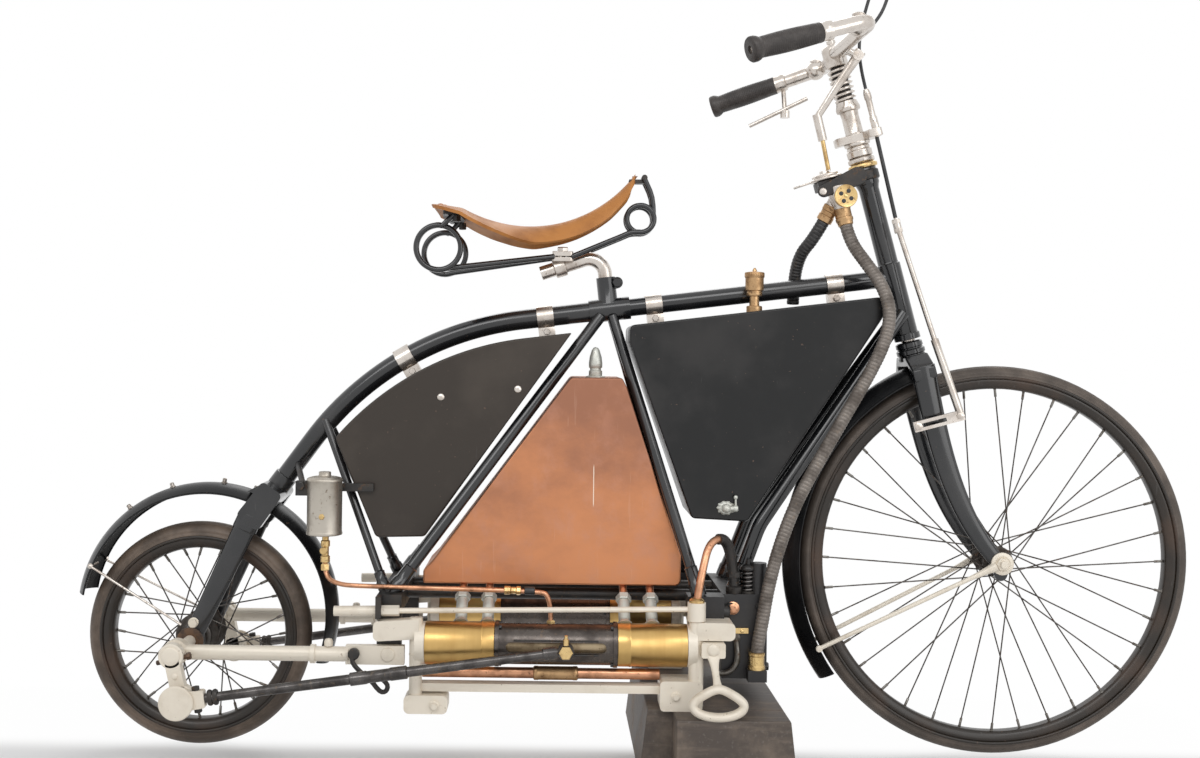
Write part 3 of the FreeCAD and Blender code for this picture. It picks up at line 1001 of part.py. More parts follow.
def fork():
    """Crown with its stacked rings, two raked blades, the axle, and the steering stem."""
    rings = rod(head(-46.0), head(0.0), CROWN_RING_R)
    shoulder_points = [head(-22, -CROWN_HALF_E), head(-22, CROWN_HALF_E), head(-CROWN_DEPTH, CROWN_HALF_E),
                       head(-CROWN_DEPTH, -CROWN_HALF_E)]
    half = BLADE_Y_TOP + BLADE_THICK_TOP / 2.0
    shoulders = prism([(p.x, p.z) for p in shoulder_points], -half, half)
    tunnel = disc(FRONT_AXLE, FRONT_GUARD_R, -FRONT_GUARD_HALF - 1.0, FRONT_GUARD_HALF + 1.0)
    crown = fused(rings, shoulders).cut(tunnel)
    stem = fused(rod(head(0.0), head(BAR_STATION - 20.0), STEERING_STEM_R),
                 rod(head(HEAD_LENGTH + 1.0), head(HEAD_LENGTH + 10.0), HEAD_LUG_R + 2.5),
                 rod(head(HEAD_LENGTH + 10.0), head(HEAD_LENGTH + 27.0), HEAD_TUBE_R + 1.5),
                 rod(head(HEAD_LENGTH + 47.0), head(HEAD_LENGTH + 85.0), HEAD_TUBE_R),
                 rod(head(HEAD_LENGTH + 85.0), head(HEAD_LENGTH + 101.0), HEAD_TUBE_R + 3.0),
                 rod(head(HEAD_LENGTH + 101.0), head(BAR_STATION - 20.0), HEAD_TUBE_R + 1.0))
    arm_points = [head(HEAD_LENGTH + 34, -34), head(HEAD_LENGTH + 34, 36), head(HEAD_LENGTH + 47, 36),
                  head(HEAD_LENGTH + 47, -34)]
    arm = prism([(p.x, p.z) for p in arm_points], -15.0, 15.0)
    tongue_points = [head(HEAD_LENGTH + 34, 12), head(HEAD_LENGTH + 34, 36), head(HEAD_LENGTH + 46, 36),
                     head(HEAD_LENGTH + 46, 12)]
    tongue = prism([(p.x, p.z) for p in tongue_points], -34.0, -15.0)
    stop = rod(head(HEAD_LENGTH + 46.0, 28.0, -26.0), head(CABLE_START_T, 28.0, -26.0), 6.0)
    stem = fused(stem, arm, tongue, stop)

    stations = ((-CROWN_DEPTH + 2.0, 0.0, 0.0), (-156.0, -3.0, 0.3), (-240.0, 2.0, 0.55), (-304.0, 15.0, 0.8),
                (-FORK_LENGTH, FORK_OFFSET - 3.0, 1.0))
    sections = []
    for t, e, k in stations:
        width = BLADE_WIDTH_TOP + (BLADE_WIDTH_AXLE - BLADE_WIDTH_TOP) * k
        thick = BLADE_THICK_TOP + (BLADE_THICK_AXLE - BLADE_THICK_TOP) * k
        y = BLADE_Y_TOP + (BLADE_Y_AXLE - BLADE_Y_TOP) * k
        sections.append(blade_section(head(t, e, -y), AHEAD_HEAD, V(0, 1, 0), width, thick))
    blade = Part.makeLoft(sections, True, True)
    end_plate = disc(FRONT_AXLE, 15.0, -BLADE_Y_AXLE - BLADE_THICK_AXLE / 2.0, -BLADE_Y_AXLE + BLADE_THICK_AXLE / 2.0)
    tail_plate = disc(FRONT_AXLE + V(-1.0, 0, -17.0), 10.0, -BLADE_Y_AXLE - BLADE_THICK_AXLE / 2.0,
                      -BLADE_Y_AXLE + BLADE_THICK_AXLE / 2.0)
    blade = blade.fuse([end_plate, tail_plate])
    nut_y = BLADE_Y_AXLE + BLADE_THICK_AXLE / 2.0
    axle = disc(FRONT_AXLE, FRONT_AXLE_R, -nut_y - 14.0, nut_y + 14.0)
    collars = [sided_rod(FRONT_AXLE + V(0, side * nut_y, 0), FRONT_AXLE + V(0, side * (nut_y + 8.0), 0), 9.0, 6)
               for side in (-1, 1)]
    cones = [disc(FRONT_AXLE, 9.0, side * (FRONT_HUB_HALF + RUNNING_GAP),
                  side * (BLADE_Y_AXLE - BLADE_THICK_AXLE / 2.0)) for side in (-1, 1)]
    axle = fused(axle, *(collars + cones))
    return {"front_fork": fused(crown, *pair(blade)).cut(axle), "steering_stem": stem, "front_axle": axle}


def bar_points():
    centre = head(BAR_STATION, -4.0)
    corner = centre + V(26.0, -172.0, 18.0)
    end = V(centre.x - 159.0, -GRIP_Y, centre.z - 41.0)
    return centre, corner, end


def handlebar():
    """Swept bar in its clamp, the two grips, and the levers and links hung from it."""
    centre, corner, end = bar_points()
    far_corner = V(corner.x, -corner.y, corner.z)
    far_end = V(end.x, -end.y, end.z)
    bar = bent_tube([end, corner, centre, far_corner, far_end], [BAR_BEND_R, 200.0, BAR_BEND_R], BAR_R)
    clamp = rod(head(BAR_STATION - 20.0), head(BAR_STATION + 16.0), 18.0)
    bar = fused(bar, clamp)
    along = (end - corner).normalize()
    start = end - along * GRIP_LENGTH
    grip = fused(rod(start, end - along * 4.0, GRIP_R), rod(end - along * 8.0, end + along * 4.0, GRIP_END_R))
    grip = grip.cut(bar)
    grips = pair(grip)

    hang = far_end - V(along.x, -along.y, along.z) * (GRIP_LENGTH + 14.0)
    pivot = hang + V(2.0, -8.0, -56.0)
    blade = rod(pivot + V(-60.0, 6.0, -20.0), pivot + V(36.0, -10.0, 26.0), 3.5)
    lever = fused(rod(hang + V(0, 0, -BAR_R + 1.0), pivot, 4.0), blade,
                  rod(pivot + V(0, 0, -6.0), pivot + V(0, 0, 6.0), 8.0))
    lever = lever.cut(bar)
    link_top = head(BAR_STATION - 16.0, 24.0, -44.0)
    link_low = head(BAR_STATION - 90.0, -56.0, -26.0)
    on_bar = centre + (corner - centre) * (link_top.y / corner.y)
    link_body = fused(rod(link_top, link_low, 4.5), rod(link_top - V(0, 6, 0), link_top + V(0, 6, 0), 8.0),
                      rod(on_bar, link_top, 6.0),
                      rod(head(BAR_STATION - 86.0, -56.0, -26.0), head(BAR_STATION - 128.0, -57.0, -26.0), 7.0),
                      rod(head(BAR_STATION - 128.0, -57.0, -26.0), head(HEAD_LENGTH, -60.0, -26.0), 3.2))
    return {"handlebar": bar, "grips": grips, "bar_levers": [lever, link_body.cut(bar)]}


def front_brake(stem):
    """Pull rod and bridle of the rim brake beside the near blade, with the shoe blocks inside the rim."""
    top = head(HEAD_LENGTH + 34.0, 26.0, -26.0)
    middle = head(181.0, 20.0, -34.0)
    low = head(-4.0, 27.0, -52.0)
    foot = head(-122.0, 33.0, -66.0)
    thin = rod(top, middle, 2.6)
    adjuster = rod(middle + UP_HEAD * 10.0, middle - UP_HEAD * 12.0, 6.0)
    thick = rod(middle, low, 4.0)
    bar = rod(low, foot, 6.0)
    plate_points = [head(-118.0, -40.0), head(-118.0, 38.0), head(-134.0, 38.0), head(-134.0, -40.0)]
    plate = prism([(p.x, p.z) for p in plate_points], -69.0, -63.0)
    slot_points = [head(-123.0, -30.0), head(-123.0, 10.0), head(-129.0, 10.0), head(-129.0, -30.0)]
    plate = plate.cut(prism([(p.x, p.z) for p in slot_points], -74.0, -58.0))
    return fused(thin, adjuster, thick, bar, plate).cut(stem)


def brake_cable():
    """Cable from its knuckle on the stem, up over its loop above the bar and back down behind the clamp."""
    loop = ((-CABLE_START_DROP, 28.0, -26.0), (-26.0, 28.0, -26.0), (20.0, 40.0, -26.0), (66.0, 66.0, -27.0),
            (106.0, 92.0, -28.0), (122.0, 100.0, -55.0), (106.0, 98.0, -82.0), (72.0, 90.0, -84.0),
            (42.0, 74.0, -82.0), (22.0, 55.0, -80.0), (8.0, 32.0, -80.0))
    points = [head(BAR_STATION + t, e, y) for t, e, y in loop]
    return cord("brake_cable", points, CABLE_R, CABLE_SIDES)


def footrests():
    """Stirrup: bolted plate, tapered stem and an oval loop."""
    outer_y = -BANK_Y - FOOT_HALF_Y
    at = V(FRONT_FACE_X + 26.0, 0, ENGINE_Z)
    plate = prism(outline(at.x - 17.0, at.x + 18.0, at.z - 12.0, at.z + 10.0), outer_y - 8.0, outer_y + 12.0)
    bolt = disc(at, 8.0, outer_y - 12.0, outer_y - 8.0)
    loop_at = V(at.x + 14.0, 0, PLINTH_HEIGHT + 20.0)
    top = V(at.x, outer_y - 4.0, at.z - 8.0)
    waist = V(at.x + 6.0, outer_y - 22.0, at.z - 34.0)
    foot = V(loop_at.x - 2.0, outer_y - 44.0, loop_at.z + 14.0)
    upper = Part.makeCone(10.0, STIRRUP_WAIST_R, (waist - top).Length, top, waist - top)
    lower = Part.makeCone(STIRRUP_WAIST_R, 6.0, (foot - waist).Length, waist, foot - waist)
    knot = Part.makeSphere(STIRRUP_WAIST_R, waist)
    ring_y = outer_y - 44.0
    ring = oval(loop_at, STIRRUP_HALF, STIRRUP_R, ring_y, 4.0)
    hole = oval(loop_at, STIRRUP_HALF - 4.0, STIRRUP_R - STIRRUP_BAR, ring_y, 20.0)
    return fused(plate, bolt, upper, knot, lower, ring.cut(hole))


def oval(centre, half, radius, y, half_y):
    """Flat plate with round ends, as long as its two end centres' distance and twice the radius."""
    shape = box(centre.x - half, centre.x + half, y - half_y, y + half_y, centre.z - radius, centre.z + radius)
    ends = [disc(centre + V(side * half, 0, 0), radius, y - half_y, y + half_y) for side in (-1, 1)]
    return shape.fuse(ends)


def plinth():
    """Two timber blocks, wider at the floor than on top."""
    x0 = ENGINE_X + PLINTH_REAR_AHEAD
    x1 = x0 + PLINTH_LENGTH
    seam = -PLINTH_HALF_Y + FRONT_BLOCK_DEPTH
    back = prism([(x0 - PLINTH_FLARE, 0), (x1 + PLINTH_FLARE, 0), (x1, PLINTH_HEIGHT), (x0, PLINTH_HEIGHT)],
                 seam, PLINTH_HALF_Y)
    x2 = x0 + FRONT_BLOCK_SETBACK
    front = prism([(x2, 0), (x1 + PLINTH_FLARE, 0), (x1, PLINTH_HEIGHT), (x2, PLINTH_HEIGHT)], -PLINTH_HALF_Y, seam)
    return {"plinth_back": back, "plinth_front": front}


def build():
    nodes = {}
    nodes.update(front_wheel())
    nodes.update(rear_wheel())
    nodes["rod_near"] = connecting_rod(-1)
    nodes["rod_far"] = connecting_rod(1)
    nodes.update(frame_tubes())
    nodes.update(rear_fork(nodes["backbone"]))
    nodes.update(engine())
    nodes.update(engine_frame(nodes["tie_rods"]))
    nodes.update(tanks())
    neighbours = [nodes[name] for name in ("rear_case", "front_tank", "backbone", "top_tube")]
    nodes["tube_clips"] = [item.cut(neighbours) for item in clips()]
    nodes["brass_fittings"] = brass_fittings(nodes["front_tank"])
    nodes["water_unions"] = unions()
    nodes["oil_can"] = oil_can()
    nodes["copper_pipes"] += [oil_pipe(), gas_pipe(nodes["front_heads"][0], nodes["gear_case"])]
    nodes.update(saddle())
    nodes["mixing_valve"] = valve_body()
    nodes.update(hoses())
    nodes.update(mudguards())
    nodes.update(fork())
    nodes.update(handlebar())
    nodes["front_brake"] = front_brake(nodes["steering_stem"])
    nodes["brake_cable"] = brake_cable()
    nodes["footrests"] = pair(footrests().cut(nodes["front_heads"][0]))
    nodes.update(plinth())
    return nodes


def export(nodes):
    os.makedirs("parts", exist_ok=True)
    for name, shape in nodes.items():
        solids = []
        for item in shape if isinstance(shape, list) else [shape]:
            solids += item.Solids
        body = solids[0] if len(solids) == 1 else Part.makeCompound(solids)
        body.exportStep("parts/" + name + ".step")


export(build())
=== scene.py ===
"""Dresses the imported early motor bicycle: round tubes, turned fittings, wire wheels, worn finishes and studio light.

Metres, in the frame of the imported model: +X forward, +Y to the rider's left, +Z up, the floor at Z = 0.
"""

import json
import logging
import math
from dataclasses import dataclass
from enum import Enum
from typing import Optional, Sequence, Union

import bmesh
import bpy
import mathutils
import numpy as np
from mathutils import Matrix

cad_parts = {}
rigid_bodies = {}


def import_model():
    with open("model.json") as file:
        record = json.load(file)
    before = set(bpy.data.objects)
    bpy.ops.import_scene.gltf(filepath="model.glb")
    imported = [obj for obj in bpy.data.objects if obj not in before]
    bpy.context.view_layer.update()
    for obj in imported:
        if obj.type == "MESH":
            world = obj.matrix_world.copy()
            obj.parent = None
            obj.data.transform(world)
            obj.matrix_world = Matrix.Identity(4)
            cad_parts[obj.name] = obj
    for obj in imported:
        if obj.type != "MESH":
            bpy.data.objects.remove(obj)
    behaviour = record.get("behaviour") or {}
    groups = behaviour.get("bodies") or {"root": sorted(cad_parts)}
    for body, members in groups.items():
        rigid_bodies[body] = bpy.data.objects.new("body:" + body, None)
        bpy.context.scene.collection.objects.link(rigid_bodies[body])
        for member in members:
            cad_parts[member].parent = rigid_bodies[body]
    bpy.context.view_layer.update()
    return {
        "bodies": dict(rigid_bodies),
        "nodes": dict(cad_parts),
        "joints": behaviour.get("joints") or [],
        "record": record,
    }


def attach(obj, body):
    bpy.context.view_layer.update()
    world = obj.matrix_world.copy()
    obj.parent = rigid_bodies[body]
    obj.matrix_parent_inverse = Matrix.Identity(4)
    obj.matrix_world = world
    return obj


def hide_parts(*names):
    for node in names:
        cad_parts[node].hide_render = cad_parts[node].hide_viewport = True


log = logging.getLogger("motor_bicycle")

Array = np.ndarray
Number = Union["Socket", float]
UP = np.array([0, 0, 1])
AHEAD = np.array([1, 0, 0])
LEFT = np.array([0, 1, 0])
BEVEL_ANGLE = math.radians(40)
CAD_SMOOTH_ANGLE = math.radians(32)


def at(x: float, y: float, z: float) -> Array:
    """A point or direction as an array."""
    return np.array([x, y, z], dtype=float)


def moved(point: Array, y: float) -> Array:
    """The point at another distance to the left."""
    return at(point[0], y, point[2])


def unit(vectors: Array) -> Array:
    """Vectors divided by their own lengths."""
    return vectors / np.linalg.norm(vectors, axis=-1, keepdims=True)


def span(start: Array, end: Array) -> float:
    """Distance between two points."""
    return float(np.linalg.norm(end - start))


def round_angles(count: int) -> Array:
    """Even angles round a whole turn."""
    return np.linspace(0, math.tau, count, endpoint=False)


def pairs(first: Array, second: Array) -> list[tuple[float, float]]:
    """Points of an outline from its two coordinates."""
    return list(zip(first.tolist(), second.tolist()))


def mm(*rows: Sequence[float]) -> list[tuple[float, ...]]:
    """Points given in millimetres."""
    return [tuple((value / 1000 for value in row)) for row in rows]


def chamfered(radius: float, length: float, cut: float = 0.001) -> list[tuple[float, float]]:
    """Lathe profile of a cylinder with chamfered ends."""
    return [(radius - cut, 0), (radius, cut), (radius, length - cut), (radius - cut, length)]


def flipped(points: Array) -> Array:
    """The same points on the other side of the machine's mid-plane."""
    return points * np.array([1, -1, 1])


class Side(Enum):
    """The machine's two sides. The near one faces the camera."""

    NEAR = -1
    FAR = 1


@dataclass(frozen=True)
class Layout:
    """Places that several sub-assemblies share, as the CAD part has them."""

    front_axle: Array
    rear_axle: Array
    race: Array
    head_up: Array
    crank_pin: Array
    seat_ahead: float = 0.636
    seat_z: float = 0.691
    knee_ahead: float = 0.295
    knee_z: float = 0.648
    crown_ahead: float = 0.093
    crown_z: float = 0.371
    top_slope: float = 0.125
    engine_ahead: float = 0.559
    engine_z: float = 0.192
    bank_y: float = 0.14
    bracket_back: float = 0.265
    bracket_z: float = 0.262
    case_ahead: float = 0.25
    case_length: float = 0.068
    head_length: float = 0.29
    bar_station: float = 0.466
    grip_y: float = 0.23

    @property
    def head_ahead(self) -> Array:
        """Direction square to the steering axis, forwards."""
        return np.cross(LEFT, self.head_up)

    def head(self, t: float, e: float = 0.0, y: float = 0.0) -> Array:
        """Point t above the crown race along the steering axis.

        Args:
            t: Distance up the steering axis.
            e: Distance ahead of the axis.
            y: Distance to the left.

        Returns:
            The point.
        """
        return self.race + self.head_up * t + self.head_ahead * e + LEFT * y

    @property
    def seat(self) -> Array:
        """Middle of the seat lug."""
        return at(self.rear_axle[0] + self.seat_ahead, 0, self.seat_z)

    @property
    def knee(self) -> Array:
        """Corner of the backbone's two straight runs."""
        return at(self.rear_axle[0] + self.knee_ahead, 0, self.knee_z)

    @property
    def rear_crown(self) -> Array:
        """Foot of the backbone over the rear wheel."""
        return at(self.rear_axle[0] + self.crown_ahead, 0, self.crown_z)

    @property
    def engine_x(self) -> float:
        """Middle of the engine's barrels."""
        return float(self.rear_axle[0] + self.engine_ahead)

    @property
    def bracket_x(self) -> float:
        """Middle of the crossmember behind the engine."""
        return self.engine_x - self.bracket_back

    @property
    def case_x(self) -> float:
        """Rear face of the gear case."""
        return self.engine_x + self.case_ahead

    @property
    def head_joint(self) -> Array:
        """Where the top tube's line meets the steering axis."""
        rise = self.seat_z + self.top_slope * (self.race[0] - self.seat[0]) - self.race[2]
        return self.head(rise / (self.head_up[2] - self.top_slope * self.head_up[0]))

    @property
    def top_along(self) -> Array:
        """Direction of the top tube, forwards."""
        return unit(self.head_joint - self.seat)


def read_layout(record: dict) -> Layout:
    """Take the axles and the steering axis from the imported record.

    Args:
        record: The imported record.

    Returns:
        The shared places.
    """
    joints = {joint["name"]: joint for joint in record["behaviour"]["joints"]}
    places = {name: np.array(joint["pos_m"], dtype=float) for name, joint in joints.items()}
    pin = places["rod_near_swing"] * np.array([1, 0, 1])
    return Layout(front_axle=places["front_wheel_spin"], rear_axle=places["rear_wheel_spin"], race=places["steering"],
        head_up=unit(np.array(joints["steering"]["axis"], dtype=float)), crank_pin=pin)


# Surfaces


def frames(path: Array, guide: Array) -> tuple[Array, Array]:
    """Two directions square to a path at each of its points.

    The first is the path's direction crossed with the guide, the second completes the right angle.

    Args:
        path: Points along the middle line.
        guide: A direction that the path never runs along.

    Returns:
        The two directions, an array each.
    """
    along = unit(np.gradient(path, axis=0))
    across = unit(np.cross(along, guide))
    return (across, np.cross(across, along))


def bent_path(corners: Sequence[Array], radii: Sequence[float], step: float = 0.09) -> Array:
    """Middle line of a rigid bent tube: straight runs with a tangent arc at each corner.

    An arc is the corner, moved back by r tan(turn / 2) along both runs, and turned by angle steps.

    Args:
        corners: Ends and corners of the runs.
        radii: Bend radius at each inner corner.
        step: Largest angle between two points of an arc.

    Returns:
        Points along the line.
    """
    points = [corners[0]]
    for i, radius in enumerate(radii, 1):
        into, out = unit(corners[i] - corners[i - 1]), unit(corners[i + 1] - corners[i])
        turn = math.acos(float(np.clip(into @ out, -1, 1)))
        start = corners[i] - into * radius * math.tan(turn / 2)
        inward = unit(out - into * float(into @ out))
        angles = np.linspace(0, turn, max(3, int(turn / step) + 2))[:, None]
        points.extend(start + radius * (np.sin(angles) * into + (1 - np.cos(angles)) * inward))
    points.append(corners[-1])
    return np.array(points)


def nurbs_path(points: Sequence[Sequence[float]], resolution: int = 10) -> Array:
    """Points read from the NURBS spline that has a cord's route as its control points.

    Args:
        points: The route.
        resolution: Steps for each control point.

    Returns:
        Points along the spline.
    """
    data = bpy.data.curves.new("route", "CURVE")
    data.dimensions = "3D"
    spline = data.splines.new("NURBS")
    spline.points.add(len(points) - 1)
    spline.points.foreach_set("co", [c for p in points for c in (*p, 1)])
    spline.order_u = 3
    spline.use_endpoint_u = True
    spline.resolution_u = resolution
    holder = bpy.data.objects.new("route", data)
    bpy.context.scene.collection.objects.link(holder)
    bpy.context.view_layer.update()
    mesh = bpy.data.meshes.new_from_object(holder.evaluated_get(bpy.context.evaluated_depsgraph_get()))
    line = np.empty(len(mesh.vertices) * 3)
    mesh.vertices.foreach_get("co", line)
    bpy.data.objects.remove(holder)
    bpy.data.curves.remove(data)
    bpy.data.meshes.remove(mesh)
    return line.reshape(-1, 3)


def helix(base: Array, axis: Array, radius: float, pitch: float, turns: float, steps: int = 26) -> Array:
    """Points of a coil: base + r (cos a, sin a) square to the axis + pitch a / 2 pi along it.

    Args:
        base: Middle of the first turn.
        axis: Direction of the coil.
        radius: Radius of the wire's middle line.
        pitch: Rise for each turn.
        turns: Number of turns.
        steps: Points for each turn.

    Returns:
        Points along the coil.
    """
    angle = np.linspace(0, math.tau * turns, int(steps * turns))[:, None]
    across = unit(np.cross(axis, LEFT))
    upright = np.cross(axis, across)
    return base + radius * (np.cos(angle) * across + np.sin(angle) * upright) + axis * pitch * angle / math.tau


def smooth_line(points: Array, steps: int = 3) -> Array:
    """Line through all the points: between two of them it is the Catmull-Rom cubic of the four nearest.

    Args:
        points: Points that it passes.
        steps: Points from each one to the next.

    Returns:
        Points along the line.
    """
    ends = np.concatenate([2 * points[:1] - points[1:2], points, 2 * points[-1:] - points[-2:-1]])
    t = np.linspace(0, 1, steps, endpoint=False)[None, :, None]
    a, b, c, d = (ends[i:len(ends) - 3 + i, None] for i in range(4))
    curve = b + 0.5 * t * (c - a + t * (2 * a - 5 * b + 4 * c - d + t * (3 * (b - c) + d - a)))
    return np.concatenate([curve.reshape(-1, 3), points[-1:]])


def run_along(path: Array) -> Array:
    """Distance along a line at each of its points."""
    return np.concatenate([[0], np.cumsum(np.linalg.norm(np.diff(path, axis=0), axis=1))])


def evenly(path: Array, spacing: float) -> Array:
    """The same line with its points an even distance apart.

    Args:
        path: Points along the line.
        spacing: Distance between two points.

    Returns:
        The line's new points.
    """
    run = run_along(path)
    wanted = np.linspace(0, run[-1], max(2, int(run[-1] / spacing) + 1))
    return np.stack([np.interp(wanted, run, path[:, k]) for k in range(3)], axis=1)


class Shell:
    """Closed surfaces that become one mesh."""

    def __init__(self) -> None:
        """Start with no surface."""
        self.points: list[Array] = []
        self.faces: list[tuple[int, ...]] = []
        self.count = 0

    def grid(self, points: Array, loop: bool = False) -> "Shell":
        """Add a surface of stations, each a closed ring of points.

        Station i is joined to i + 1 by quads, and the two end rings are closed with one face each.

        Args:
            points: Array of stations by ring points by three.
            loop: The last station joins the first.

        Returns:
            The shell itself.
        """
        rows, cols = points.shape[:2]
        i, j = np.meshgrid(np.arange(rows if loop else rows - 1), np.arange(cols), indexing="ij")
        after, beside = (i + 1) % rows, (j + 1) % cols
        quads = np.stack([i * cols + j, i * cols + beside, after * cols + beside, after * cols + j], axis=-1)
        self.faces.extend(map(tuple, (quads.reshape(-1, 4) + self.count).tolist()))
        if not loop:
            ring = np.arange(cols) + self.count
            self.faces.append(tuple(ring[::-1].tolist()))
            self.faces.append(tuple((ring + (rows - 1) * cols).tolist()))
        self.points.append(points.reshape(-1, 3))
        self.count += rows * cols
        return self

    def tube(self, path: Array, radius: Union[float, Array], sides: int = 24, guide: Array = LEFT,
             loop: bool = False, flat: float = 1.0) -> "Shell":
        """Add a round or oval bar along a path.

        A point is path + r (cos a) across + flat r (sin a) upright.

        Args:
            path: Points of the middle line.
            radius: Radius, or one for each point.
            sides: Points round the bar.
            guide: Direction that the path never runs along.
            loop: The path is closed.
            flat: Second half-axis as a share of the first.

        Returns:
            The shell itself.
        """
        across, upright = frames(path, guide)
        if loop:
            closed = np.concatenate([path[-1:], path, path[:1]])
            across, upright = (d[1:-1] for d in frames(closed, guide))
        angle = round_angles(sides)[None, :, None]
        size = np.broadcast_to(np.asarray(radius, dtype=float), (len(path),))[:, None, None]
        ring = size * (np.cos(angle) * across[:, None] + flat * np.sin(angle) * upright[:, None])
        return self.grid(path[:, None] + ring, loop)

    def bar(self, start: Array, end: Array, radius: float, sides: int = 24, bevel: float = 0.0008) -> "Shell":
        """Add a straight round bar with chamfered ends.

        Args:
            start: Middle of one end.
            end: Middle of the other end.
            radius: The bar's radius.
            sides: Number of sides.
            bevel: Width of the chamfers.

        Returns:
            The shell itself.
        """
        length = span(start, end)
        cut = min(bevel, 0.4 * radius, 0.4 * length)
        return self.turned(start, end - start, chamfered(radius, length, cut), sides)

    def turned(self, base: Array, axis: Array, profile: Sequence[tuple[float, float]], sides: int = 32) -> "Shell":
        """Add a piece turned on a lathe.

        A point is base + s axis + r (cos a, sin a) square to the axis, for each (r, s) of the profile.

        Args:
            base: Where s is nought.
            axis: Direction of the lathe's axis.
            profile: Radius and distance along the axis, from one end to the other.
            sides: Points round the piece; six make a hexagon.

        Returns:
            The shell itself.
        """
        axis = unit(axis)
        guide = UP if abs(axis[2]) < 0.9 else AHEAD
        across = unit(np.cross(axis, guide))
        upright = np.cross(axis, across)
        angle = round_angles(sides)[None, :, None]
        outline = np.array(profile, dtype=float)
        radius, along = outline[:, 0][:, None, None], outline[:, 1][:, None, None]
        ring = radius * (np.cos(angle) * across + np.sin(angle) * upright)
        return self.grid(base + ring + along * axis)

    def hexagon(self, start: Array, end: Array, across_flats: float) -> "Shell":
        """Add a hexagon nut or bolt head with chamfered corners.

        Args:
            start: Middle of one end.
            end: Middle of the other end.
            across_flats: Width of the nut.

        Returns:
            The shell itself.
        """
        radius = across_flats / math.sqrt(3)
        length = span(start, end)
        cut = min(0.12 * radius, 0.3 * length)
        return self.turned(start, end - start, chamfered(radius, length, cut), 6)

    def swept_ring(self, centre: Array, profile: Sequence[tuple[float, float]], steps: int,
                   start: float = 0.0, sweep: float = 360.0) -> "Shell":
        """Carry a closed outline of (radius, y) round an axle, either all the way or part of it.

        Args:
            centre: Middle of the wheel.
            profile: Outline points.
            steps: Stations round the sweep.
            start: First angle in degrees from straight ahead, upwards.
            sweep: Angle covered.

        Returns:
            The shell itself.
        """
        whole = sweep >= 360
        angle = np.radians(np.linspace(start, start + sweep, steps, endpoint=not whole))[:, None]
        outline = np.array(profile, dtype=float)
        radius, y = outline[:, 0][None], outline[:, 1][None]
        ring = np.stack([radius * np.cos(angle), np.broadcast_to(y, (steps, len(outline))), radius * np.sin(angle)],
            axis=-1)
        return self.grid(centre + ring, loop=whole)

    def plate(self, outline: Sequence[tuple[float, float]], y0: float, y1: float) -> "Shell":
        """Add a flat plate: an outline in X and Z carried from y0 to y1.

        Args:
            outline: Corners as (x, z).
            y0: One face.
            y1: The other face.

        Returns:
            The shell itself.
        """
        flat = np.array(outline, dtype=float)
        rings = [np.stack([flat[:, 0], np.full(len(flat), y), flat[:, 1]], axis=1) for y in (y0, y1)]
        return self.grid(np.array(rings))

    def oval(self, path: Array, first: Array, second: Array, first_half: Array, second_half: Array,
             sides: int = 28) -> "Shell":
        """Add a bar with a changing oval section.

        A point is path + a (cos t) first + b (sin t) second, with a and b the station's two half-axes.

        Args:
            path: Points of the middle line.
            first: Direction of the first half-axis.
            second: Direction of the second half-axis.
            first_half: First half-axis at each point.
            second_half: Second half-axis at each point.
            sides: Points round the bar.

        Returns:
            The shell itself.
        """
        angle = round_angles(sides)[None, :, None]
        ring = first_half[:, None, None] * np.cos(angle) * first + second_half[:, None, None] * np.sin(angle) * second
        return self.grid(path[:, None] + ring)

    def prism(self, outline: Array, along: Array) -> "Shell":
        """Add a flat outline of points in space, carried along a direction."""
        return self.grid(np.stack([outline, outline + along]))

    def block(self, low: Sequence[float], high: Sequence[float]) -> "Shell":
        """Add a box between two corners.

        Args:
            low: Corner with the least values.
            high: Corner with the greatest.

        Returns:
            The shell itself.
        """
        x0, y0, z0 = low
        x1, y1, z1 = high
        return self.plate([(x0, z0), (x1, z0), (x1, z1), (x0, z1)], y0, y1)

    def slab(self, top: Array, thickness: float) -> "Shell":
        """Add a bent sheet with a wall: a grid of points, and the same grid moved along its normals.

        The normal is the cross product of the grid's two directions.

        Args:
            top: Grid of the sheet's upper side.
            thickness: Wall.

        Returns:
            The shell itself.
        """
        normal = unit(np.cross(np.gradient(top, axis=0), np.gradient(top, axis=1)))
        under = top - normal * thickness
        return self.grid(np.concatenate([top, under[:, ::-1]], axis=1))

    def mirrored(self) -> "Shell":
        """Add the same surfaces on the other side of the mid-plane.

        Returns:
            The shell itself.
        """
        moved = [flipped(p) for p in self.points]
        shift = self.count
        self.faces.extend([tuple((i + shift for i in reversed(face))) for face in list(self.faces)])
        self.points.extend(moved)
        self.count *= 2
        return self

    def mesh(self, name: str, smooth_angle: float) -> bpy.types.Mesh:
        """Make the mesh, with its faces outwards and its edges sharp past an angle.

        Args:
            name: Name of the mesh.
            smooth_angle: Largest angle that is shaded smooth, in degrees.

        Returns:
            The mesh.
        """
        mesh = bpy.data.meshes.new(name)
        mesh.from_pydata(np.concatenate(self.points).tolist(), [], self.faces)
        tidy = bmesh.new()
        tidy.from_mesh(mesh)
        bmesh.ops.recalc_face_normals(tidy, faces=tidy.faces)
        tidy.to_mesh(mesh)
        tidy.free()
        mesh.shade_smooth()
        mesh.set_sharp_from_angle(angle=math.radians(smooth_angle))
        return mesh


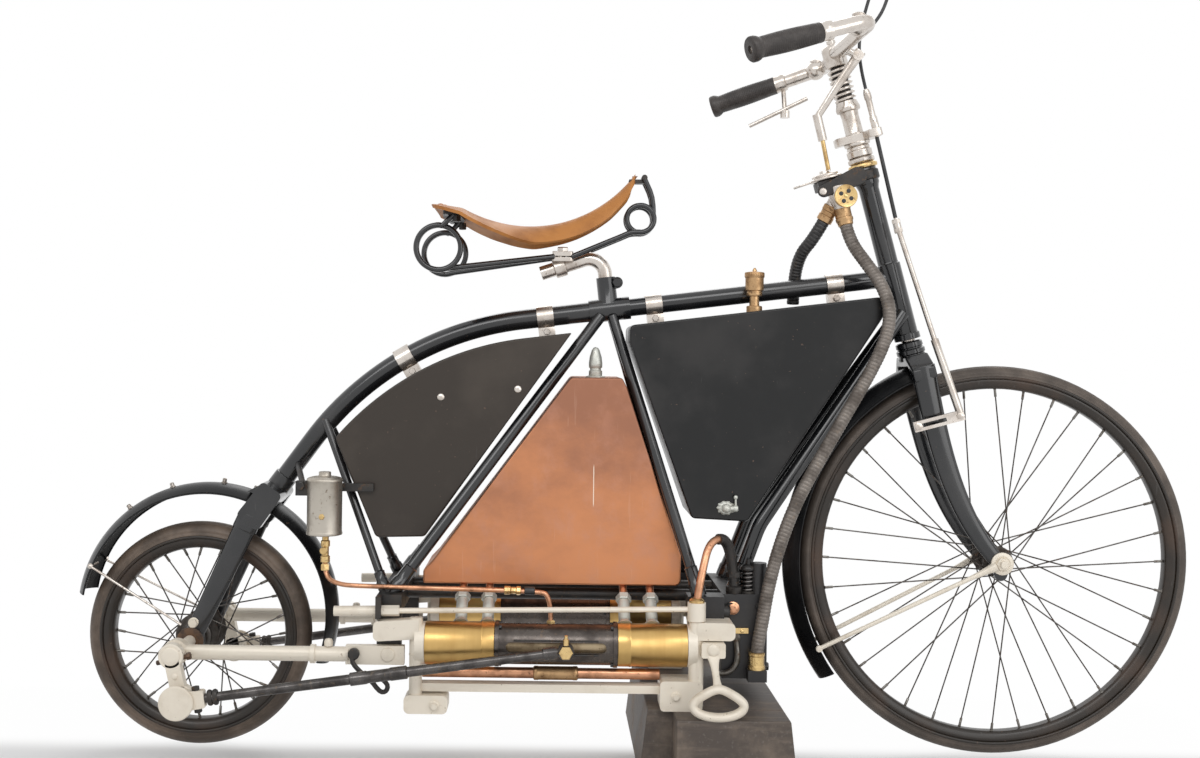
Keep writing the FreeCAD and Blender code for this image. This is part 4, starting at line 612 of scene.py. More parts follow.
def corner_loop(corners: Sequence[tuple[float, float]], radius: float, steps: int = 4) -> list[tuple[float, float]]:
    """Outline with its corners rounded.

    Each corner is left r tan(turn / 2) early and turned by equal angle steps.

    Args:
        corners: Corners in order.
        radius: Radius of each corner.
        steps: Steps for each corner.

    Returns:
        Points of the outline.
    """
    points: list[tuple[float, float]] = []
    flat = [np.array(c, dtype=float) for c in corners]
    for i, corner in enumerate(flat):
        into, out = unit(corner - flat[i - 1]), unit(flat[(i + 1) % len(flat)] - corner)
        turn = math.acos(float(np.clip(into @ out, -1, 1)))
        start = corner - into * radius * math.tan(turn / 2)
        inward = unit(out - into * float(into @ out))
        for k in range(steps + 1):
            a = turn * k / steps
            p = start + radius * (math.sin(a) * into + (1 - math.cos(a)) * inward)
            points.append((float(p[0]), float(p[1])))
    return points


# Finishes


class Socket:
    """An output of a node that takes part in sums and products."""

    def __init__(self, painter: "Nodes", out: bpy.types.NodeSocket) -> None:
        """Wrap one output."""
        self.painter = painter
        self.out = out

    def __add__(self, other: Number) -> "Socket":
        """Sum."""
        return self.painter.math("ADD", self, other)

    def __radd__(self, other: Number) -> "Socket":
        """Sum with a number on the left."""
        return self.painter.math("ADD", other, self)

    def __sub__(self, other: Number) -> "Socket":
        """Difference."""
        return self.painter.math("SUBTRACT", self, other)

    def __rsub__(self, other: Number) -> "Socket":
        """A number less this value."""
        return self.painter.math("SUBTRACT", other, self)

    def __mul__(self, other: Number) -> "Socket":
        """Product."""
        return self.painter.math("MULTIPLY", self, other)

    def __rmul__(self, other: Number) -> "Socket":
        """Product with a number on the left."""
        return self.painter.math("MULTIPLY", other, self)

    def clipped(self, low: float, high: float) -> "Socket":
        """Nought below one value, one above the other, and a smooth step between."""
        return self.painter.node("ShaderNodeMapRange", {"interpolation_type": "SMOOTHSTEP"},
            {0: self, 1: low, 2: high, 3: 0, 4: 1})


Triple = Colour = tuple[float, float, float]
WHITE = EVEN = 1, 1, 1


class Nodes:
    """A node tree that starts empty."""

    def __init__(self, tree: bpy.types.NodeTree) -> None:
        """Empty the tree."""
        self.tree = tree
        tree.nodes.clear()

    def link(self, value: Socket, socket: bpy.types.NodeSocket) -> None:
        """Feed an input from an output."""
        self.tree.links.new(value.out, socket)

    def node(self, kind: str, settings: Optional[dict] = None, inputs: Optional[dict] = None,
             output: Union[int, str] = 0) -> Socket:
        """Add a node.

        Args:
            kind: Type of the node.
            settings: Properties that are set first.
            inputs: Values or links by input index or name.
            output: Which output is wanted.

        Returns:
            That output.
        """
        made = self.tree.nodes.new(kind)
        for key, value in (settings or {}).items():
            setattr(made, key, value)
        for key, value in (inputs or {}).items():
            self.feed(made.inputs[key], value)
        return Socket(self, made.outputs[output])

    def feed(self, socket: bpy.types.NodeSocket, value: Union[Socket, Colour, float]) -> None:
        """Set an input, or feed it from an output. A colour is given without its alpha.

        Args:
            socket: The input.
            value: A number, a colour or an output.
        """
        if isinstance(value, Socket):
            self.link(value, socket)
        else:
            socket.default_value = (*value, 1) if socket.type == "RGBA" else value

    def math(self, operation: str, *values: Number) -> Socket:
        """Add a Math node on the given values."""
        return self.node("ShaderNodeMath", {"operation": operation}, dict(enumerate(values)))

    def seen(self) -> Socket:
        """One for what the camera sees, straight or by a reflection or through glass, and nought for other light.

        Returns:
            The switch.
        """
        seen = self.node("ShaderNodeLightPath", output="Is Camera Ray")
        for kind in ("Is Glossy Ray", "Is Transmission Ray"):
            seen = self.math("MAXIMUM", seen, self.node("ShaderNodeLightPath", output=kind))
        return seen


class Painter(Nodes):
    """Writes the nodes of one material."""

    def __init__(self, name: str) -> None:
        """Make an empty material with its shader and output.

        Args:
            name: Name of the material.
        """
        self.material = bpy.data.materials.new(name)
        self.material.use_nodes = True
        super().__init__(self.material.node_tree)
        self.shader = self.tree.nodes.new("ShaderNodeBsdfPrincipled")
        self.output = self.tree.nodes.new("ShaderNodeOutputMaterial")
        self.surface(Socket(self, self.shader.outputs[0]))

    def surface(self, shader: Socket) -> bpy.types.Material:
        """Take the surface from a shader, and give back the material."""
        self.link(shader, self.output.inputs[0])
        return self.material

    def blend(self, factor: Number, first: Union[Socket, Colour], second: Union[Socket, Colour]) -> Socket:
        """Colour that goes from the first to the second as the factor goes from 0 to 1."""
        return self.node("ShaderNodeMix", {"data_type": "RGBA"}, {0: factor, 6: first, 7: second}, 2)

    def place(self, stretch: Triple = EVEN) -> Socket:
        """Place on the machine in metres, stretched along the three axes."""
        where = self.node("ShaderNodeTexCoord", output="Object")
        return self.node("ShaderNodeMapping", inputs={0: where, 3: stretch})

    def height(self) -> Socket:
        """Height above the floor in metres."""
        return self.node("ShaderNodeSeparateXYZ", inputs={0: self.place()}, output=2)

    def noise(self, scale: float, detail: float = 3.0, stretch: Triple = EVEN, roughness: float = 0.55) -> Socket:
        """Cloudy noise.

        Args:
            scale: Clouds in a metre.
            detail: Number of finer layers.
            stretch: Stretch of the place along the three axes.
            roughness: Strength of the finer layers.

        Returns:
            The noise's value.
        """
        return self.node("ShaderNodeTexNoise", inputs={"Vector": self.place(stretch), "Scale": scale, "Detail": detail,
            "Roughness": roughness})

    def scratches(self, scale: float, stretch: Triple, low: float) -> Socket:
        """Thin streaks: stretched noise above a threshold."""
        return self.noise(scale, 2, stretch, 0.7).clipped(low, low + 0.05)

    def bump(self, height: Socket, depth: float, strength: float = 1.0) -> None:
        """Raise the surface by a height value.

        Args:
            height: Value from 0 to 1.
            depth: Depth in metres.
            strength: Strength of the bump.
        """
        normal = self.node("ShaderNodeBump", inputs={"Strength": strength, "Distance": depth, "Height": height})
        self.link(normal, self.shader.inputs["Normal"])

    def set(self, **values: Union[Socket, Colour, float]) -> bpy.types.Material:
        """Set the shader's inputs.

        Args:
            values: Inputs by name, with an underscore for each space.

        Returns:
            The material.
        """
        for key, value in values.items():
            self.feed(self.shader.inputs[key.replace("_", " ")], value)
        return self.material


@dataclass(frozen=True)
class Enamel:
    """Old stove enamel: deep black, dusty in patches, with fine scuffs."""

    colour: Colour = (0.012, 0.0135, 0.017)
    dust: Colour = (0.052, 0.05, 0.05)
    roughness: float = 0.24
    scuffs: float = 0.69
    gloss: float = 0.42
    coat: float = 0.15

    def paint(self, painter: Painter) -> bpy.types.Material:
        """Patches of dust and dull streaks over a glossy coat.

        Args:
            painter: Makes the nodes.

        Returns:
            The material.
        """
        patch = painter.noise(9, 5).clipped(0.42, 0.75)
        scuff = painter.scratches(120, (1, 1, 0.16), self.scuffs)
        chip = painter.noise(160, 2).clipped(0.73, 0.76)
        colour = painter.blend(patch * 0.55, self.colour, self.dust)
        colour = painter.blend(scuff * 0.22, colour, (0.11, 0.105, 0.1))
        colour = painter.blend(chip * 0.5, colour, (0.16, 0.1, 0.07))
        painter.bump(painter.noise(60, 3) + chip * -0.4, 0.0004, 0.25)
        return painter.set(Base_Color=colour, Roughness=patch * 0.26 + scuff * 0.2 + self.roughness,
            Specular_IOR_Level=self.gloss, Coat_Weight=self.coat, Coat_Roughness=0.07)


@dataclass(frozen=True)
class Metal:
    """Bare or plated metal with tarnish in clouds, dark spots and fine drawn lines."""

    bright: Colour
    tarnish: Colour
    spots: Colour
    roughness: float = 0.3
    metallic: float = 1.0
    clouds: float = 22.0
    spread: tuple[float, float] = (0.4, 0.68)
    grain: Triple = (0.1, 1.0, 1.0)
    spot_low: float = 0.6

    def paint(self, painter: Painter) -> bpy.types.Material:
        """Two metals mixed by clouds, with spots sunk a little into them.

        Args:
            painter: Makes the nodes.

        Returns:
            The material.
        """
        cloud = painter.noise(self.clouds, 6, roughness=0.62).clipped(*self.spread)
        line = painter.noise(240, 2, self.grain)
        spot = painter.noise(130, 3, roughness=0.6).clipped(self.spot_low, self.spot_low + 0.1)
        colour = painter.blend(cloud, self.bright, self.tarnish)
        colour = painter.blend(spot * 0.7, colour, self.spots)
        painter.bump(line * 0.4 + spot * -0.6, 0.0002, 0.25)
        rough = cloud * 0.22 + line * 0.12 + spot * 0.2 + (self.roughness - 0.06)
        return painter.set(Base_Color=colour, Roughness=rough, Metallic=self.metallic)


@dataclass(frozen=True)
class CopperSheet:
    """Planished copper gone brown above and bright below, with stains and pale scratches."""

    low_z: float
    high_z: float
    bright: Colour = (0.63, 0.265, 0.125)
    brown: Colour = (0.35, 0.162, 0.1)
    pink: Colour = (0.56, 0.29, 0.2)
    scratch: Triple = (-0.0668, 0.42, 0.034)

    def paint(self, painter: Painter) -> bpy.types.Material:
        """Brown grows with height and with clouds. One long scratch runs upright, and a few faint ones beside it.

        Args:
            painter: Makes the nodes.

        Returns:
            The material.
        """
        rise = painter.node("ShaderNodeMapRange", inputs={0: painter.height(), 1: self.low_z, 2: self.high_z})
        cloud = painter.noise(7, 6, (1, 1, 1.5), 0.6)
        stain = painter.noise(26, 5, (1, 1, 0.8), 0.65).clipped(0.46, 0.7)
        streak = painter.scratches(150, (1, 1, 0.06), 0.66)
        brown = (rise * 0.85 + cloud * 1.5 - 0.72).clipped(0.1, 0.95)
        colour = painter.blend(brown, self.bright, self.brown)
        colour = painter.blend(stain * 0.4, colour, self.pink)
        colour = painter.blend(streak * 0.1, colour, (0.8, 0.56, 0.42))
        x, z, half = self.scratch
        across = painter.node("ShaderNodeSeparateXYZ", inputs={0: painter.place()}, output=0) - x
        along = painter.math("ABSOLUTE", painter.height() - z)
        mark = (1 - painter.math("ABSOLUTE", across).clipped(0.0004, 0.0009)) * (1 - along.clipped(half - 0.008, half))
        colour = painter.blend(mark * 0.85, colour, (0.9, 0.78, 0.66))
        dent = painter.noise(14, 2)
        painter.bump(dent + stain * -0.12, 0.0022, 0.3)
        return painter.set(Base_Color=colour, Roughness=brown * 0.2 + stain * 0.12 + 0.36, Metallic=0.8)


@dataclass(frozen=True)
class BrassBand:
    """Brass jacket with brown tarnish that runs round it in broad bands."""

    bright: Colour = (0.63, 0.415, 0.158)
    brown: Colour = (0.42, 0.235, 0.072)

    def paint(self, painter: Painter) -> bpy.types.Material:
        """Bands along the length, clouds over them, and fine turning marks.

        Args:
            painter: Makes the nodes.

        Returns:
            The material.
        """
        band = painter.noise(26, 4, (1, 0.12, 0.12), 0.6).clipped(0.4, 0.72)
        cloud = painter.noise(30, 5).clipped(0.45, 0.75)
        mark = painter.noise(900, 1, (1, 0.04, 0.04))
        colour = painter.blend(band * 0.42, self.bright, self.brown)
        colour = painter.blend(cloud * 0.55, colour, (0.52, 0.34, 0.12))
        painter.bump(mark, 0.0002, 0.15)
        return painter.set(Base_Color=colour, Roughness=band * 0.1 + cloud * 0.12 + 0.3, Metallic=1)


@dataclass(frozen=True)
class Rubber:
    """Old rubber, dry and dusty, a little paler where it is worn."""

    colour: Colour
    worn: Colour
    roughness: float = 0.72
    clouds: float = 12.0

    def paint(self, painter: Painter) -> bpy.types.Material:
        """Wear in clouds and a fine crazed grain.

        Args:
            painter: Makes the nodes.

        Returns:
            The material.
        """
        wear = painter.noise(self.clouds, 6, roughness=0.65).clipped(0.38, 0.74)
        craze = painter.noise(420, 3)
        colour = painter.blend(wear, self.colour, self.worn)
        painter.bump(craze, 0.0004, 0.4)
        return painter.set(Base_Color=colour, Roughness=self.roughness - wear * 0.14 + craze * 0.1)


@dataclass(frozen=True)
class Hide:
    """Thick saddle hide: tan, darker where it is handled, with pores and a few creases."""

    colour: Colour = (0.5, 0.205, 0.052)
    dark: Colour = (0.27, 0.095, 0.024)

    def paint(self, painter: Painter) -> bpy.types.Material:
        """Clouds of darker tan under pores and long creases.

        Args:
            painter: Makes the nodes.

        Returns:
            The material.
        """
        cloud = painter.noise(16, 6, roughness=0.6).clipped(0.4, 0.72)
        pores = painter.node("ShaderNodeTexVoronoi", inputs={"Vector": painter.place(), "Scale": 620})
        crease = painter.noise(46, 4, (0.35, 1, 1), 0.7)
        colour = painter.blend(cloud * 0.8, self.colour, self.dark)
        colour = painter.blend(crease.clipped(0.58, 0.7) * 0.3, colour, (0.64, 0.33, 0.12))
        painter.bump(pores * 0.5 + crease * 0.6, 0.0006, 0.45)
        return painter.set(Base_Color=colour, Roughness=cloud * 0.14 + 0.48, Specular_IOR_Level=0.35)


@dataclass(frozen=True)
class Timber:
    """Dark painted timber, worn to brown along the grain."""

    colour: Colour = (0.076, 0.06, 0.05)
    worn: Colour = (0.25, 0.195, 0.15)

    def paint(self, painter: Painter) -> bpy.types.Material:
        """Long grain lines and worn clouds.

        Args:
            painter: Makes the nodes.

        Returns:
            The material.
        """
        grain = painter.noise(70, 4, (0.12, 1, 1), 0.6)
        wear = painter.noise(14, 6, roughness=0.65).clipped(0.44, 0.72)
        dust = painter.noise(180, 3).clipped(0.55, 0.75)
        colour = painter.blend(wear * 0.6 + grain.clipped(0.5, 0.75) * 0.35, self.colour, self.worn)
        colour = painter.blend(dust * 0.3, colour, (0.22, 0.2, 0.18))
        painter.bump(grain + wear * -0.3, 0.0012, 0.5)
        return painter.set(Base_Color=colour, Roughness=wear * 0.15 + 0.58)


Finish = Union[Enamel, Metal, CopperSheet, BrassBand, Rubber, Hide, Timber]

# Each finish with the name of its slot.
FINISHES: dict[str, tuple[str, Finish]] = {
    "tyre": ("tyre_rubber", Rubber((0.06, 0.047, 0.038), (0.135, 0.105, 0.084), 0.58)),
    "rear_tyre": ("tyre_rubber", Rubber((0.066, 0.048, 0.036), (0.185, 0.135, 0.1), 0.56)),
    "enamel": ("black_enamel", Enamel((0.0075, 0.0082, 0.0098), (0.034, 0.032, 0.032), 0.19, 0.72, 0.46, 0.55)),
    "case_enamel": ("black_enamel", Enamel((0.04, 0.0315, 0.025), (0.078, 0.064, 0.052), 0.36, 0.72, 0.32, 0.06)),
    "tank_enamel": ("black_enamel", Enamel((0.0058, 0.006, 0.0064), (0.036, 0.033, 0.032), 0.28, 0.72, 0.34, 0.12)),
    "rim_enamel": ("black_enamel", Enamel((0.02, 0.015, 0.011), (0.105, 0.06, 0.038), 0.3, 0.66, 0.4, 0.1)),
    "guard_enamel": ("black_enamel", Enamel((0.0065, 0.0068, 0.0075), (0.024, 0.022, 0.022), 0.26, 0.72, 0.26, 0.05)),
    "spoke": ("steel_dark", Metal((0.1, 0.092, 0.085), (0.045, 0.036, 0.03), (0.14, 0.07, 0.04), 0.38, 0.9, 60)),
    "steel_dull": ("steel_dark", Metal((0.2, 0.19, 0.175), (0.1, 0.085, 0.07), (0.12, 0.07, 0.045), 0.36, 0.9, 50)),
    "rod_steel": ("steel_bright", Metal((0.12, 0.112, 0.108), (0.05, 0.045, 0.043), (0.16, 0.13, 0.1), 0.2, 0.85, 26)),
    "trunk": ("brass", Metal((0.42, 0.33, 0.21), (0.25, 0.18, 0.11), (0.14, 0.09, 0.05), 0.34, 0.85, 30)),
    "barrel": ("steel_bright", Metal((0.12, 0.104, 0.094), (0.052, 0.044, 0.04), (0.16, 0.12, 0.09), 0.24, 0.9, 24)),
    "bronze": ("brass", Metal((0.52, 0.33, 0.17), (0.3, 0.175, 0.085), (0.14, 0.08, 0.045), 0.32, 0.92, 40)),
    "nickel": ("nickel", Metal((0.66, 0.61, 0.56), (0.44, 0.38, 0.33), (0.22, 0.16, 0.12), 0.22, 0.94, 26,
        (0.42, 0.74), (0.1, 1, 1), 0.62)),
    "union": ("grey_tin", Metal((0.6, 0.61, 0.56), (0.46, 0.44, 0.38), (0.22, 0.16, 0.11), 0.38, 0.45, 40,
        (0.44, 0.76), (1, 1, 1), 0.64)),
    "iron": ("black_iron", Metal((0.03, 0.029, 0.029), (0.06, 0.052, 0.046), (0.11, 0.07, 0.045), 0.36, 0.5, 20)),
    "case_iron": ("black_iron", Metal((0.026, 0.025, 0.026), (0.05, 0.046, 0.043), (0.1, 0.065, 0.04), 0.4, 0.3, 14,
        (0.44, 0.74), (1, 1, 1), 0.66)),
    "grease": ("black_rubber", Metal((0.12, 0.066, 0.036), (0.055, 0.036, 0.026), (0.03, 0.02, 0.015), 0.42, 0.4, 70)),
    "brass": ("brass", Metal((0.72, 0.52, 0.24), (0.46, 0.3, 0.13), (0.2, 0.12, 0.06), 0.26, 0.95, 40)),
    "jacket": ("brass", BrassBand()),
    "casting": ("grey_cast", Metal((0.78, 0.71, 0.6), (0.62, 0.54, 0.43), (0.28, 0.2, 0.13), 0.46, 0.15, 24,
        (0.46, 0.8), (1, 1, 1), 0.66)),
    "cream": ("cream_paint", Metal((0.8, 0.73, 0.62), (0.64, 0.56, 0.45), (0.26, 0.18, 0.12), 0.4, 0.12, 18,
        (0.48, 0.82), (0.1, 1, 1), 0.66)),
    "copper": ("copper", CopperSheet(0.27, 0.585)),
    "copper_pipe": ("copper", Metal((0.66, 0.34, 0.2), (0.38, 0.19, 0.11), (0.2, 0.1, 0.06), 0.3, 0.95, 30)),
    "tin": ("grey_tin", Metal((0.5, 0.46, 0.4), (0.34, 0.3, 0.25), (0.17, 0.12, 0.08), 0.34, 0.85, 26, (0.44, 0.76),
        (1, 1, 0.12), 0.62)),
    "hide": ("tan_leather", Hide()),
    "armour": ("hose_armour", Metal((0.2, 0.175, 0.155), (0.105, 0.088, 0.076), (0.24, 0.19, 0.15), 0.42, 0.45, 40)),
    "dark_armour": ("hose_armour", Metal((0.06, 0.058, 0.058), (0.032, 0.031, 0.031), (0.12, 0.1, 0.08), 0.32, 0.6,
        40)),
    "grip": ("black_rubber", Rubber((0.027, 0.022, 0.02), (0.06, 0.05, 0.045), 0.48, 40)),
    "cable": ("black_rubber", Rubber((0.016, 0.016, 0.017), (0.035, 0.035, 0.036), 0.42, 40)),
    "timber": ("plinth_wood", Timber()),
}


class Workshop:
    """Makes the pieces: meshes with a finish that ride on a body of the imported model."""

    def __init__(self, frame: dict) -> None:
        """Keep the frame and start with no material made."""
        self.frame = frame
        self.materials: dict[str, bpy.types.Material] = {}

    def finish(self, name: str) -> bpy.types.Material:
        """The material of a finish, made the first time that it is asked for.

        Args:
            name: The finish's name.

        Returns:
            The material.
        """
        if name not in self.materials:
            self.materials[name] = FINISHES[name][1].paint(Painter(name))
        return self.materials[name]

    def piece(self, name: str, shell: Shell, finish: str, body: str = "root", replaces: Sequence[str] = (),
              smooth_angle: float = 38.0, bevel: float = 0.0) -> bpy.types.Object:
        """Make an object from a shell.

        Args:
            name: Name of the piece.
            shell: Its surfaces.
            finish: Name of its finish.
            body: Body that it rides on.
            replaces: CAD nodes that it stands for.
            smooth_angle: Largest angle that is shaded smooth, in degrees.
            bevel: Width of the bevel on its sharp edges.

        Returns:
            The object.
        """
        return self.placed(name, shell.mesh(name, smooth_angle), finish, body, replaces, bevel)

    def placed(self, name: str, mesh: bpy.types.Mesh, finish: str, body: str, replaces: Sequence[str],
               bevel: float) -> bpy.types.Object:
        """Give a mesh its object, its material and its bevel, put it on its body, and hide the CAD nodes that it
        replaces.

        Args:
            name: Name of the piece.
            mesh: Its mesh.
            finish: Name of its finish.
            body: Body that it rides on.
            replaces: CAD nodes that it stands for.
            bevel: Width of the bevel on its sharp edges, or nought for none.

        Returns:
            The object.
        """
        thing = bpy.data.objects.new(name, mesh)
        bpy.context.scene.collection.objects.link(thing)
        mesh.materials.clear()
        mesh.materials.append(self.finish(finish))
        if bevel:
            edge = thing.modifiers.new("edges", "BEVEL")
            edge.width = bevel
            edge.segments = 2
            edge.limit_method = "ANGLE"
            edge.angle_limit = BEVEL_ANGLE
            edge.harden_normals = True
        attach(thing, body)
        if replaces:
            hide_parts(*replaces)
        log.info("%s: %d faces on %s", name, len(mesh.polygons), body)
        return thing

    def softened(self, node: str, finish: str, width: float, body: str = "root") -> bpy.types.Object:
        """Copy a CAD node, merge its loose triangles and round its edges.

        Args:
            node: Name of the CAD node.
            finish: Name of its finish.
            width: Width of the bevel.
            body: Body that it rides on.

        Returns:
            The new piece, which stands for the node.
        """
        mesh = self.frame["nodes"][node].data.copy()
        tidy = bmesh.new()
        tidy.from_mesh(mesh)
        bmesh.ops.remove_doubles(tidy, verts=tidy.verts, dist=1e-06)
        bmesh.ops.dissolve_limit(tidy, angle_limit=math.radians(0.6), verts=tidy.verts, edges=tidy.edges)
        tidy.to_mesh(mesh)
        tidy.free()
        mesh.shade_smooth()
        mesh.set_sharp_from_angle(angle=CAD_SMOOTH_ANGLE)
        return self.placed(node + "_finished", mesh, finish, body, [node], width)


# Wheels and running gear


def link_outline(p: Array, p_radius: float, q: Array, q_radius: float, steps: int = 14) -> list[tuple[float, float]]:
    """Outline in X and Z of a flat link: two round ends and their two outer tangents.

    With a the angle of the line from p to q, and b the arc cosine of the difference of the radii over the
    distance, the end at p runs from a + b to a + 2 pi - b and the end at q from a - b to a + b.

    Args:
        p: Middle of the first end.
        p_radius: Its radius.
        q: Middle of the second end.
        q_radius: Its radius.
        steps: Points for each end.

    Returns:
        Points of the outline.
    """
    run = np.array([q[0] - p[0], q[2] - p[2]])
    a = math.atan2(run[1], run[0])
    b = math.acos((p_radius - q_radius) / float(np.linalg.norm(run)))
    first = np.linspace(a + b, a + math.tau - b, steps)
    second = np.linspace(a - b, a + b, steps)
    ends = [(p, p_radius, first), (q, q_radius, second)]
    return [(c[0] + r * math.cos(t), c[2] + r * math.sin(t)) for c, r, turn in ends for t in turn]


@dataclass
class WireWheel:
    """A wire wheel: tyre, beaded rim, flanged hub, tangent spokes and their nipples."""

    name: str
    body: str
    centre: Array
    wheel_r: float
    section_r: float
    seat_r: float
    inner_r: float
    spokes: int
    flange_r: float
    flange_y: float
    hub_half: float
    hub_r: float
    tyre_finish: str
    spoke_r: float = 0.0011
    nipple_r: float = 0.0021
    nipple_length: float = 0.013
    lean: float = 72.0
    bead_r: float = 0.0026

    @property
    def middle_r(self) -> float:
        """Radius of the middle of the tyre's section."""
        return self.wheel_r - self.section_r

    @property
    def half(self) -> float:
        """Half the tyre's width where it sits on the rim."""
        return math.sqrt(self.section_r ** 2 - (self.seat_r - self.middle_r) ** 2)

    def tyre_outline(self) -> list[tuple[float, float]]:
        """Tyre's section.

        The radius from the section's middle is the section's own, less a narrow dip beside each bead and two
        faint dips beside the tread, each a bell curve of the angle.

        Returns:
            Its (radius, y) points.
        """
        end = math.acos((self.seat_r - self.middle_r) / self.section_r)
        angle = np.linspace(-end, end, 45)
        dip = 0.06 * np.exp(-((np.abs(angle) - 0.8 * end) / 0.1) ** 2)
        dip += 0.022 * np.exp(-((np.abs(angle) - 0.42) / 0.07) ** 2)
        radius = self.section_r * (1 - dip)
        return pairs(self.middle_r + radius * np.cos(angle), radius * np.sin(angle))

    def rim_outline(self) -> list[tuple[float, float]]:
        """Rim's section: a flat seat, a rolled bead at each edge, and walls that curve in to the spoke bed.

        Returns:
            Its (radius, y) points.
        """
        turn = np.radians(np.linspace(130, -110, 9))
        bead = [(self.seat_r + self.bead_r * math.sin(t), self.half - 0.0008 + self.bead_r * math.cos(t))
            for t in turn]
        t = np.linspace(0, 1, 8)
        wall_r = self.seat_r - 0.0035 + (self.inner_r - self.seat_r + 0.0035) * np.sin(t * math.pi / 2)
        wall_y = self.half * (0.94 - 0.6 * t ** 1.8)
        side = [(self.seat_r - 0.0004, self.half - 0.005)] + bead + pairs(wall_r, wall_y)
        return side + [(r, -y) for r, y in reversed(side)]

    def spoke_ends(self) -> tuple[Array, Array]:
        """Both ends of every spoke.

        Spoke k meets the rim at k turns over the count, and its hub end is turned by plus or minus the lean,
        with its side changing at each spoke and its lean at each second one.

        Returns:
            Hub ends and rim ends.
        """
        k = np.arange(self.spokes)
        side = np.where(k % 2 == 1, -1, 1)
        lean = np.where(k // 2 % 2 == 1, self.lean, -self.lean)
        out = np.where(lean > 0, 0.002, -0.002)
        rim_turn = math.tau * k / self.spokes
        hub_turn = rim_turn + np.radians(lean)
        hub_r = self.flange_r - 0.0025
        hub = np.stack([hub_r * np.cos(hub_turn), side * (self.flange_y + 0.6 * out), hub_r * np.sin(hub_turn)],
            axis=1)
        rim = np.stack([self.inner_r * np.cos(rim_turn), side * (0.004 + out), self.inner_r * np.sin(rim_turn)],
            axis=1)
        return (self.centre + hub, self.centre + rim)

    def hub_outline(self) -> list[tuple[float, float]]:
        """Hub from one end to the other: dust cup, flange, waisted barrel, flange, dust cup.

        Returns:
            Its (radius, y) points.
        """
        flange = self.hub_half - self.flange_y
        end = [(0.45 * self.hub_r, 0), (self.hub_r * 1.02, 0.0004), (self.hub_r * 1.12, 0.0016),
            (self.hub_r * 1.12, flange - 0.0022), (self.flange_r - 0.0006, flange - 0.0015), (self.flange_r, flange),
            (self.flange_r - 0.0006, flange + 0.0015), (self.hub_r * 1.08, flange + 0.003)]
        whole = 2 * self.hub_half
        waist = [(self.hub_r * (0.8 + 0.2 * abs(u) ** 2.5), self.hub_half + u * (self.flange_y - 0.006))
            for u in np.linspace(-1, 1, 9).tolist()]
        return end + waist + [(r, whole - s) for r, s in reversed(end)]

    def build(self, shop: Workshop) -> None:
        """Make the tyre, the rim, and the hub with its spokes.

        Args:
            shop: Makes the objects.
        """
        tyre = Shell().swept_ring(self.centre, self.tyre_outline(), 128)
        shop.piece(self.name + "_tyre_round", tyre, self.tyre_finish, self.body, [self.name + "_tyre"], 60)
        rim = Shell().swept_ring(self.centre, self.rim_outline(), 128)
        shop.piece(self.name + "_rim_rolled", rim, "rim_enamel", self.body, [self.name + "_rim"], 50)
        hub_ends, rim_ends = self.spoke_ends()
        wire, nipples = Shell(), Shell()
        for hub, rim_end in zip(hub_ends, rim_ends):
            along = unit(rim_end - hub)
            wire.bar(hub, rim_end, self.spoke_r, 8, 0.0003)
            nipples.turned(rim_end - along * self.nipple_length, along,
                [(self.spoke_r * 1.1, 0), (self.nipple_r, 0.0012), (self.nipple_r, self.nipple_length - 0.001),
                (self.nipple_r * 1.5, self.nipple_length)], 8)
        wire.turned(self.centre - LEFT * self.hub_half, LEFT, self.hub_outline(), 40)
        shop.piece(self.name + "_spoke_set", wire, "spoke", self.body, [self.name + "_spokes"])
        shop.piece(self.name + "_nipples", nipples, "steel_dull", self.body)


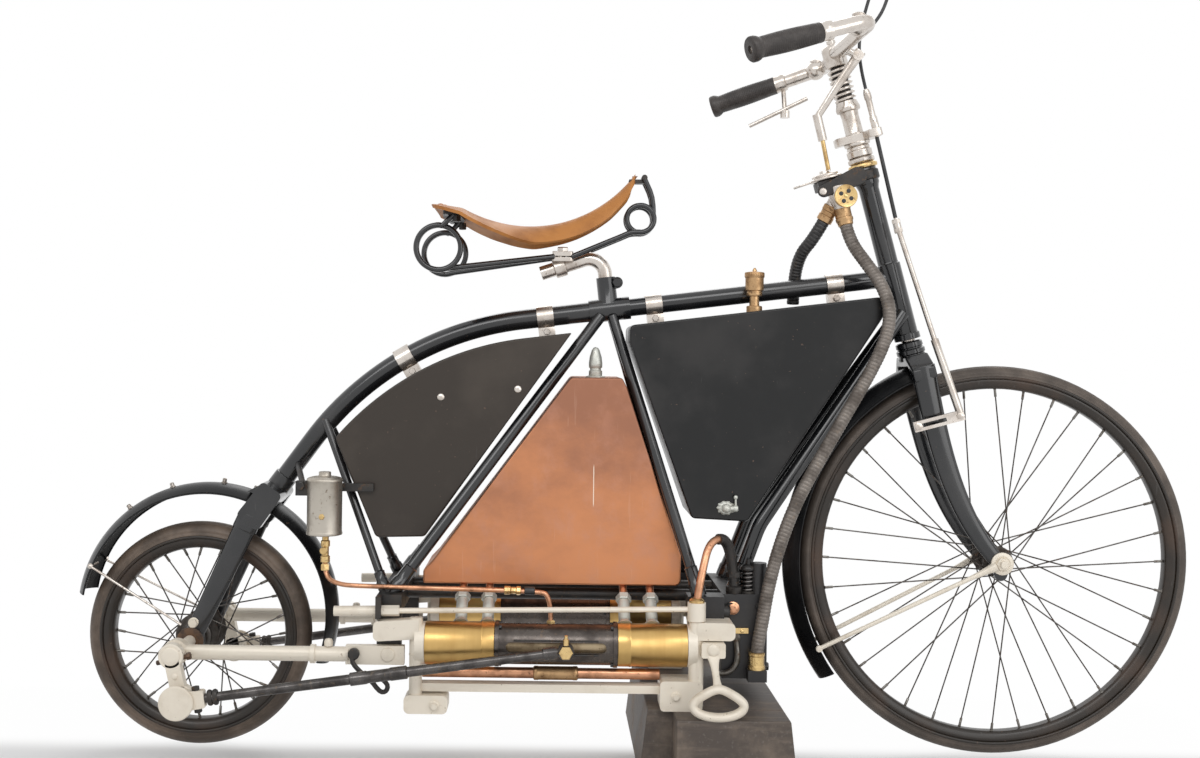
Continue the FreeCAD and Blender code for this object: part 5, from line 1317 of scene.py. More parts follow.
@dataclass
class Cranks:
    """Rear axle with an overhung crank at each end."""

    layout: Layout
    shaft_r: float = 0.009
    inner_y: float = 0.165
    thick: float = 0.016
    web_r: float = 0.0108
    boss_r: float = 0.0182
    eye_r: float = 0.021
    pin_r: float = 0.008
    rod_outer_y: float = 0.2003
    cap_r: float = 0.0252
    cap_thick: float = 0.006

    def build(self, shop: Workshop) -> None:
        """Make the shaft and the two cranks, with a cotter, a plug and a domed cap on each.

        Args:
            shop: Makes the objects.
        """
        axle, pin = self.layout.rear_axle, self.layout.crank_pin
        outer = self.inner_y + self.thick
        web = Shell()
        web.plate(link_outline(axle, self.web_r, pin, self.web_r), -outer, -self.inner_y)
        for centre, radius in ((axle, self.boss_r), (pin, self.eye_r)):
            web.turned(moved(centre, -self.inner_y), -LEFT, chamfered(radius, self.thick), 40)
        dome = [(self.cap_r - 0.0012, 0), (self.cap_r, 0.001), (self.cap_r, 0.0035), (self.cap_r - 0.0014, 0.0052),
            (0.55 * self.cap_r, self.cap_thick - 0.0002), (0.001, self.cap_thick)]
        web.turned(moved(pin, -outer), -LEFT, [(self.pin_r, 0), (self.pin_r, self.rod_outer_y - outer)], 32)
        web.turned(moved(pin, -self.rod_outer_y), -LEFT, dome, 48)
        web.turned(moved(axle, -outer), -LEFT, mm((13.5, 0), (13.5, 1), (12, 1.8), (4, 2.1), (1, 1.9)), 28)
        along = unit(pin - axle)
        web.turned(axle + along * 0.03 - LEFT * (outer - 0.001), -LEFT, mm((4.6, 0), (4.6, 1.8), (3, 2.8), (0.8, 3)),
            20)
        web.mirrored()
        web.turned(axle - LEFT * self.inner_y, LEFT, [(self.shaft_r, 0), (self.shaft_r, 2 * self.inner_y)], 32)
        shop.piece("crankshaft_turned", web, "cream", "rear_wheel", ["crankshaft"], 36, 0.0012)
        across = unit(np.cross(along, LEFT))
        middle = axle + along * 0.006 - LEFT * (outer - 0.008)
        cotter = Shell().bar(middle - across * 0.024, middle + across * 0.022, 0.0036, 16)
        cotter.hexagon(middle + across * 0.021, middle + across * 0.027, 0.01).mirrored()
        shop.piece("crank_cotters", cotter, "grease", "rear_wheel")


@dataclass
class ConnectingRod:
    """Long rod from a crank to a crosshead, with a strapped big end and a bolted small end."""

    layout: Layout
    side: Side
    inner_y: float = 0.184
    thick: float = 0.016
    shank_r: float = 0.0075
    big_r: float = 0.017
    small_r: float = 0.0118
    bolt_r: float = 0.006
    nut_flats: float = 0.0178
    nut_thick: float = 0.007
    bolt_from_y: float = 0.1703
    crosshead_ahead: float = 0.014

    def build(self, shop: Workshop) -> None:
        """Make the shank, the strap and its cotters, the union in mid-run, and the brass bolt.

        Args:
            shop: Makes the objects.
        """
        name = "rod_near" if self.side is Side.NEAR else "rod_far"
        sign = self.side.value
        y = sign * (self.inner_y + self.thick / 2)
        crank = self.layout.crank_pin + LEFT * y
        front = at(self.layout.engine_x + self.crosshead_ahead, y, self.layout.engine_z)
        along = unit(front - crank)
        length = span(crank, front)
        s = np.linspace(0.03, length - 0.01, 60)
        radius = self.shank_r * (1 - 0.16 * (2 * s / length - 1) ** 2)
        steel = Shell().tube(crank + s[:, None] * along, radius, 24)
        steel.turned(moved(front, sign * self.inner_y), LEFT * sign, chamfered(self.small_r, self.thick), 32)
        steel.turned(front - along * 0.034, along, mm((7.4, 0), (9.2, 2), (9.2, 18), (8, 22)), 24)
        shop.piece(name + "_shank", steel, "rod_steel", name, [name])
        strap = Shell()
        strap.turned(moved(crank, sign * self.inner_y), LEFT * sign, chamfered(self.big_r, self.thick), 40)
        up = unit(np.cross(LEFT, along))
        corners = [crank + along * a + up * b for a, b in ((0.004, -0.0145), (0.04, -0.0125), (0.04, 0.0125),
            (0.004, 0.0145))]
        strap.plate(corner_loop([(c[0], c[2]) for c in corners], 0.003), y - self.thick / 2, y + self.thick / 2)
        shop.piece(name + "_strap", strap, "casting", name, bevel=0.0012)
        clamp = Shell()
        for reach in (0.044, 0.052):
            start = crank + along * reach
            clamp.oval(np.linspace(start, start + along * 0.0065, 4), up, LEFT,
                np.array([0.0104, 0.0118, 0.0118, 0.0104]), np.array([0.0076, 0.0082, 0.0082, 0.0076]), 24)
        for lift in (-1, 1):
            foot = crank + along * 0.028 + up * lift * 0.0125
            clamp.hexagon(foot, foot + up * lift * 0.0065, 0.01)
        shop.piece(name + "_locknuts", clamp, "iron", name)
        union = Shell().turned(crank + along * 0.25, along, mm((7.8, 0), (9.6, 1.2), (9.6, 24), (8.8, 26), (8.8, 58),
            (9.6, 60), (9.6, 82.8), (7.8, 84)), 32)
        shop.piece(name + "_union", union, "rod_steel", name)
        bolt = Shell().bar(moved(front, sign * self.bolt_from_y), moved(front, sign * (self.inner_y + 0.001)),
            self.bolt_r, 24)
        outer = sign * (self.inner_y + self.thick)
        bolt.hexagon(moved(front, outer), moved(front, outer + sign * self.nut_thick), self.nut_flats)
        bolt.turned(moved(front, outer) + UP * 0.0125, UP, mm((4.2, -2), (4.2, 6), (2.6, 7.5), (2.6, 11.5),
            (0.8, 12.5)), 16)
        shop.piece(name + "_bolt", bolt, "brass", name)


@dataclass
class Guards:
    """Crowned mudguards with rolled edges, their studs and their wire stays."""

    layout: Layout
    rear_r: float = 0.205
    rear_half: float = 0.036
    rear_ahead: float = 0.012
    rear_above: float = 0.032
    rear_arc: tuple[float, float] = (-22.0, 171.0)
    front_r: float = 0.332
    front_half: float = 0.03
    front_arc: tuple[float, float] = (114.0, 215.0)
    sheet: float = 0.0016
    rear_crown: float = 0.014
    front_crown: float = 0.021
    wire_r: float = 0.0012
    stud_angles: tuple[float, ...] = (128.0, 107.0, 84.0, 70.0)
    rear_stay_angle: float = 157.0
    rear_stay_r: float = 0.0019
    front_stay_angle: float = 206.5
    front_stay_r: float = 0.0035

    def outline(self, radius: float, half: float, crown: float) -> list[tuple[float, float]]:
        """Section of a guard: radius less crown times the square of the width, with a wire rolled in each edge.

        Args:
            radius: Outer radius in the middle.
            half: Half the width.
            crown: Fall at the edges.

        Returns:
            Its (radius, y) points.
        """
        y = np.linspace(-half + 0.001, half - 0.001, 15)
        outer = radius - crown * (y / half) ** 2
        upper = pairs(outer, y)
        lower = pairs(outer - self.sheet, y)
        turn = np.radians(np.linspace(120, -150, 7))
        edge_r, edge_y = radius - crown - 0.0009, half - 0.0012
        bead = [(edge_r + self.wire_r * math.sin(t), edge_y + self.wire_r * math.cos(t)) for t in turn]
        return upper + bead + list(reversed(lower)) + [(r, -v) for r, v in reversed(bead)]

    def on_rear(self, degrees: float, y: float, lift: float = 0.0) -> Array:
        """Point on the rear guard's skin.

        Args:
            degrees: Angle round the guard.
            y: Distance to the left.
            lift: Height over the skin.

        Returns:
            The point.
        """
        centre = self.layout.rear_axle + at(self.rear_ahead, 0, self.rear_above)
        radius = self.rear_r - self.rear_crown * (y / self.rear_half) ** 2 + lift
        a = math.radians(degrees)
        return centre + at(radius * math.cos(a), y, radius * math.sin(a))

    def build(self, shop: Workshop) -> None:
        """Make both guards, the studs and the stays.

        Args:
            shop: Makes the objects.
        """
        axle, front = self.layout.rear_axle, self.layout.front_axle
        centre = axle + at(self.rear_ahead, 0, self.rear_above)
        first, last = self.rear_arc
        rear = Shell().swept_ring(centre, self.outline(self.rear_r, self.rear_half, self.rear_crown), 90, first,
            last - first)
        shop.piece("rear_guard_rolled", rear, "guard_enamel", "root", ["rear_guard"], 50)
        first, last = self.front_arc
        ahead = Shell().swept_ring(front, self.outline(self.front_r, self.front_half, self.front_crown), 72, first,
            last - first)
        shop.piece("front_guard_rolled", ahead, "guard_enamel", "steering", ["front_guard"], 50)
        studs = Shell()
        for degrees in self.stud_angles:
            foot = self.on_rear(degrees, 0, -0.0004)
            out = unit(foot - centre)
            studs.turned(foot, out, mm((5, 0), (5, 1.2), (3.4, 1.8), (3.4, 6.6), (2.2, 7.6), (0.6, 7.8)), 16)
        stay_foot = axle + at(-0.014, -0.05 - 0.0185, 0.024)
        stay_top = self.on_rear(self.rear_stay_angle, -self.rear_half, 0.0012)
        studs.tube(np.array([stay_top + at(0.008, 0.012, 0.004), stay_top, stay_top + (stay_foot - stay_top) * 0.5,
            stay_foot]), self.rear_stay_r, 12, guide=UP)
        studs.turned(stay_top + at(0, 0.001, 0), -LEFT, mm((4, 0), (4.4, 1.5), (2.6, 3.6), (0.8, 4.2)), 14)
        studs.mirrored()
        shop.piece("rear_guard_fittings", studs, "nickel")
        turn, reach = math.radians(self.front_stay_angle), self.front_r - self.front_crown - 0.001
        low = front + at(reach * math.cos(turn), -self.front_half, reach * math.sin(turn))
        high = front + at(-0.009, -0.0492, -0.004)
        stays = Shell().tube(np.linspace(low, high, 4), self.front_stay_r, 16, guide=UP)
        along = unit(high - low)
        stays.turned(high - along * 0.046, along, mm((3.4, 0), (4.2, 14), (5.8, 32), (8.2, 46)), 24)
        stays.turned(front - LEFT * 0.0472, -LEFT, mm((16.6, 0), (17.4, 0.8), (17.4, 3.8), (16.4, 4.6), (12, 4.8),
            (11.2, 4.2), (1, 4.2)), 44)
        stays.turned(low + LEFT * 0.001, -LEFT, mm((5.2, 0), (5.6, 1), (5, 4), (1, 4.8)), 18)
        stays.mirrored()
        shop.piece("front_guard_stays", stays, "cream", "steering")


# Frame


@dataclass
class FrameTubes:
    """Bent tubes of the frame, and the sockets, bolts and lugs that join them."""

    layout: Layout
    backbone_r: float = 0.0155
    backbone_bend: float = 0.48
    down_r: float = 0.011
    down_bend: float = 0.09
    down_knee: Triple = (0.06, -0.06, 0.099)
    down_foot: Triple = (0.016, -0.066, -0.02)
    lug_lines: Triple = (0.013, 0.125, 0.256)

    def socket(self, shell: Shell, foot: Array, top: Array, radius: float, length: float = 0.046) -> None:
        """Add a stepped sleeve round the foot of a tube.

        Args:
            shell: Where the sleeve goes.
            foot: Lower end of the tube.
            top: Any higher point of the tube.
            radius: Radius of the tube.
            length: Length of the sleeve.
        """
        profile = [(radius + 0.0032, 0), (radius + 0.0036, 0.004), (radius + 0.0036, 0.42 * length),
            (radius + 0.002, 0.5 * length), (radius + 0.0016, length - 0.003), (radius + 0.0022, length - 0.002),
            (radius + 0.0002, length)]
        shell.turned(foot, top - foot, profile, 28)

    def build(self, shop: Workshop) -> None:
        """Make the tubes and their fittings, and finish the CAD lugs.

        Args:
            shop: Makes the objects.
        """
        place = self.layout
        lower = unit(place.rear_crown - place.knee)
        spine = bent_path([place.seat, place.knee, place.rear_crown - lower * 0.026], [self.backbone_bend], 0.03)
        shop.piece("backbone_bent", Shell().tube(spine, self.backbone_r, 36), "enamel", "root", ["backbone"])
        case = at(place.case_x, 0, place.bracket_z)
        knee, foot = case + at(*self.down_knee), case + at(*self.down_foot)
        down = bent_path([place.head(0.046, 0, -0.012), knee, knee + (foot - knee) * 0.84], [self.down_bend])
        shop.piece("down_tubes_bent", Shell().tube(down, self.down_r, 32).mirrored(), "enamel", "root", ["down_tubes"])
        sockets = Shell()
        self.socket(sockets, down[-1], knee, self.down_r, 0.044)
        bracket = at(place.bracket_x, 0, place.bracket_z)
        for x, y, top, radius in ((place.bracket_x + 0.02, -0.112, at(-0.012, -0.013, -0.01), 0.009),
                (place.engine_x + 0.214, -0.116, at(0.006, -0.012, -0.01), 0.008)):
            self.socket(sockets, at(x, y, bracket[2] - 0.001), place.seat + top, radius)
        middle = place.knee + (place.rear_crown - place.knee) * 0.5 + at(0, -0.012, 0.0025)
        self.socket(sockets, at(place.bracket_x + 0.006, -0.092, bracket[2] - 0.001), middle, 0.0065, 0.03)
        shop.piece("tube_sockets", sockets.mirrored(), "enamel")
        shop.softened("head_tube", "enamel", 0.0014)
        shop.softened("seat_lug", "enamel", 0.0014)
        sleeve = Shell().turned(place.head(0.01), place.head_up,
            mm((17.6, 0), (18.3, 1.2), (18.3, 115), (16.4, 116.4), (15.8, 119), (15.8, 238), (17.2, 243), (18.8, 247),
            (19, 274), (18, 275.2)), 48)
        shop.piece("head_sleeve", sleeve, "enamel", smooth_angle=50)
        self.rear_fork(shop)
        for node in ("top_tube", "seat_stays"):
            shop.softened(node, "enamel", 0.0004)
        rings = Shell()
        for t in self.lug_lines:
            rings.turned(place.head(t - 0.0011), place.head_up, mm((17.2, 0), (18.4, 0.6), (18.4, 1.6), (17.2, 2.2)),
                48)
        shop.piece("head_lug_lines", rings, "enamel")
        dust = Shell().turned(place.head(0.2815), place.head_up,
            mm((16.8, 0), (21.8, 1), (22.8, 2.8), (22.8, 5.8), (21.4, 7.6), (18, 8.8)), 56)
        shop.piece("head_dust_ring", dust, "brass")
        self.fasteners(shop)

    def rear_fork(self, shop: Workshop) -> None:
        """Make the crown over the mudguard and the two oval blades with their bearings.

        The crown's cheeks are whole, and between them only the part outside the guard's arc is left.

        Args:
            shop: Makes the objects.
        """
        place = self.layout
        along = unit(place.rear_crown - place.knee)
        normal = at(-along[2], 0, along[0])
        top, low = place.rear_crown - along * 0.046, place.rear_crown + along * 0.022
        corners = [top + normal * 0.019, top - normal * 0.019, low - normal * 0.021, low + normal * 0.021]
        loop = np.array(corner_loop([(c[0], c[2]) for c in corners], 0.008))
        shell = Shell().plate(loop, -0.0545, -0.0375)
        centre = place.rear_axle[[0, 2]] + np.array([Guards.rear_ahead, Guards.rear_above])
        reach = np.linalg.norm(loop - centre, axis=1, keepdims=True)
        shell.mirrored()
        shell.plate(centre + (loop - centre) * np.maximum(1, (Guards.rear_r + 0.0006) / reach), -0.038, 0.038)
        shell.turned(place.rear_crown - along * 0.066, along, mm((15.8, 0), (17.8, 1), (18.2, 4), (18.2, 46)), 40)
        shop.piece("rear_crown", shell, "enamel", bevel=0.0045)
        start, end = low - LEFT * 0.046, place.rear_axle - LEFT * 0.06
        run = unit(end - start)
        length = span(start, end)
        s = np.concatenate([[-0.014, 0.01, 0.0115, 0.013], np.linspace(0.03, length, 16)])
        share = np.clip(s / length, 0, 1)
        wide = 0.0178 - 0.0038 * share ** 1.2
        wide[:2], wide[2] = 0.0192, 0.0186
        deep = np.where(s < 0.0112, 0.01, 0.0086)
        blades = Shell().oval(start + s[:, None] * run, unit(np.cross(LEFT, run)), LEFT, wide, deep, 32)
        blades.turned(place.rear_axle - LEFT * 0.052, -LEFT, mm((18.8, 0), (20, 1.2), (20, 14.8), (18.8, 16)), 48)
        shop.piece("rear_blades", blades.mirrored(), "enamel", "root", ["rear_fork"], 40, 0.0008)

    def fasteners(self, shop: Workshop) -> None:
        """Make the seat lug's pinch bolt, the fork ends' bolts and grease rings, and the clips' bolts.

        Args:
            shop: Makes the objects.
        """
        place = self.layout
        pale, grease = Shell(), Shell()
        pinch = place.seat + at(0.013, 0, 0.043)
        dark = Shell()
        dark.hexagon(pinch - LEFT * 0.0088, pinch - LEFT * 0.015, 0.0135)
        dark.bar(pinch + LEFT * 0.0088, pinch + LEFT * 0.0135, 0.005, 20)
        shop.piece("pinch_bolt", dark, "enamel")
        blade = unit(place.rear_crown + at(0, 0, -0.02) - place.rear_axle)
        face = place.rear_axle + blade * 0.03 - AHEAD * 0.01 - LEFT * 0.0645
        pale.turned(face, -LEFT, mm((8.5, 0), (8.5, 1.6), (6.8, 2.4)), 24)
        pale.hexagon(face - LEFT * 0.0022, face - LEFT * 0.0082, 0.012)
        flange = place.rear_axle - LEFT * 0.068
        grease.turned(flange, -LEFT, mm((19.8, 0), (20.6, 0.8), (20.6, 3), (18, 4), (9.6, 4.2)), 40)
        pale.mirrored()
        grease.mirrored()
        shop.piece("frame_bolts", pale, "casting")
        shop.piece("rear_grease_rings", grease, "grease")
        clip_bolts = Shell()
        for spot, along, reach in self.clip_places():
            drop = np.cross(along, LEFT)
            drop = drop if drop[2] < 0 else -drop
            for y in (-0.0096, 0.0096):
                sign = math.copysign(1, y)
                head = spot + drop * reach + LEFT * (y - sign * 0.001)
                clip_bolts.hexagon(head, head + LEFT * sign * 0.0048, 0.0095)
        shop.piece("clip_bolts", clip_bolts, "nickel")
        shop.softened("tube_clips", "nickel", 0.0007)

    def clip_places(self) -> list[tuple[Array, Array, float]]:
        """Middle, direction and bolt reach of each strap round the backbone and the top tube.

        Returns:
            A row for each strap.
        """
        place = self.layout
        upper, lower = unit(place.knee - place.seat), unit(place.rear_crown - place.knee)
        turn = math.acos(float(upper @ lower))
        tangent = self.backbone_bend * math.tan(turn / 2)
        inward = unit(lower - upper)
        centre = place.knee + inward * self.backbone_bend / math.cos(turn / 2)
        top = place.top_along
        return [(place.knee - upper * (tangent + 0.0363), upper, 0.0235),
            (centre - inward * self.backbone_bend, unit(lower + upper), 0.0235),
            (place.seat + top * 0.072, top, 0.0215), (place.head_joint - top * 0.092, top, 0.0215)]


@dataclass
class FrontFork:
    """Ringed crown, two raked oval blades and their ends."""

    layout: Layout
    length: float = 0.366
    width: tuple[float, float] = (0.038, 0.026)
    thick: tuple[float, float] = (0.018, 0.0095)
    y: tuple[float, float] = (0.045, 0.043)
    rake: float = 0.0395
    count: int = 44

    def stations(self) -> tuple[Array, Array, Array]:
        """Distance down the blade, its place ahead of the axis, and its share from crown to axle.

        The line ahead of the axis is a cubic through four stations, so the blade bends in one sweep.

        Returns:
            The three arrays.
        """
        t = np.linspace(-0.04, -self.length, self.count)
        knots = np.array([-0.058, -0.156, -0.24, -0.304, -self.length])
        ahead = np.array([0, -0.003, 0.002, 0.015, self.rake])
        share = np.interp(-t, -knots, [0, 0.3, 0.55, 0.8, 1])
        return (t, np.polyval(np.polyfit(knots, ahead, 4), t), share)

    def build(self, shop: Workshop) -> None:
        """Make the crown and both blades.

        Args:
            shop: Makes the objects.
        """
        place = self.layout
        t, ahead, share = self.stations()
        line = np.array([place.head(a, e, -(self.y[0] + (self.y[1] - self.y[0]) * k))
            for a, e, k in zip(t, ahead, share)])
        half_w = 0.5 * (self.width[0] + (self.width[1] - self.width[0]) * share)
        half_t = 0.5 * (self.thick[0] + (self.thick[1] - self.thick[0]) * share)
        blades = Shell().oval(line, place.head_ahead, LEFT, half_w, half_t)
        end_y = self.y[1]
        axle = place.front_axle
        tip = link_outline(axle, 0.015, axle + at(-0.001, 0, -0.017), 0.01)
        blades.plate(tip, -end_y - 0.0046, -end_y + 0.0046)
        blades.mirrored()
        shop.piece("front_blades", blades, "enamel", "steering", ["front_fork"], 40, 0.0012)
        arch = corner_loop(mm((-53.5, -62), (-53.5, -44), (-28, -22), (28, -22), (53.5, -44), (53.5, -62), (32.5, -62),
            (32.5, -37.5), (-32.5, -37.5), (-32.5, -62)), 0.004)
        corners = np.array([place.head(b, -0.0185, a) for a, b in arch])
        crown = Shell().prism(corners, place.head_ahead * 0.037)
        shop.piece("fork_crown", crown, "enamel", "steering", bevel=0.003)
        rings = Shell().turned(place.head(-0.03), place.head_up,
            mm((18, 0), (22.2, 1.4), (22.6, 6), (20.6, 7.8), (20.4, 9.2), (22.2, 10.8), (22.4, 16.8), (20, 18.6),
            (19.8, 20), (21.2, 21.4), (20.8, 28), (17.6, 29.8)), 56)
        shop.piece("crown_rings", rings, "enamel", "steering")
        shop.softened("front_axle", "cream", 0.0006, "steering")


@dataclass
class SteeringStem:
    """Nickel nuts, sleeve and spring over the head, with the brake's arm."""

    layout: Layout
    coil_r: float = 0.015
    coil_pitch: float = 0.0078
    coil_turns: float = 6.4
    wire_r: float = 0.0024
    core_r: float = 0.0118

    def build(self, shop: Workshop) -> None:
        """Make the stem, its nuts, the arm, the spring and its dark core.

        Args:
            shop: Makes the objects.
        """
        place = self.layout
        top = place.head_length
        up = place.head_up
        stem = Shell().turned(place.head(0), up, [(0.0105, 0), (0.0109, 0.002), (0.0109, top + 0.154)], 32)
        for low, sides, profile in ((0.001, 8, mm((19.6, 0), (21.4, 1.6), (21.4, 6.8), (18.6, 9.2))),
                (0.01, 40, mm((16, 0), (19.8, 1.2), (19.8, 11), (18, 12.5), (18, 16.5), (16.2, 18))),
                (0.027, 40, mm((15, 0), (19.6, 2), (20.4, 4), (20.4, 6.8))),
                (0.046, 40, mm((15, 0), (15.2, 2), (14, 4), (13.6, 30), (14.6, 39.2))),
                (0.084, 40, mm((14.6, 0), (18.4, 1.2), (19, 4), (19, 7), (17.6, 11), (16, 17.2)))):
            stem.turned(place.head(top + low), up, profile, sides)
        flat = corner_loop(mm((-34, -15), (8, -15), (15, -34), (36, -34), (36, 13), (-34, 13)), 0.006)
        low = top + 0.034
        stem.prism(np.array([place.head(low, e, y) for e, y in flat]), up * 0.0125)
        stop = place.head(low + 0.012, 0.028, -0.026)
        stem.turned(stop, up, mm((5.8, 0), (6, 4), (6, 18), (4.8, 20), (4.8, 46), (5.8, 47.5), (5.8, 56), (4, 63)), 24)
        shop.piece("stem_turned", stem, "nickel", "steering", ["steering_stem"], 36, 0.0007)
        spring = helix(place.head(top + 0.103), up, self.coil_r, self.coil_pitch, self.coil_turns)
        shop.piece("stem_spring", Shell().tube(spring, self.wire_r, 12, guide=up), "nickel", "steering")
        core = Shell().bar(place.head(top + 0.1), place.head(top + 0.156), self.core_r, 28)
        shop.piece("stem_core", core, "iron", "steering")


@dataclass
class Controls:
    """Handlebar, grips, clamp, levers and the rim brake's rods."""

    layout: Layout
    bar_r: float = 0.011
    bend: float = 0.034
    grip_length: float = 0.112
    ferrule: float = 0.019
    ridge: float = 0.003
    corner: Triple = (0.026, -0.172, 0.018)
    end_back: float = 0.159
    end_drop: float = 0.041
    ball_r: float = 0.0158
    rod_r: float = 0.0031
    link_r: float = 0.0034

    def build(self, shop: Workshop) -> None:
        """Make the bar, the clamp and the grips, and finish the levers.

        Args:
            shop: Makes the objects.
        """
        place = self.layout
        centre = place.head(place.bar_station, -0.004)
        corner = centre + at(*self.corner)
        end = at(centre[0] - self.end_back, -place.grip_y, centre[2] - self.end_drop)
        line = bent_path([end, corner, centre, flipped(corner), flipped(end)], [self.bend, 0.2, self.bend])
        shop.piece("handlebar_bent", Shell().tube(line, self.bar_r, 32, guide=UP), "nickel", "steering", ["handlebar"])
        clamp = Shell().turned(place.head(place.bar_station - 0.02), place.head_up,
            mm((15, 0), (18, 1.8), (18, 30), (16.8, 33.5), (11, 37.5), (7, 38), (7, 44), (5, 45.5)), 40)
        pinch = place.head(place.bar_station, 0.015, -0.012)
        clamp.hexagon(pinch, pinch - LEFT * 0.008, 0.012)
        clamp.bar(pinch, pinch + LEFT * 0.03, 0.0036, 20)
        shop.piece("bar_clamp", clamp, "nickel", "steering")
        along = unit(end - corner)
        start = end - along * self.grip_length
        run = self.grip_length
        s = np.arange(0.01, run - 0.014, self.ridge / 4)
        body = 0.0146 + 0.0014 * np.sin(math.pi * s / run) ** 1.5 + 0.0003 * np.sin(math.tau * s / self.ridge)
        swell = [(0.014, 0), (0.0148, 0.0012), (0.0148, 0.009)] + pairs(body, s)
        swell += [(0.0152, run - 0.0125), (0.0176, run - 0.0085), (0.0187, run - 0.005), (0.0187, run + 0.0006),
            (0.0172, run + 0.0028), (0.006, run + 0.003), (0.0054, run - 0.002), (0.0008, run - 0.0024)]
        shop.piece("grips_turned", Shell().turned(start, along, swell, 40).mirrored(), "grip", "steering", ["grips"],
            60)
        rings = Shell().turned(start - along * self.ferrule, along,
            [(0.0118, 0), (0.0142, 0.0014), (0.0148, 0.006), (0.0142, 0.01), (0.0138, 0.015), (0.0146, self.ferrule)],
            36)
        ball = np.radians(np.linspace(-86, 86, 15))
        bend = corner + (end - corner) * 0.1 + (centre - corner) * 0.075
        rings.turned(bend, UP, pairs(self.ball_r * np.cos(ball), self.ball_r * np.sin(ball)), 32)
        rings.turned(bend + UP * 0.012, UP, mm((9.2, 0), (9.6, 4), (7.4, 5.8), (2, 6.4)), 28)
        shop.piece("grip_ferrules", rings.mirrored(), "nickel", "steering", smooth_angle=50)
        shop.softened("bar_levers", "nickel", 0.0005, "steering")
        shop.softened("front_brake", "nickel", 0.0006, "steering")
        knobs = Shell()
        rod_at = place.head(0.181, 0.02, -0.034)
        knobs.turned(rod_at - place.head_up * 0.012, place.head_up,
            mm((4.5, 0), (6.8, 1.6), (6.8, 7.2), (5.2, 8), (5.2, 14.5), (6.8, 15.5), (6.8, 20.5), (4.4, 22)), 8)
        for e in (-0.034, 0.032):
            shoe = place.head(-0.126, e, -0.066)
            knobs.turned(shoe - LEFT * 0.0028, -LEFT, mm((6.2, 0), (6.2, 2), (3, 3.2)), 6)
        shop.piece("brake_nuts", knobs, "nickel", "steering")
        flat = smooth_line(np.array([place.head(place.bar_station - low, e, y)
            for low, e, y in mm((10, 30, -45), (16, 24, -44), (52, -16, -36), (90, -56, -27.5))]), 6)
        wide = np.interp(np.linspace(0, 1, len(flat)), [0, 0.18, 0.5, 1], [0.0088, 0.0092, 0.0066, 0.0052])
        drag = unit(flat[-1] - flat[0])
        plate = Shell().oval(flat, unit(np.cross(LEFT, drag)), LEFT, wide, np.full(len(flat), 0.0048), 20)
        shop.piece("throttle_link", plate, "nickel", "steering", smooth_angle=50)
        thin = Shell().bar(place.head(place.head_length + 0.033, 0.026, -0.026), place.head(0.1925, 0.0205, -0.0335),
            self.rod_r, 14)
        shop.piece("brake_rod_upper", thin, "cable", "steering")
        link = Shell().bar(place.head(place.bar_station - 0.124, -0.057, -0.026),
            place.head(place.head_length + 0.001, -0.06, -0.026), self.link_r, 16)
        shop.piece("throttle_rod", link, "brass", "steering")


# Engine


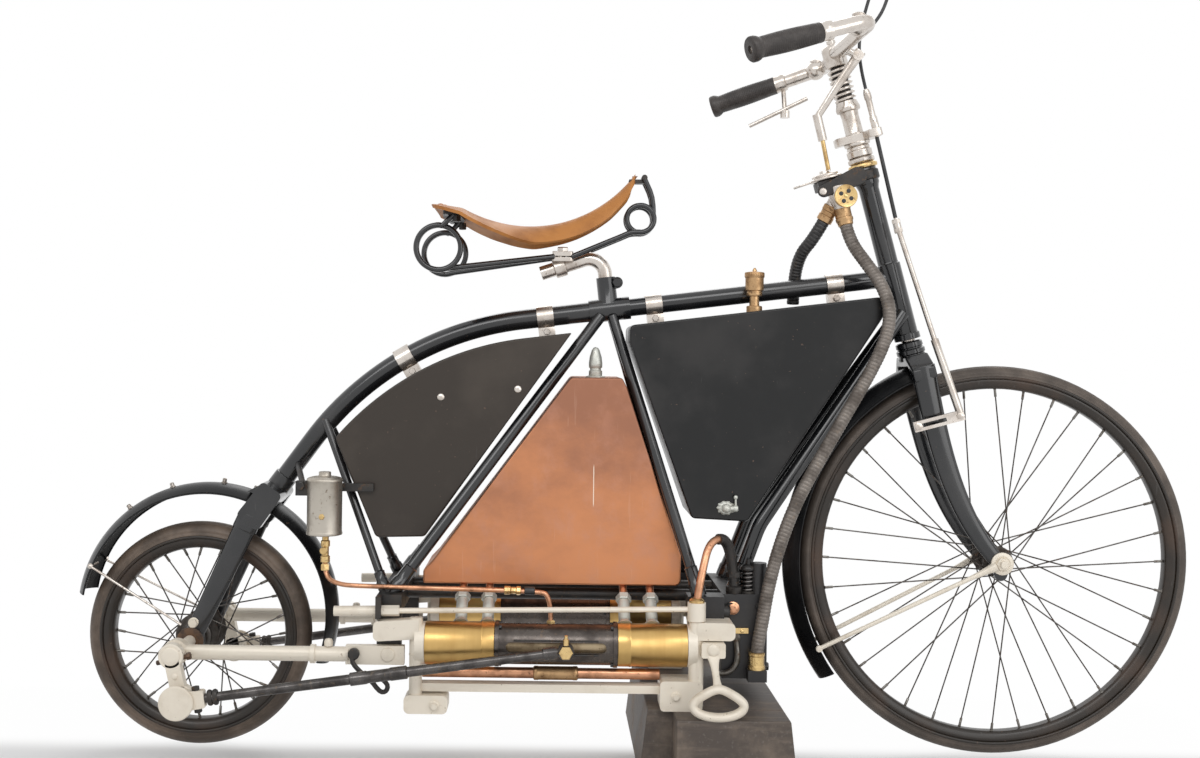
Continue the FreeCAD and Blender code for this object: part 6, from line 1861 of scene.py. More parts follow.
@dataclass
class Engine:
    """Both banks of the flat engine: jackets, barrels, heads, tie rods, unions and pipes."""

    layout: Layout
    half: float = 0.09
    jacket_length: float = 0.103
    jacket_r: float = 0.032
    column_out: float = 0.012
    column_top: float = 0.231
    collar_top: float = 0.258
    seam: float = 0.019
    pipe_r: float = 0.008
    pipe_z: float = 0.149
    gas_pipe_r: float = 0.0058
    gas_elbow_r: float = 0.0082
    oil_pipe_r: float = 0.0036
    column_ahead: float = 0.013
    stud_circle: float = 0.0306
    unions: tuple[float, ...] = (-0.142, -0.102, 0.102, 0.143)

    @property
    def reach(self) -> float:
        """From the engine's middle to a jacket's outer end."""
        return self.half + self.jacket_length

    def jackets(self, shop: Workshop) -> None:
        """Make the four water jackets, each with rounded ends and one soldered seam near its inner end.

        Args:
            shop: Makes the objects.
        """
        place = self.layout
        shell = Shell()
        r, length = self.jacket_r, self.jacket_length
        edge = [(r - 0.0022, 0), (r - 0.0006, 0.0008), (r - 0.0004, 0.002)]
        seam = [(r - 0.0004, self.seam - 0.0012), (r + 0.0003, self.seam - 0.0006), (r + 0.0003, self.seam + 0.0006),
            (r - 0.0004, self.seam + 0.0012)]
        profile = edge + seam + [(a, length - s) for a, s in reversed(edge)]
        opposite = [(a, length - s) for a, s in reversed(profile)]
        for x, outline in ((-self.reach, opposite), (self.half, profile)):
            shell.turned(at(place.engine_x + x, -place.bank_y, place.engine_z), AHEAD, outline, 64)
        shop.piece("water_jackets", shell.mirrored(), "jacket", "root", ["brass_jackets"], 50)

    def barrels(self, shop: Workshop) -> None:
        """Finish the slotted barrels, and add the studs round their flanges and the slot's wear strips.

        Args:
            shop: Makes the objects.
        """
        place = self.layout
        shop.softened("engine_barrels", "barrel", 0.001)
        shop.softened("crossheads", "trunk", 0.0004)
        studs = Shell()
        for sign in (-1, 1):
            for turn in np.radians([60, 120, 180, 240, 300]).tolist():
                spot = at(place.engine_x + sign * (self.half - 0.006),
                    -place.bank_y - self.stud_circle * math.cos(turn),
                    place.engine_z + self.stud_circle * math.sin(turn))
                studs.hexagon(spot, spot - AHEAD * sign * 0.004, 0.0062)
        for lift in (-0.0105, 0.0105):
            y = -place.bank_y - 0.0292
            studs.tube(np.array([at(place.engine_x - 0.062, y, place.engine_z + lift),
                at(place.engine_x, y, place.engine_z + lift), at(place.engine_x + 0.062, y, place.engine_z + lift)]),
                0.0012, 8, guide=UP)
        shop.piece("barrel_studs", studs.mirrored(), "iron")

    def heads(self, shop: Workshop) -> None:
        """Finish the cast heads and add their bolts, seams and the brown collars over the front columns.

        Args:
            shop: Makes the objects.
        """
        place = self.layout
        shop.softened("rear_heads", "cream", 0.0018)
        shop.softened("front_heads", "cream", 0.0018)
        y = -place.bank_y - self.column_out
        rear_x = place.engine_x - self.reach - self.column_ahead
        front_x = place.engine_x + self.reach + self.column_ahead
        trim = Shell()
        for x, radius, z in ((rear_x, 0.0095, 0.176), (front_x, 0.011, 0.196)):
            trim.turned(at(x, y, z), UP, [(radius - 0.001, 0), (radius + 0.0007, 0.0006), (radius + 0.0007, 0.0018),
                (radius - 0.001, 0.0024)], 36)
        outer = -place.bank_y - 0.024
        for x, z, radius in ((rear_x + 0.029, 0.1045, 0.0075), (front_x - 0.03, 0.122, 0.007)):
            trim.turned(at(x, outer + 0.0005, z), -LEFT, [(radius, 0), (radius, 0.0026), (0.7 * radius, 0.0034)], 28)
            trim.hexagon(at(x, outer - 0.0025, z), at(x, outer - 0.0072, z), 1.25 * radius)
        shop.piece("head_trim", trim.mirrored(), "casting")
        collar = Shell().turned(at(front_x, y, self.column_top - 0.001), UP,
            mm((10.8, 0), (12.2, 0.8), (12.4, 16), (13.2, 16.6), (13.2, 18.6), (12.2, 19.6), (12.2, 26.2), (11, 28.5)),
            44)
        shop.piece("column_collars", collar.mirrored(), "bronze")
        shop.softened("tie_rods", "cream", 0.0007)

    def pipes(self, shop: Workshop) -> None:
        """Make the lower copper pipes with their couplings, the oil pipe and the gas pipe.

        Args:
            shop: Makes the objects.
        """
        place = self.layout
        x, by = place.engine_x, -place.bank_y
        low = Shell().bar(at(x - self.reach - 0.004, by, self.pipe_z), at(x + self.reach - 0.0395, by, self.pipe_z),
            self.pipe_r, 28)
        low.mirrored()
        foot = at(x + self.reach + self.column_ahead, by - self.column_out, self.collar_top - 0.002)
        end = at(place.case_x + 0.019, -0.09, place.bracket_z)
        rise = [foot, foot + at(0.007, 0.006, 0.042), foot + at(0.022, 0.024, 0.094), end + at(-0.004, -0.006, 0.08),
            end]
        leg = nurbs_path(rise)
        low.tube(leg, self.gas_pipe_r, 24)
        elbow = Shell().tube(leg[int(0.6 * len(leg)):], self.gas_elbow_r, 24)
        elbow.turned(end, UP, mm((12, 0), (12.8, 1), (12.8, 10), (10, 11.8)), 8)
        elbow.turned(end + at(-0.001, -0.001, 0.024), UP, mm((9.8, 0), (11, 0.8), (11, 8), (9.8, 9)), 8)
        shop.piece("gas_elbow", elbow, "iron")
        can = at(place.bracket_x - 0.085, -0.094, 0.301)
        run_y, run_z = by + 0.01, place.bracket_z + 0.006
        route = [can, can + at(0, 0, -0.02), can + at(0.022, -0.022, -0.029),
            at(place.bracket_x - 0.022, run_y, run_z + 0.004), at(x - 0.03, run_y, run_z),
            at(x - 0.008, run_y, run_z - 0.006), at(x - 0.008, run_y, place.engine_z + 0.026)]
        low.tube(nurbs_path(route), self.oil_pipe_r, 18)
        shop.piece("copper_pipes_bent", low, "copper_pipe", "root", ["copper_pipes"])
        couplings = Shell().turned(at(x - 0.033, by, self.pipe_z), AHEAD,
            mm((8.6, 0), (10.4, 1.6), (10.4, 7), (10, 7.6), (10, 58.4), (10.4, 59), (10.4, 64.4), (8.6, 66)), 36)
        shop.piece("pipe_couplings", couplings.mirrored(), "bronze", smooth_angle=50)
        joints = Shell()
        run = unit(route[4] - route[3])
        for back, radius, length in mm((48, 6.4, 10), (38, 5.2, 8), (30, 6.6, 7)):
            joints.turned(route[4] - run * back, run, [(0.8 * radius, 0), (radius, 0.0008), (radius, length - 0.0008),
                (0.8 * radius, length)], 8)
        sleeve = Shell().turned(route[4] - run * 0.018, run, mm((4.4, 0), (6, 1), (6.2, 12), (5.8, 15), (4.4, 16)), 24)
        shop.piece("oil_pipe_sleeve", sleeve, "cable")
        joints.turned(foot - UP * 0.001, UP, mm((10, 0), (11.2, 1), (11.2, 6.2), (8, 9), (6.6, 9.4)), 36)
        joints.turned(route[-1] - UP * 0.002, UP, mm((6.4, 0), (7, 1), (7, 7.5), (4.8, 9.5)), 6)
        joints.turned(can - UP * 0.012, UP, mm((5, 0), (6.6, 1), (6.6, 9), (5, 11)), 6)
        shop.piece("pipe_unions", joints, "brass")

    def water_unions(self, shop: Workshop) -> None:
        """Make the eight slanting stubs from the copper tank to the jackets, each with a hexagon nut.

        Args:
            shop: Makes the objects.
        """
        place = self.layout
        stubs, nuts = Shell(), Shell()
        for ahead in self.unions:
            top = at(place.engine_x + ahead, -0.059, place.bracket_z + 0.005)
            foot = at(place.engine_x + ahead, -place.bank_y + 0.0135, place.engine_z + 0.0265)
            along = unit(foot - top)
            length = span(top, foot)
            stubs.bar(top, top + along * 0.03, 0.006, 20)
            nuts.hexagon(top + along * 0.024, top + along * 0.036, 0.0205)
            nuts.turned(top + along * 0.036, along, [(0.0074, 0), (0.0088, 0.001), (0.0088, length - 0.048),
                (0.0076, length - 0.046), (0.0076, length - 0.042), (0.0112, length - 0.038),
                (0.0116, length - 0.034)], 28)
        shop.piece("water_stubs", stubs.mirrored(), "copper_pipe", "root", ["water_unions"])
        shop.piece("water_nuts", nuts.mirrored(), "union")

    def bearers(self, shop: Workshop) -> None:
        """Finish the crossmember, the gear case and the side stays, and add their bolts and covers.

        Args:
            shop: Makes the objects.
        """
        place = self.layout
        shop.softened("engine_bearer", "iron", 0.0016)
        shop.softened("gear_case", "case_iron", 0.003)
        shop.softened("side_stays", "cream", 0.0016)
        dark = Shell()
        front = place.case_x + 0.068
        for y in (-0.082, -0.03, 0.03, 0.082):
            for z in (0.15, 0.248):
                dark.hexagon(at(front - 0.0005, y, z), at(front + 0.0055, y, z), 0.011)
        dark.turned(at(front - 0.0005, 0, 0.198), AHEAD, mm((36, 0), (36, 4), (34, 6), (16, 6.6), (14, 12), (4, 13)),
            48)
        for x in (place.case_x + 0.012, place.case_x + 0.056):
            for sign in (-1, 1):
                dark.hexagon(at(x, sign * 0.0995, 0.244), at(x, sign * 0.1055, 0.244), 0.011)
        shop.piece("case_bolts", dark, "iron")
        pale = Shell()
        bar_y = -0.154
        spot = at(place.bracket_x + 0.018, bar_y + 0.0004, place.rear_axle[2] + 0.001)
        pale.turned(spot, -LEFT, mm((10.4, 0), (10.4, 1.6), (9.2, 2.8), (4, 3.4), (0.8, 3.5)), 32)
        eye = at(place.bracket_x - 0.031, bar_y + 0.0004, place.rear_axle[2] + 0.003)
        pale.turned(eye, -LEFT, mm((6.2, 0), (6.2, 3), (4.6, 4.2), (0.8, 4.4)), 24)
        plug = at(place.bracket_x - 0.07, bar_y, place.rear_axle[2] + 0.0158)
        pale.turned(plug + LEFT * 0.006, UP, mm((6.2, -4), (6.6, 2), (5, 6), (0.8, 7.2)), 20)
        cap = place.rear_axle - LEFT * (0.148 + 0.0072)
        pale.turned(cap, -LEFT, mm((18, 0), (18, 0.8), (14, 1.8), (10.8, 2)), 36)
        shop.piece("stay_fittings", pale.mirrored(), "casting")
        route = smooth_line(eye + np.array(mm((0, -9, 0), (-1, -9.5, -12), (10, -10, -25), (24, -10, -36),
            (39, -10, -53), (48, -10, -53), (50, -10, -44), (40, -10, -33))))
        lever = Shell().tube(route, 0.0036, 14, guide=LEFT)
        lever.turned(eye - LEFT * 0.003, -LEFT, mm((8.4, 0), (8.4, 8), (6.6, 9.6), (0.8, 9.8)), 24)
        shop.piece("drain_lever", lever, "iron")

    def build(self, shop: Workshop) -> None:
        """Make the whole engine.

        Args:
            shop: Makes the objects.
        """
        self.jackets(shop)
        self.barrels(shop)
        self.heads(shop)
        self.pipes(shop)
        self.water_unions(shop)
        self.bearers(shop)


@dataclass
class CaseFittings:
    """Valve gear on each side of the gear case: a sprung valve, a chest with its nut, a plug, a clip and a catch."""

    layout: Layout
    valve_y: float = -0.086
    chest_y: float = -0.108
    chest_z: float = 0.237
    face_y: float = -0.099

    def build(self, shop: Workshop) -> None:
        """Make the fittings near the camera and mirror them to the far side.

        Args:
            shop: Makes the objects.
        """
        place = self.layout
        x, top = place.case_x, place.bracket_z
        foot = at(x + 0.041, self.valve_y, top - 0.001)
        dark = Shell().turned(foot, UP, mm((13, 0), (13.5, 1), (13.5, 4.5), (6.8, 5.6), (6.2, 34), (12, 35),
            (13, 36.4), (13, 39.4), (9.8, 43), (4.2, 44.8), (3.6, 52), (0.8, 53)), 36)
        dark.turned(at(x - 0.034, self.chest_y, self.chest_z), AHEAD,
            mm((8.2, 0), (9.8, 1), (9.8, 14), (7.6, 15), (7.6, 24), (11.2, 25), (11.8, 26.2), (11.8, 40), (9, 44)), 32)
        dark.hexagon(at(x - 0.024, self.chest_y, self.chest_z), at(x - 0.013, self.chest_y, self.chest_z), 0.023)
        shop.piece("case_valves", dark.mirrored(), "iron", smooth_angle=45)
        coil = Shell().tube(helix(foot + UP * 0.0055, UP, 0.0098, 0.0062, 4.6), 0.002, 10, guide=UP)
        shop.piece("case_springs", coil.mirrored(), "rod_steel")
        plug = Shell().turned(at(x + 0.016, self.face_y, 0.241), -LEFT,
            mm((9.8, 0), (9.8, 3), (7.6, 4), (7.6, 8.5), (6, 9.6), (0.8, 9.8)), 28)
        shop.piece("case_plugs", plug.mirrored(), "copper_pipe")
        clip = Shell().block((x + 0.018, self.face_y - 0.0045, 0.203), (x + 0.04, self.face_y, 0.2115))
        clip.turned(at(x + 0.03, self.face_y - 0.004, 0.207), -LEFT, mm((3, 0), (2.8, 1.6), (0.6, 2.2)), 16)
        shop.piece("case_clips", clip.mirrored(), "brass", bevel=0.0006)
        hook = smooth_line(at(x, 0, 0) + np.array(mm((21, -101.5, 196), (23, -106, 176), (21, -107, 158),
            (10, -107, 146), (-4, -105, 144), (-10, -103, 152))))
        catch = Shell().tube(hook, 0.0044, 14, guide=LEFT)
        catch.turned(at(x + 0.021, self.face_y, 0.197), -LEFT, mm((7, 0), (7, 4), (5, 5.4), (0.8, 5.8)), 24)
        shop.piece("case_catches", catch.mirrored(), "steel_dull")


# Tanks and fittings


@dataclass
class Tanks:
    """Rear case, copper water tank and front tank, with their screws, filler, tap, oiler and oil can."""

    layout: Layout
    case_half: float = 0.065
    filler_ahead: float = 0.226

    def screws(self, shop: Workshop) -> None:
        """Add the bright screws on the rear case's side.

        Args:
            shop: Makes the objects.
        """
        shell = Shell()
        for x, z in ((-0.3023, 0.5523), (-0.1844, 0.566)):
            spot = at(x, -self.case_half + 0.0004, z)
            shell.turned(spot, -LEFT, mm((5.4, 0), (5.4, 1.2), (4, 2.4), (0.8, 2.8)), 20)
        shop.piece("case_screws", shell.mirrored(), "nickel")

    def filler(self, shop: Workshop) -> None:
        """Make the fuel filler beside the top tube: flange, neck, ring, and a knurled cap with a vent pin.

        Args:
            shop: Makes the objects.
        """
        place = self.layout
        x = place.seat[0] + self.filler_ahead
        z = place.seat_z + place.top_slope * self.filler_ahead - 0.0285
        foot = at(x, -0.03, z)
        neck = Shell().turned(foot - UP * 0.003, UP, mm((12.2, 0), (12.2, 10), (11.2, 11.2), (7.8, 11.8), (7.4, 26),
            (11.8, 27), (12.2, 28), (12.2, 32), (11.6, 33), (11.6, 34.5), (14, 35.5), (14.2, 36.5), (14.2, 56)), 44)
        angle = round_angles(72)
        knurl = 0.015 + 0.0004 * (np.arange(72) % 2)
        rows = [np.stack([knurl * s * np.cos(angle), knurl * s * np.sin(angle), np.full(72, h)], axis=1)
            for s, h in ((0.95, 0.052), (1, 0.0535), (1, 0.059), (0.95, 0.0605), (0.3, 0.0622), (0.05, 0.0623))]
        neck.grid(foot + np.array(rows))
        neck.turned(foot + UP * 0.061, UP, mm((3.6, 0), (3.4, 3), (1.4, 6.6)), 20)
        shop.piece("fuel_filler", neck, "bronze", "root", ["brass_fittings"], 30)

    def tap(self, shop: Workshop) -> None:
        """Make the tank's tap: a scalloped rose, a boss, and a spigot with a ball-ended lever.

        Args:
            shop: Makes the objects.
        """
        place = self.layout
        centre = at(place.case_x + 0.008, -self.case_half, place.bracket_z + 0.126)
        angle = round_angles(80)
        scallop = 1 + 0.06 * np.cos(10 * angle)
        rows = [np.stack([0.0135 * s * scallop * np.cos(angle), np.full(80, -d), 0.0105 * s * scallop * np.sin(angle)],
            axis=1) for s, d in ((1, -0.0005), (1, 0.002), (0.82, 0.0042), (0.5, 0.0052), (0.02, 0.0054))]
        brass = Shell().grid(centre + np.array(rows))
        brass.turned(centre - LEFT * 0.004, -LEFT, mm((7, 0), (6.6, 8), (5, 10), (2.4, 11.8), (0.8, 12)), 28)
        spigot = centre - LEFT * 0.0088
        brass.turned(spigot, AHEAD, mm((4, 0), (4, 11), (5.2, 11.5), (5.2, 16.5), (3, 18)), 20)
        stem = spigot + AHEAD * 0.014
        brass.turned(stem, UP, mm((1.8, 0), (1.5, 12), (1.2, 15)), 12)
        ball = np.radians(np.linspace(-88, 88, 9))
        brass.turned(stem + UP * 0.0172, UP, pairs(0.0034 * np.cos(ball), 0.0034 * np.sin(ball)), 20)
        shop.piece("fuel_tap", brass, "union", smooth_angle=30)
        oiler = place.seat + at(-0.02, -0.03, -0.107)
        cup = Shell().turned(oiler, UP, mm((15, 0), (15, 2.6), (11.8, 3.4), (10.4, 4), (10.4, 11), (8.6, 12.2),
            (8.6, 15), (10.4, 16.5), (10.6, 23), (9.2, 33), (6.2, 43), (3.6, 47), (1, 48)), 36)
        shop.piece("lubricator", cup, "union", smooth_angle=50)

    def can(self, shop: Workshop) -> None:
        """Make the round oil can: domed lid, rolled rims, its cock and its bracket.

        Args:
            shop: Makes the objects.
        """
        place = self.layout
        foot = at(place.bracket_x - 0.087, -0.094, place.bracket_z + 0.081)
        body = Shell().turned(foot, UP, mm((24, 0), (26.8, 1), (27.4, 3), (26.8, 5), (26.4, 7), (26.4, 80),
            (27.2, 81.2), (27.4, 83.2), (26.8, 85), (24, 86.8), (18, 88.4), (9.8, 89.4), (9.2, 90.4), (9.2, 95),
            (7.4, 95.8), (1, 96)), 56)
        shop.piece("oil_can_turned", body, "tin", "root", ["oil_can"], 40)
        arm = Shell().block((foot[0] + 0.006, foot[1] + 0.02, foot[2] + 0.064),
            (place.bracket_x - 0.016, -self.case_half + 0.0005, foot[2] + 0.076))
        side = foot + at(-0.024, 0.004, 0.07)
        arm.block(side + at(-0.02, -0.007, -0.011), side + at(0.001, 0.007, 0.011))
        arm.hexagon(side + at(-0.012, -0.006, 0.004), side + at(-0.012, -0.013, 0.004), 0.012)
        arm.bar(side + at(-0.01, 0, 0.006), at(side[0] - 0.031, -0.016, side[2] + 0.03), 0.0046, 16)
        shop.piece("oil_can_clamp", arm, "iron", bevel=0.0008)
        cock = Shell().turned(foot + at(0.002, 0, -0.042), UP, mm((4, 0), (7.2, 1.2), (7.2, 10), (5.4, 11.2),
            (5.4, 24), (7, 25), (7, 33), (5, 34.5), (5, 42.5)), 24)
        cock.bar(foot + at(0.002, -0.002, -0.022), foot + at(0.002, -0.017, -0.022), 0.0026, 16)
        cock.turned(foot + at(0.002, -0.015, -0.022), -LEFT, mm((5.4, 0), (5.8, 0.8), (5.8, 2.6), (5, 3.4)), 20)
        cock.turned(foot + at(0, -0.0255, 0.03), -LEFT, mm((4.6, 0), (4.6, 2.4), (3.4, 3.4)), 6)
        shop.piece("oil_cock", cock, "brass")

    def build(self, shop: Workshop) -> None:
        """Finish the three tanks and make their fittings.

        Args:
            shop: Makes the objects.
        """
        shop.softened("rear_case", "case_enamel", 0.0032)
        shop.softened("front_tank", "tank_enamel", 0.0032)
        shop.softened("copper_tank", "copper", 0.003)
        self.screws(shop)
        self.filler(shop)
        self.tap(shop)
        self.can(shop)


# Saddle


@dataclass
class Saddle:
    """Hammock of thick hide on coiled wires, over the bent pillar."""

    layout: Layout
    wire_r: float = 0.0043
    rear_coil_r: float = 0.034
    nose_coil_r: float = 0.0212
    thick: float = 0.005
    roundness: float = 2.6
    dish: float = 0.002
    back: float = 0.275
    length: float = 0.315
    clamp_back: float = 0.073
    wires_up: float = 0.082
    rear_coil: Triple = (-0.264, -0.062, 0.0905)
    nose_coil: Triple = (0.048, -0.0105, 0.143)
    skirt: tuple[tuple[float, float], ...] = ((-0.275, 0.004), (-0.235, 0.01), (-0.2, 0.013), (-0.169, 0.017),
        (-0.144, 0.022), (-0.118, 0.027), (-0.05, 0.028), (0.0, 0.027), (0.025, 0.022), (0.04, 0.012))

    def height(self, x: Array) -> Array:
        """Height of the hide's middle line at each x.

        It is straight over the cantle, and from there the lower arc of the circle through the cantle, the dip
        and the nose.

        Args:
            x: Distances forward.

        Returns:
            The heights.
        """
        seat = self.layout.seat
        cantle, dip, nose = (np.array([seat[0] + a, seat[2] + b])
            for a, b in ((-0.229, 0.155), (-0.118, 0.13), (0.04, 0.215)))
        rows = np.array([dip - cantle, nose - cantle])
        centre = np.linalg.solve(rows, 0.5 * np.array([dip @ dip - cantle @ cantle, nose @ nose - cantle @ cantle]))
        radius = span(centre, cantle)
        arc = centre[1] - np.sqrt(np.maximum(radius ** 2 - (x - centre[0]) ** 2, 0))
        straight = cantle[1] + (cantle[0] - x) * 0.006 / 0.046
        return np.where(x < cantle[0], straight, arc)

    def width(self, x: Array) -> Array:
        """Half-width of the hide at each x: a smooth line through the pear's stations, rounded off at both ends.

        Args:
            x: Distances forward.

        Returns:
            The half-widths.
        """
        seat = self.layout.seat[0]
        knots = seat + np.array([-0.275, -0.255, -0.235, -0.205, -0.179, -0.13, -0.085, -0.04, 0, 0.04])
        half = [0.086, 0.106, 0.112, 0.107, 0.096, 0.066, 0.041, 0.031, 0.0275, 0.024]
        fine = np.interp(x, knots, half)
        kernel = np.hanning(9) / np.hanning(9).sum()
        fine = np.convolve(np.pad(fine, 4, mode="edge"), kernel, mode="valid")
        nose = np.clip((seat + 0.0405 - x) / 0.014, 0.02, 1)
        tail = np.clip((x - seat + 0.2755) / 0.016, 0.02, 1)
        return fine * np.sqrt(1 - (1 - nose) ** 2) * (0.8 + 0.2 * np.sqrt(1 - (1 - tail) ** 2))

    def flap(self, x: Array) -> Array:
        """How far the edge of the hide hangs below its middle at each x."""
        knots, depth = np.array(self.skirt).T
        return np.interp(x, self.layout.seat[0] + knots, depth)

    def top(self, x: Array, v: Union[Array, float]) -> Array:
        """Height of the hide at share v of its half-width: z(x) - s(x) |v|^2.6 - 0.002 v^2, with s the flap."""
        return self.height(x) - self.flap(x) * np.abs(v) ** self.roundness - self.dish * v ** 2

    def hide(self) -> Shell:
        """Leather as a bent sheet: the point at share v of the half-width w is (x, v w, the height there).

        Returns:
            The sheet.
        """
        seat = self.layout.seat[0]
        x = seat - self.back + self.length * (0.5 - 0.5 * np.cos(np.linspace(0, math.pi, 84)))
        v = np.linspace(-1, 1, 41)
        w = self.width(x)
        grid_x = np.broadcast_to(x[:, None], (84, 41))
        z = self.top(x[:, None], v[None])
        return Shell().slab(np.stack([grid_x, v[None] * w[:, None], z], axis=-1), self.thick)

    def coil(self, centre: Array, radius: float, degrees: Array, inward: float) -> Array:
        """Points of a coil about a crosswise axis, whose first turn starts a little inward of its last."""
        turn, left = np.radians(degrees)[:, None], np.linspace(1, 0, len(degrees))[:, None]
        return centre + radius * (np.cos(turn) * AHEAD + np.sin(turn) * UP) - LEFT * inward * left

    def springs(self) -> Shell:
        """Four wires: a straight run from the clamp, a coil, and a short rise to the hide's plate.

        The rear coils turn two times behind the clamp and the front ones once and a quarter under the nose.

        Returns:
            The wires.
        """
        seat = self.layout.seat
        clamp_x, wires_z = seat[0] - self.clamp_back, seat[2] + self.wires_up
        coil = self.coil(seat + at(*self.rear_coil), self.rear_coil_r, np.linspace(80, 636, 86), 0.009)
        start = np.array([seat + at(-0.238, -0.07, 0.146), seat + at(-0.248, -0.0708, 0.134)])
        run = np.linspace(coil[-1] + at(0.012, 0.002, 0.0026), at(clamp_x - 0.014, -0.019, wires_z), 8)
        shell = Shell().tube(smooth_line(np.concatenate([start, coil, run])), self.wire_r, 16, guide=LEFT)
        coil = self.coil(seat + at(*self.nose_coil), self.nose_coil_r, np.linspace(262, 712, 70), 0.0078)
        run = np.linspace(at(clamp_x + 0.014, -0.018, wires_z), coil[0] + at(-0.012, -0.001, -0.001), 8)
        top = np.array([seat + at(0.066, -0.011, 0.177), seat + at(0.054, -0.012, 0.206)])
        shell.tube(smooth_line(np.concatenate([run, coil, top])), self.wire_r, 16, guide=LEFT)
        return shell.mirrored()

    def build(self, shop: Workshop) -> None:
        """Make the hide with its rivets, the wires with their plates, and the pillar with its clamp.

        Args:
            shop: Makes the objects.
        """
        seat = self.layout.seat
        shop.piece("saddle_hide", self.hide(), "hide", "root", ["saddle_leather"], 60)
        wires = self.springs()
        shop.piece("saddle_wires", wires, "enamel", "root", ["saddle_springs"], 60)
        plates = Shell()
        cantle = corner_loop(mm((-88, -10), (-30, -14), (30, -14), (88, -10), (88, 10), (30, 16), (-30, 16),
            (-88, 10)), 0.004)
        plates.prism(np.array([seat + at(-0.246 + b, a, 0.14) for a, b in cantle]), UP * 0.0062)
        plates.bar(seat + at(0.054, -0.016, 0.208), seat + at(0.054, 0.016, 0.208), 0.0046, 24)
        plates.block((seat[0] + 0.03, -0.01, seat[2] + 0.1995), (seat[0] + 0.054, 0.01, seat[2] + 0.2055))
        for y in (-0.07, 0.07):
            plates.hexagon(seat + at(-0.236, y, 0.1408), seat + at(-0.236, y, 0.13), 0.0115)
        shop.piece("saddle_plates", plates, "iron", bevel=0.0007)
        rivets = Shell()
        x = seat[0] + np.array([-0.262, -0.258, -0.256, -0.258, -0.262])
        for a, y in zip(x.tolist(), (-0.06, -0.031, 0, 0.031, 0.06)):
            v = y / float(self.width(np.full(9, a))[4])
            z = float(self.top(np.array([a]), v)[0])
            rivets.turned(at(a, y, z - 0.0008), UP, mm((4.6, 0), (4.6, 0.9), (3, 2.1), (0.8, 2.6)), 18)
        shop.piece("saddle_rivets", rivets, "copper_pipe")
        foot = seat + at(-0.005, 0, 0.051)
        corner = foot + unit(foot - seat - UP * 0.008) * 0.038
        end = seat + at(-0.107, 0, 0.056)
        lean = unit(end - corner)
        pillar = Shell().tube(bent_path([foot - UP * 0.002, corner, end], [0.026]), 0.011, 32)
        pillar.turned(end - lean * 0.041, lean, mm((11.8, 0), (15, 1.2), (15, 18), (11.8, 19.5)), 36)
        clamp_x, wires_z = seat[0] - self.clamp_back, seat[2] + self.wires_up
        pillar.turned(at(clamp_x - 0.006, 0, wires_z - 0.014), UP, mm((10.4, 0), (10.4, 16)), 28)
        plate = corner_loop(mm((-21.5, -16.5), (21.5, -16.5), (21.5, 16.5), (-21.5, 16.5)), 0.005)
        for low, high in ((-0.0075, -0.0008), (0.0008, 0.0085)):
            pillar.prism(np.array([at(clamp_x + b, a, wires_z + low) for a, b in plate]), UP * (high - low))
        pillar.hexagon(at(clamp_x, 0, wires_z + 0.008), at(clamp_x, 0, wires_z + 0.0162), 0.0165)
        shop.piece("saddle_pillar", pillar, "nickel", "root", ["saddle_post"], 38, 0.0008)


# Valve and stirrups


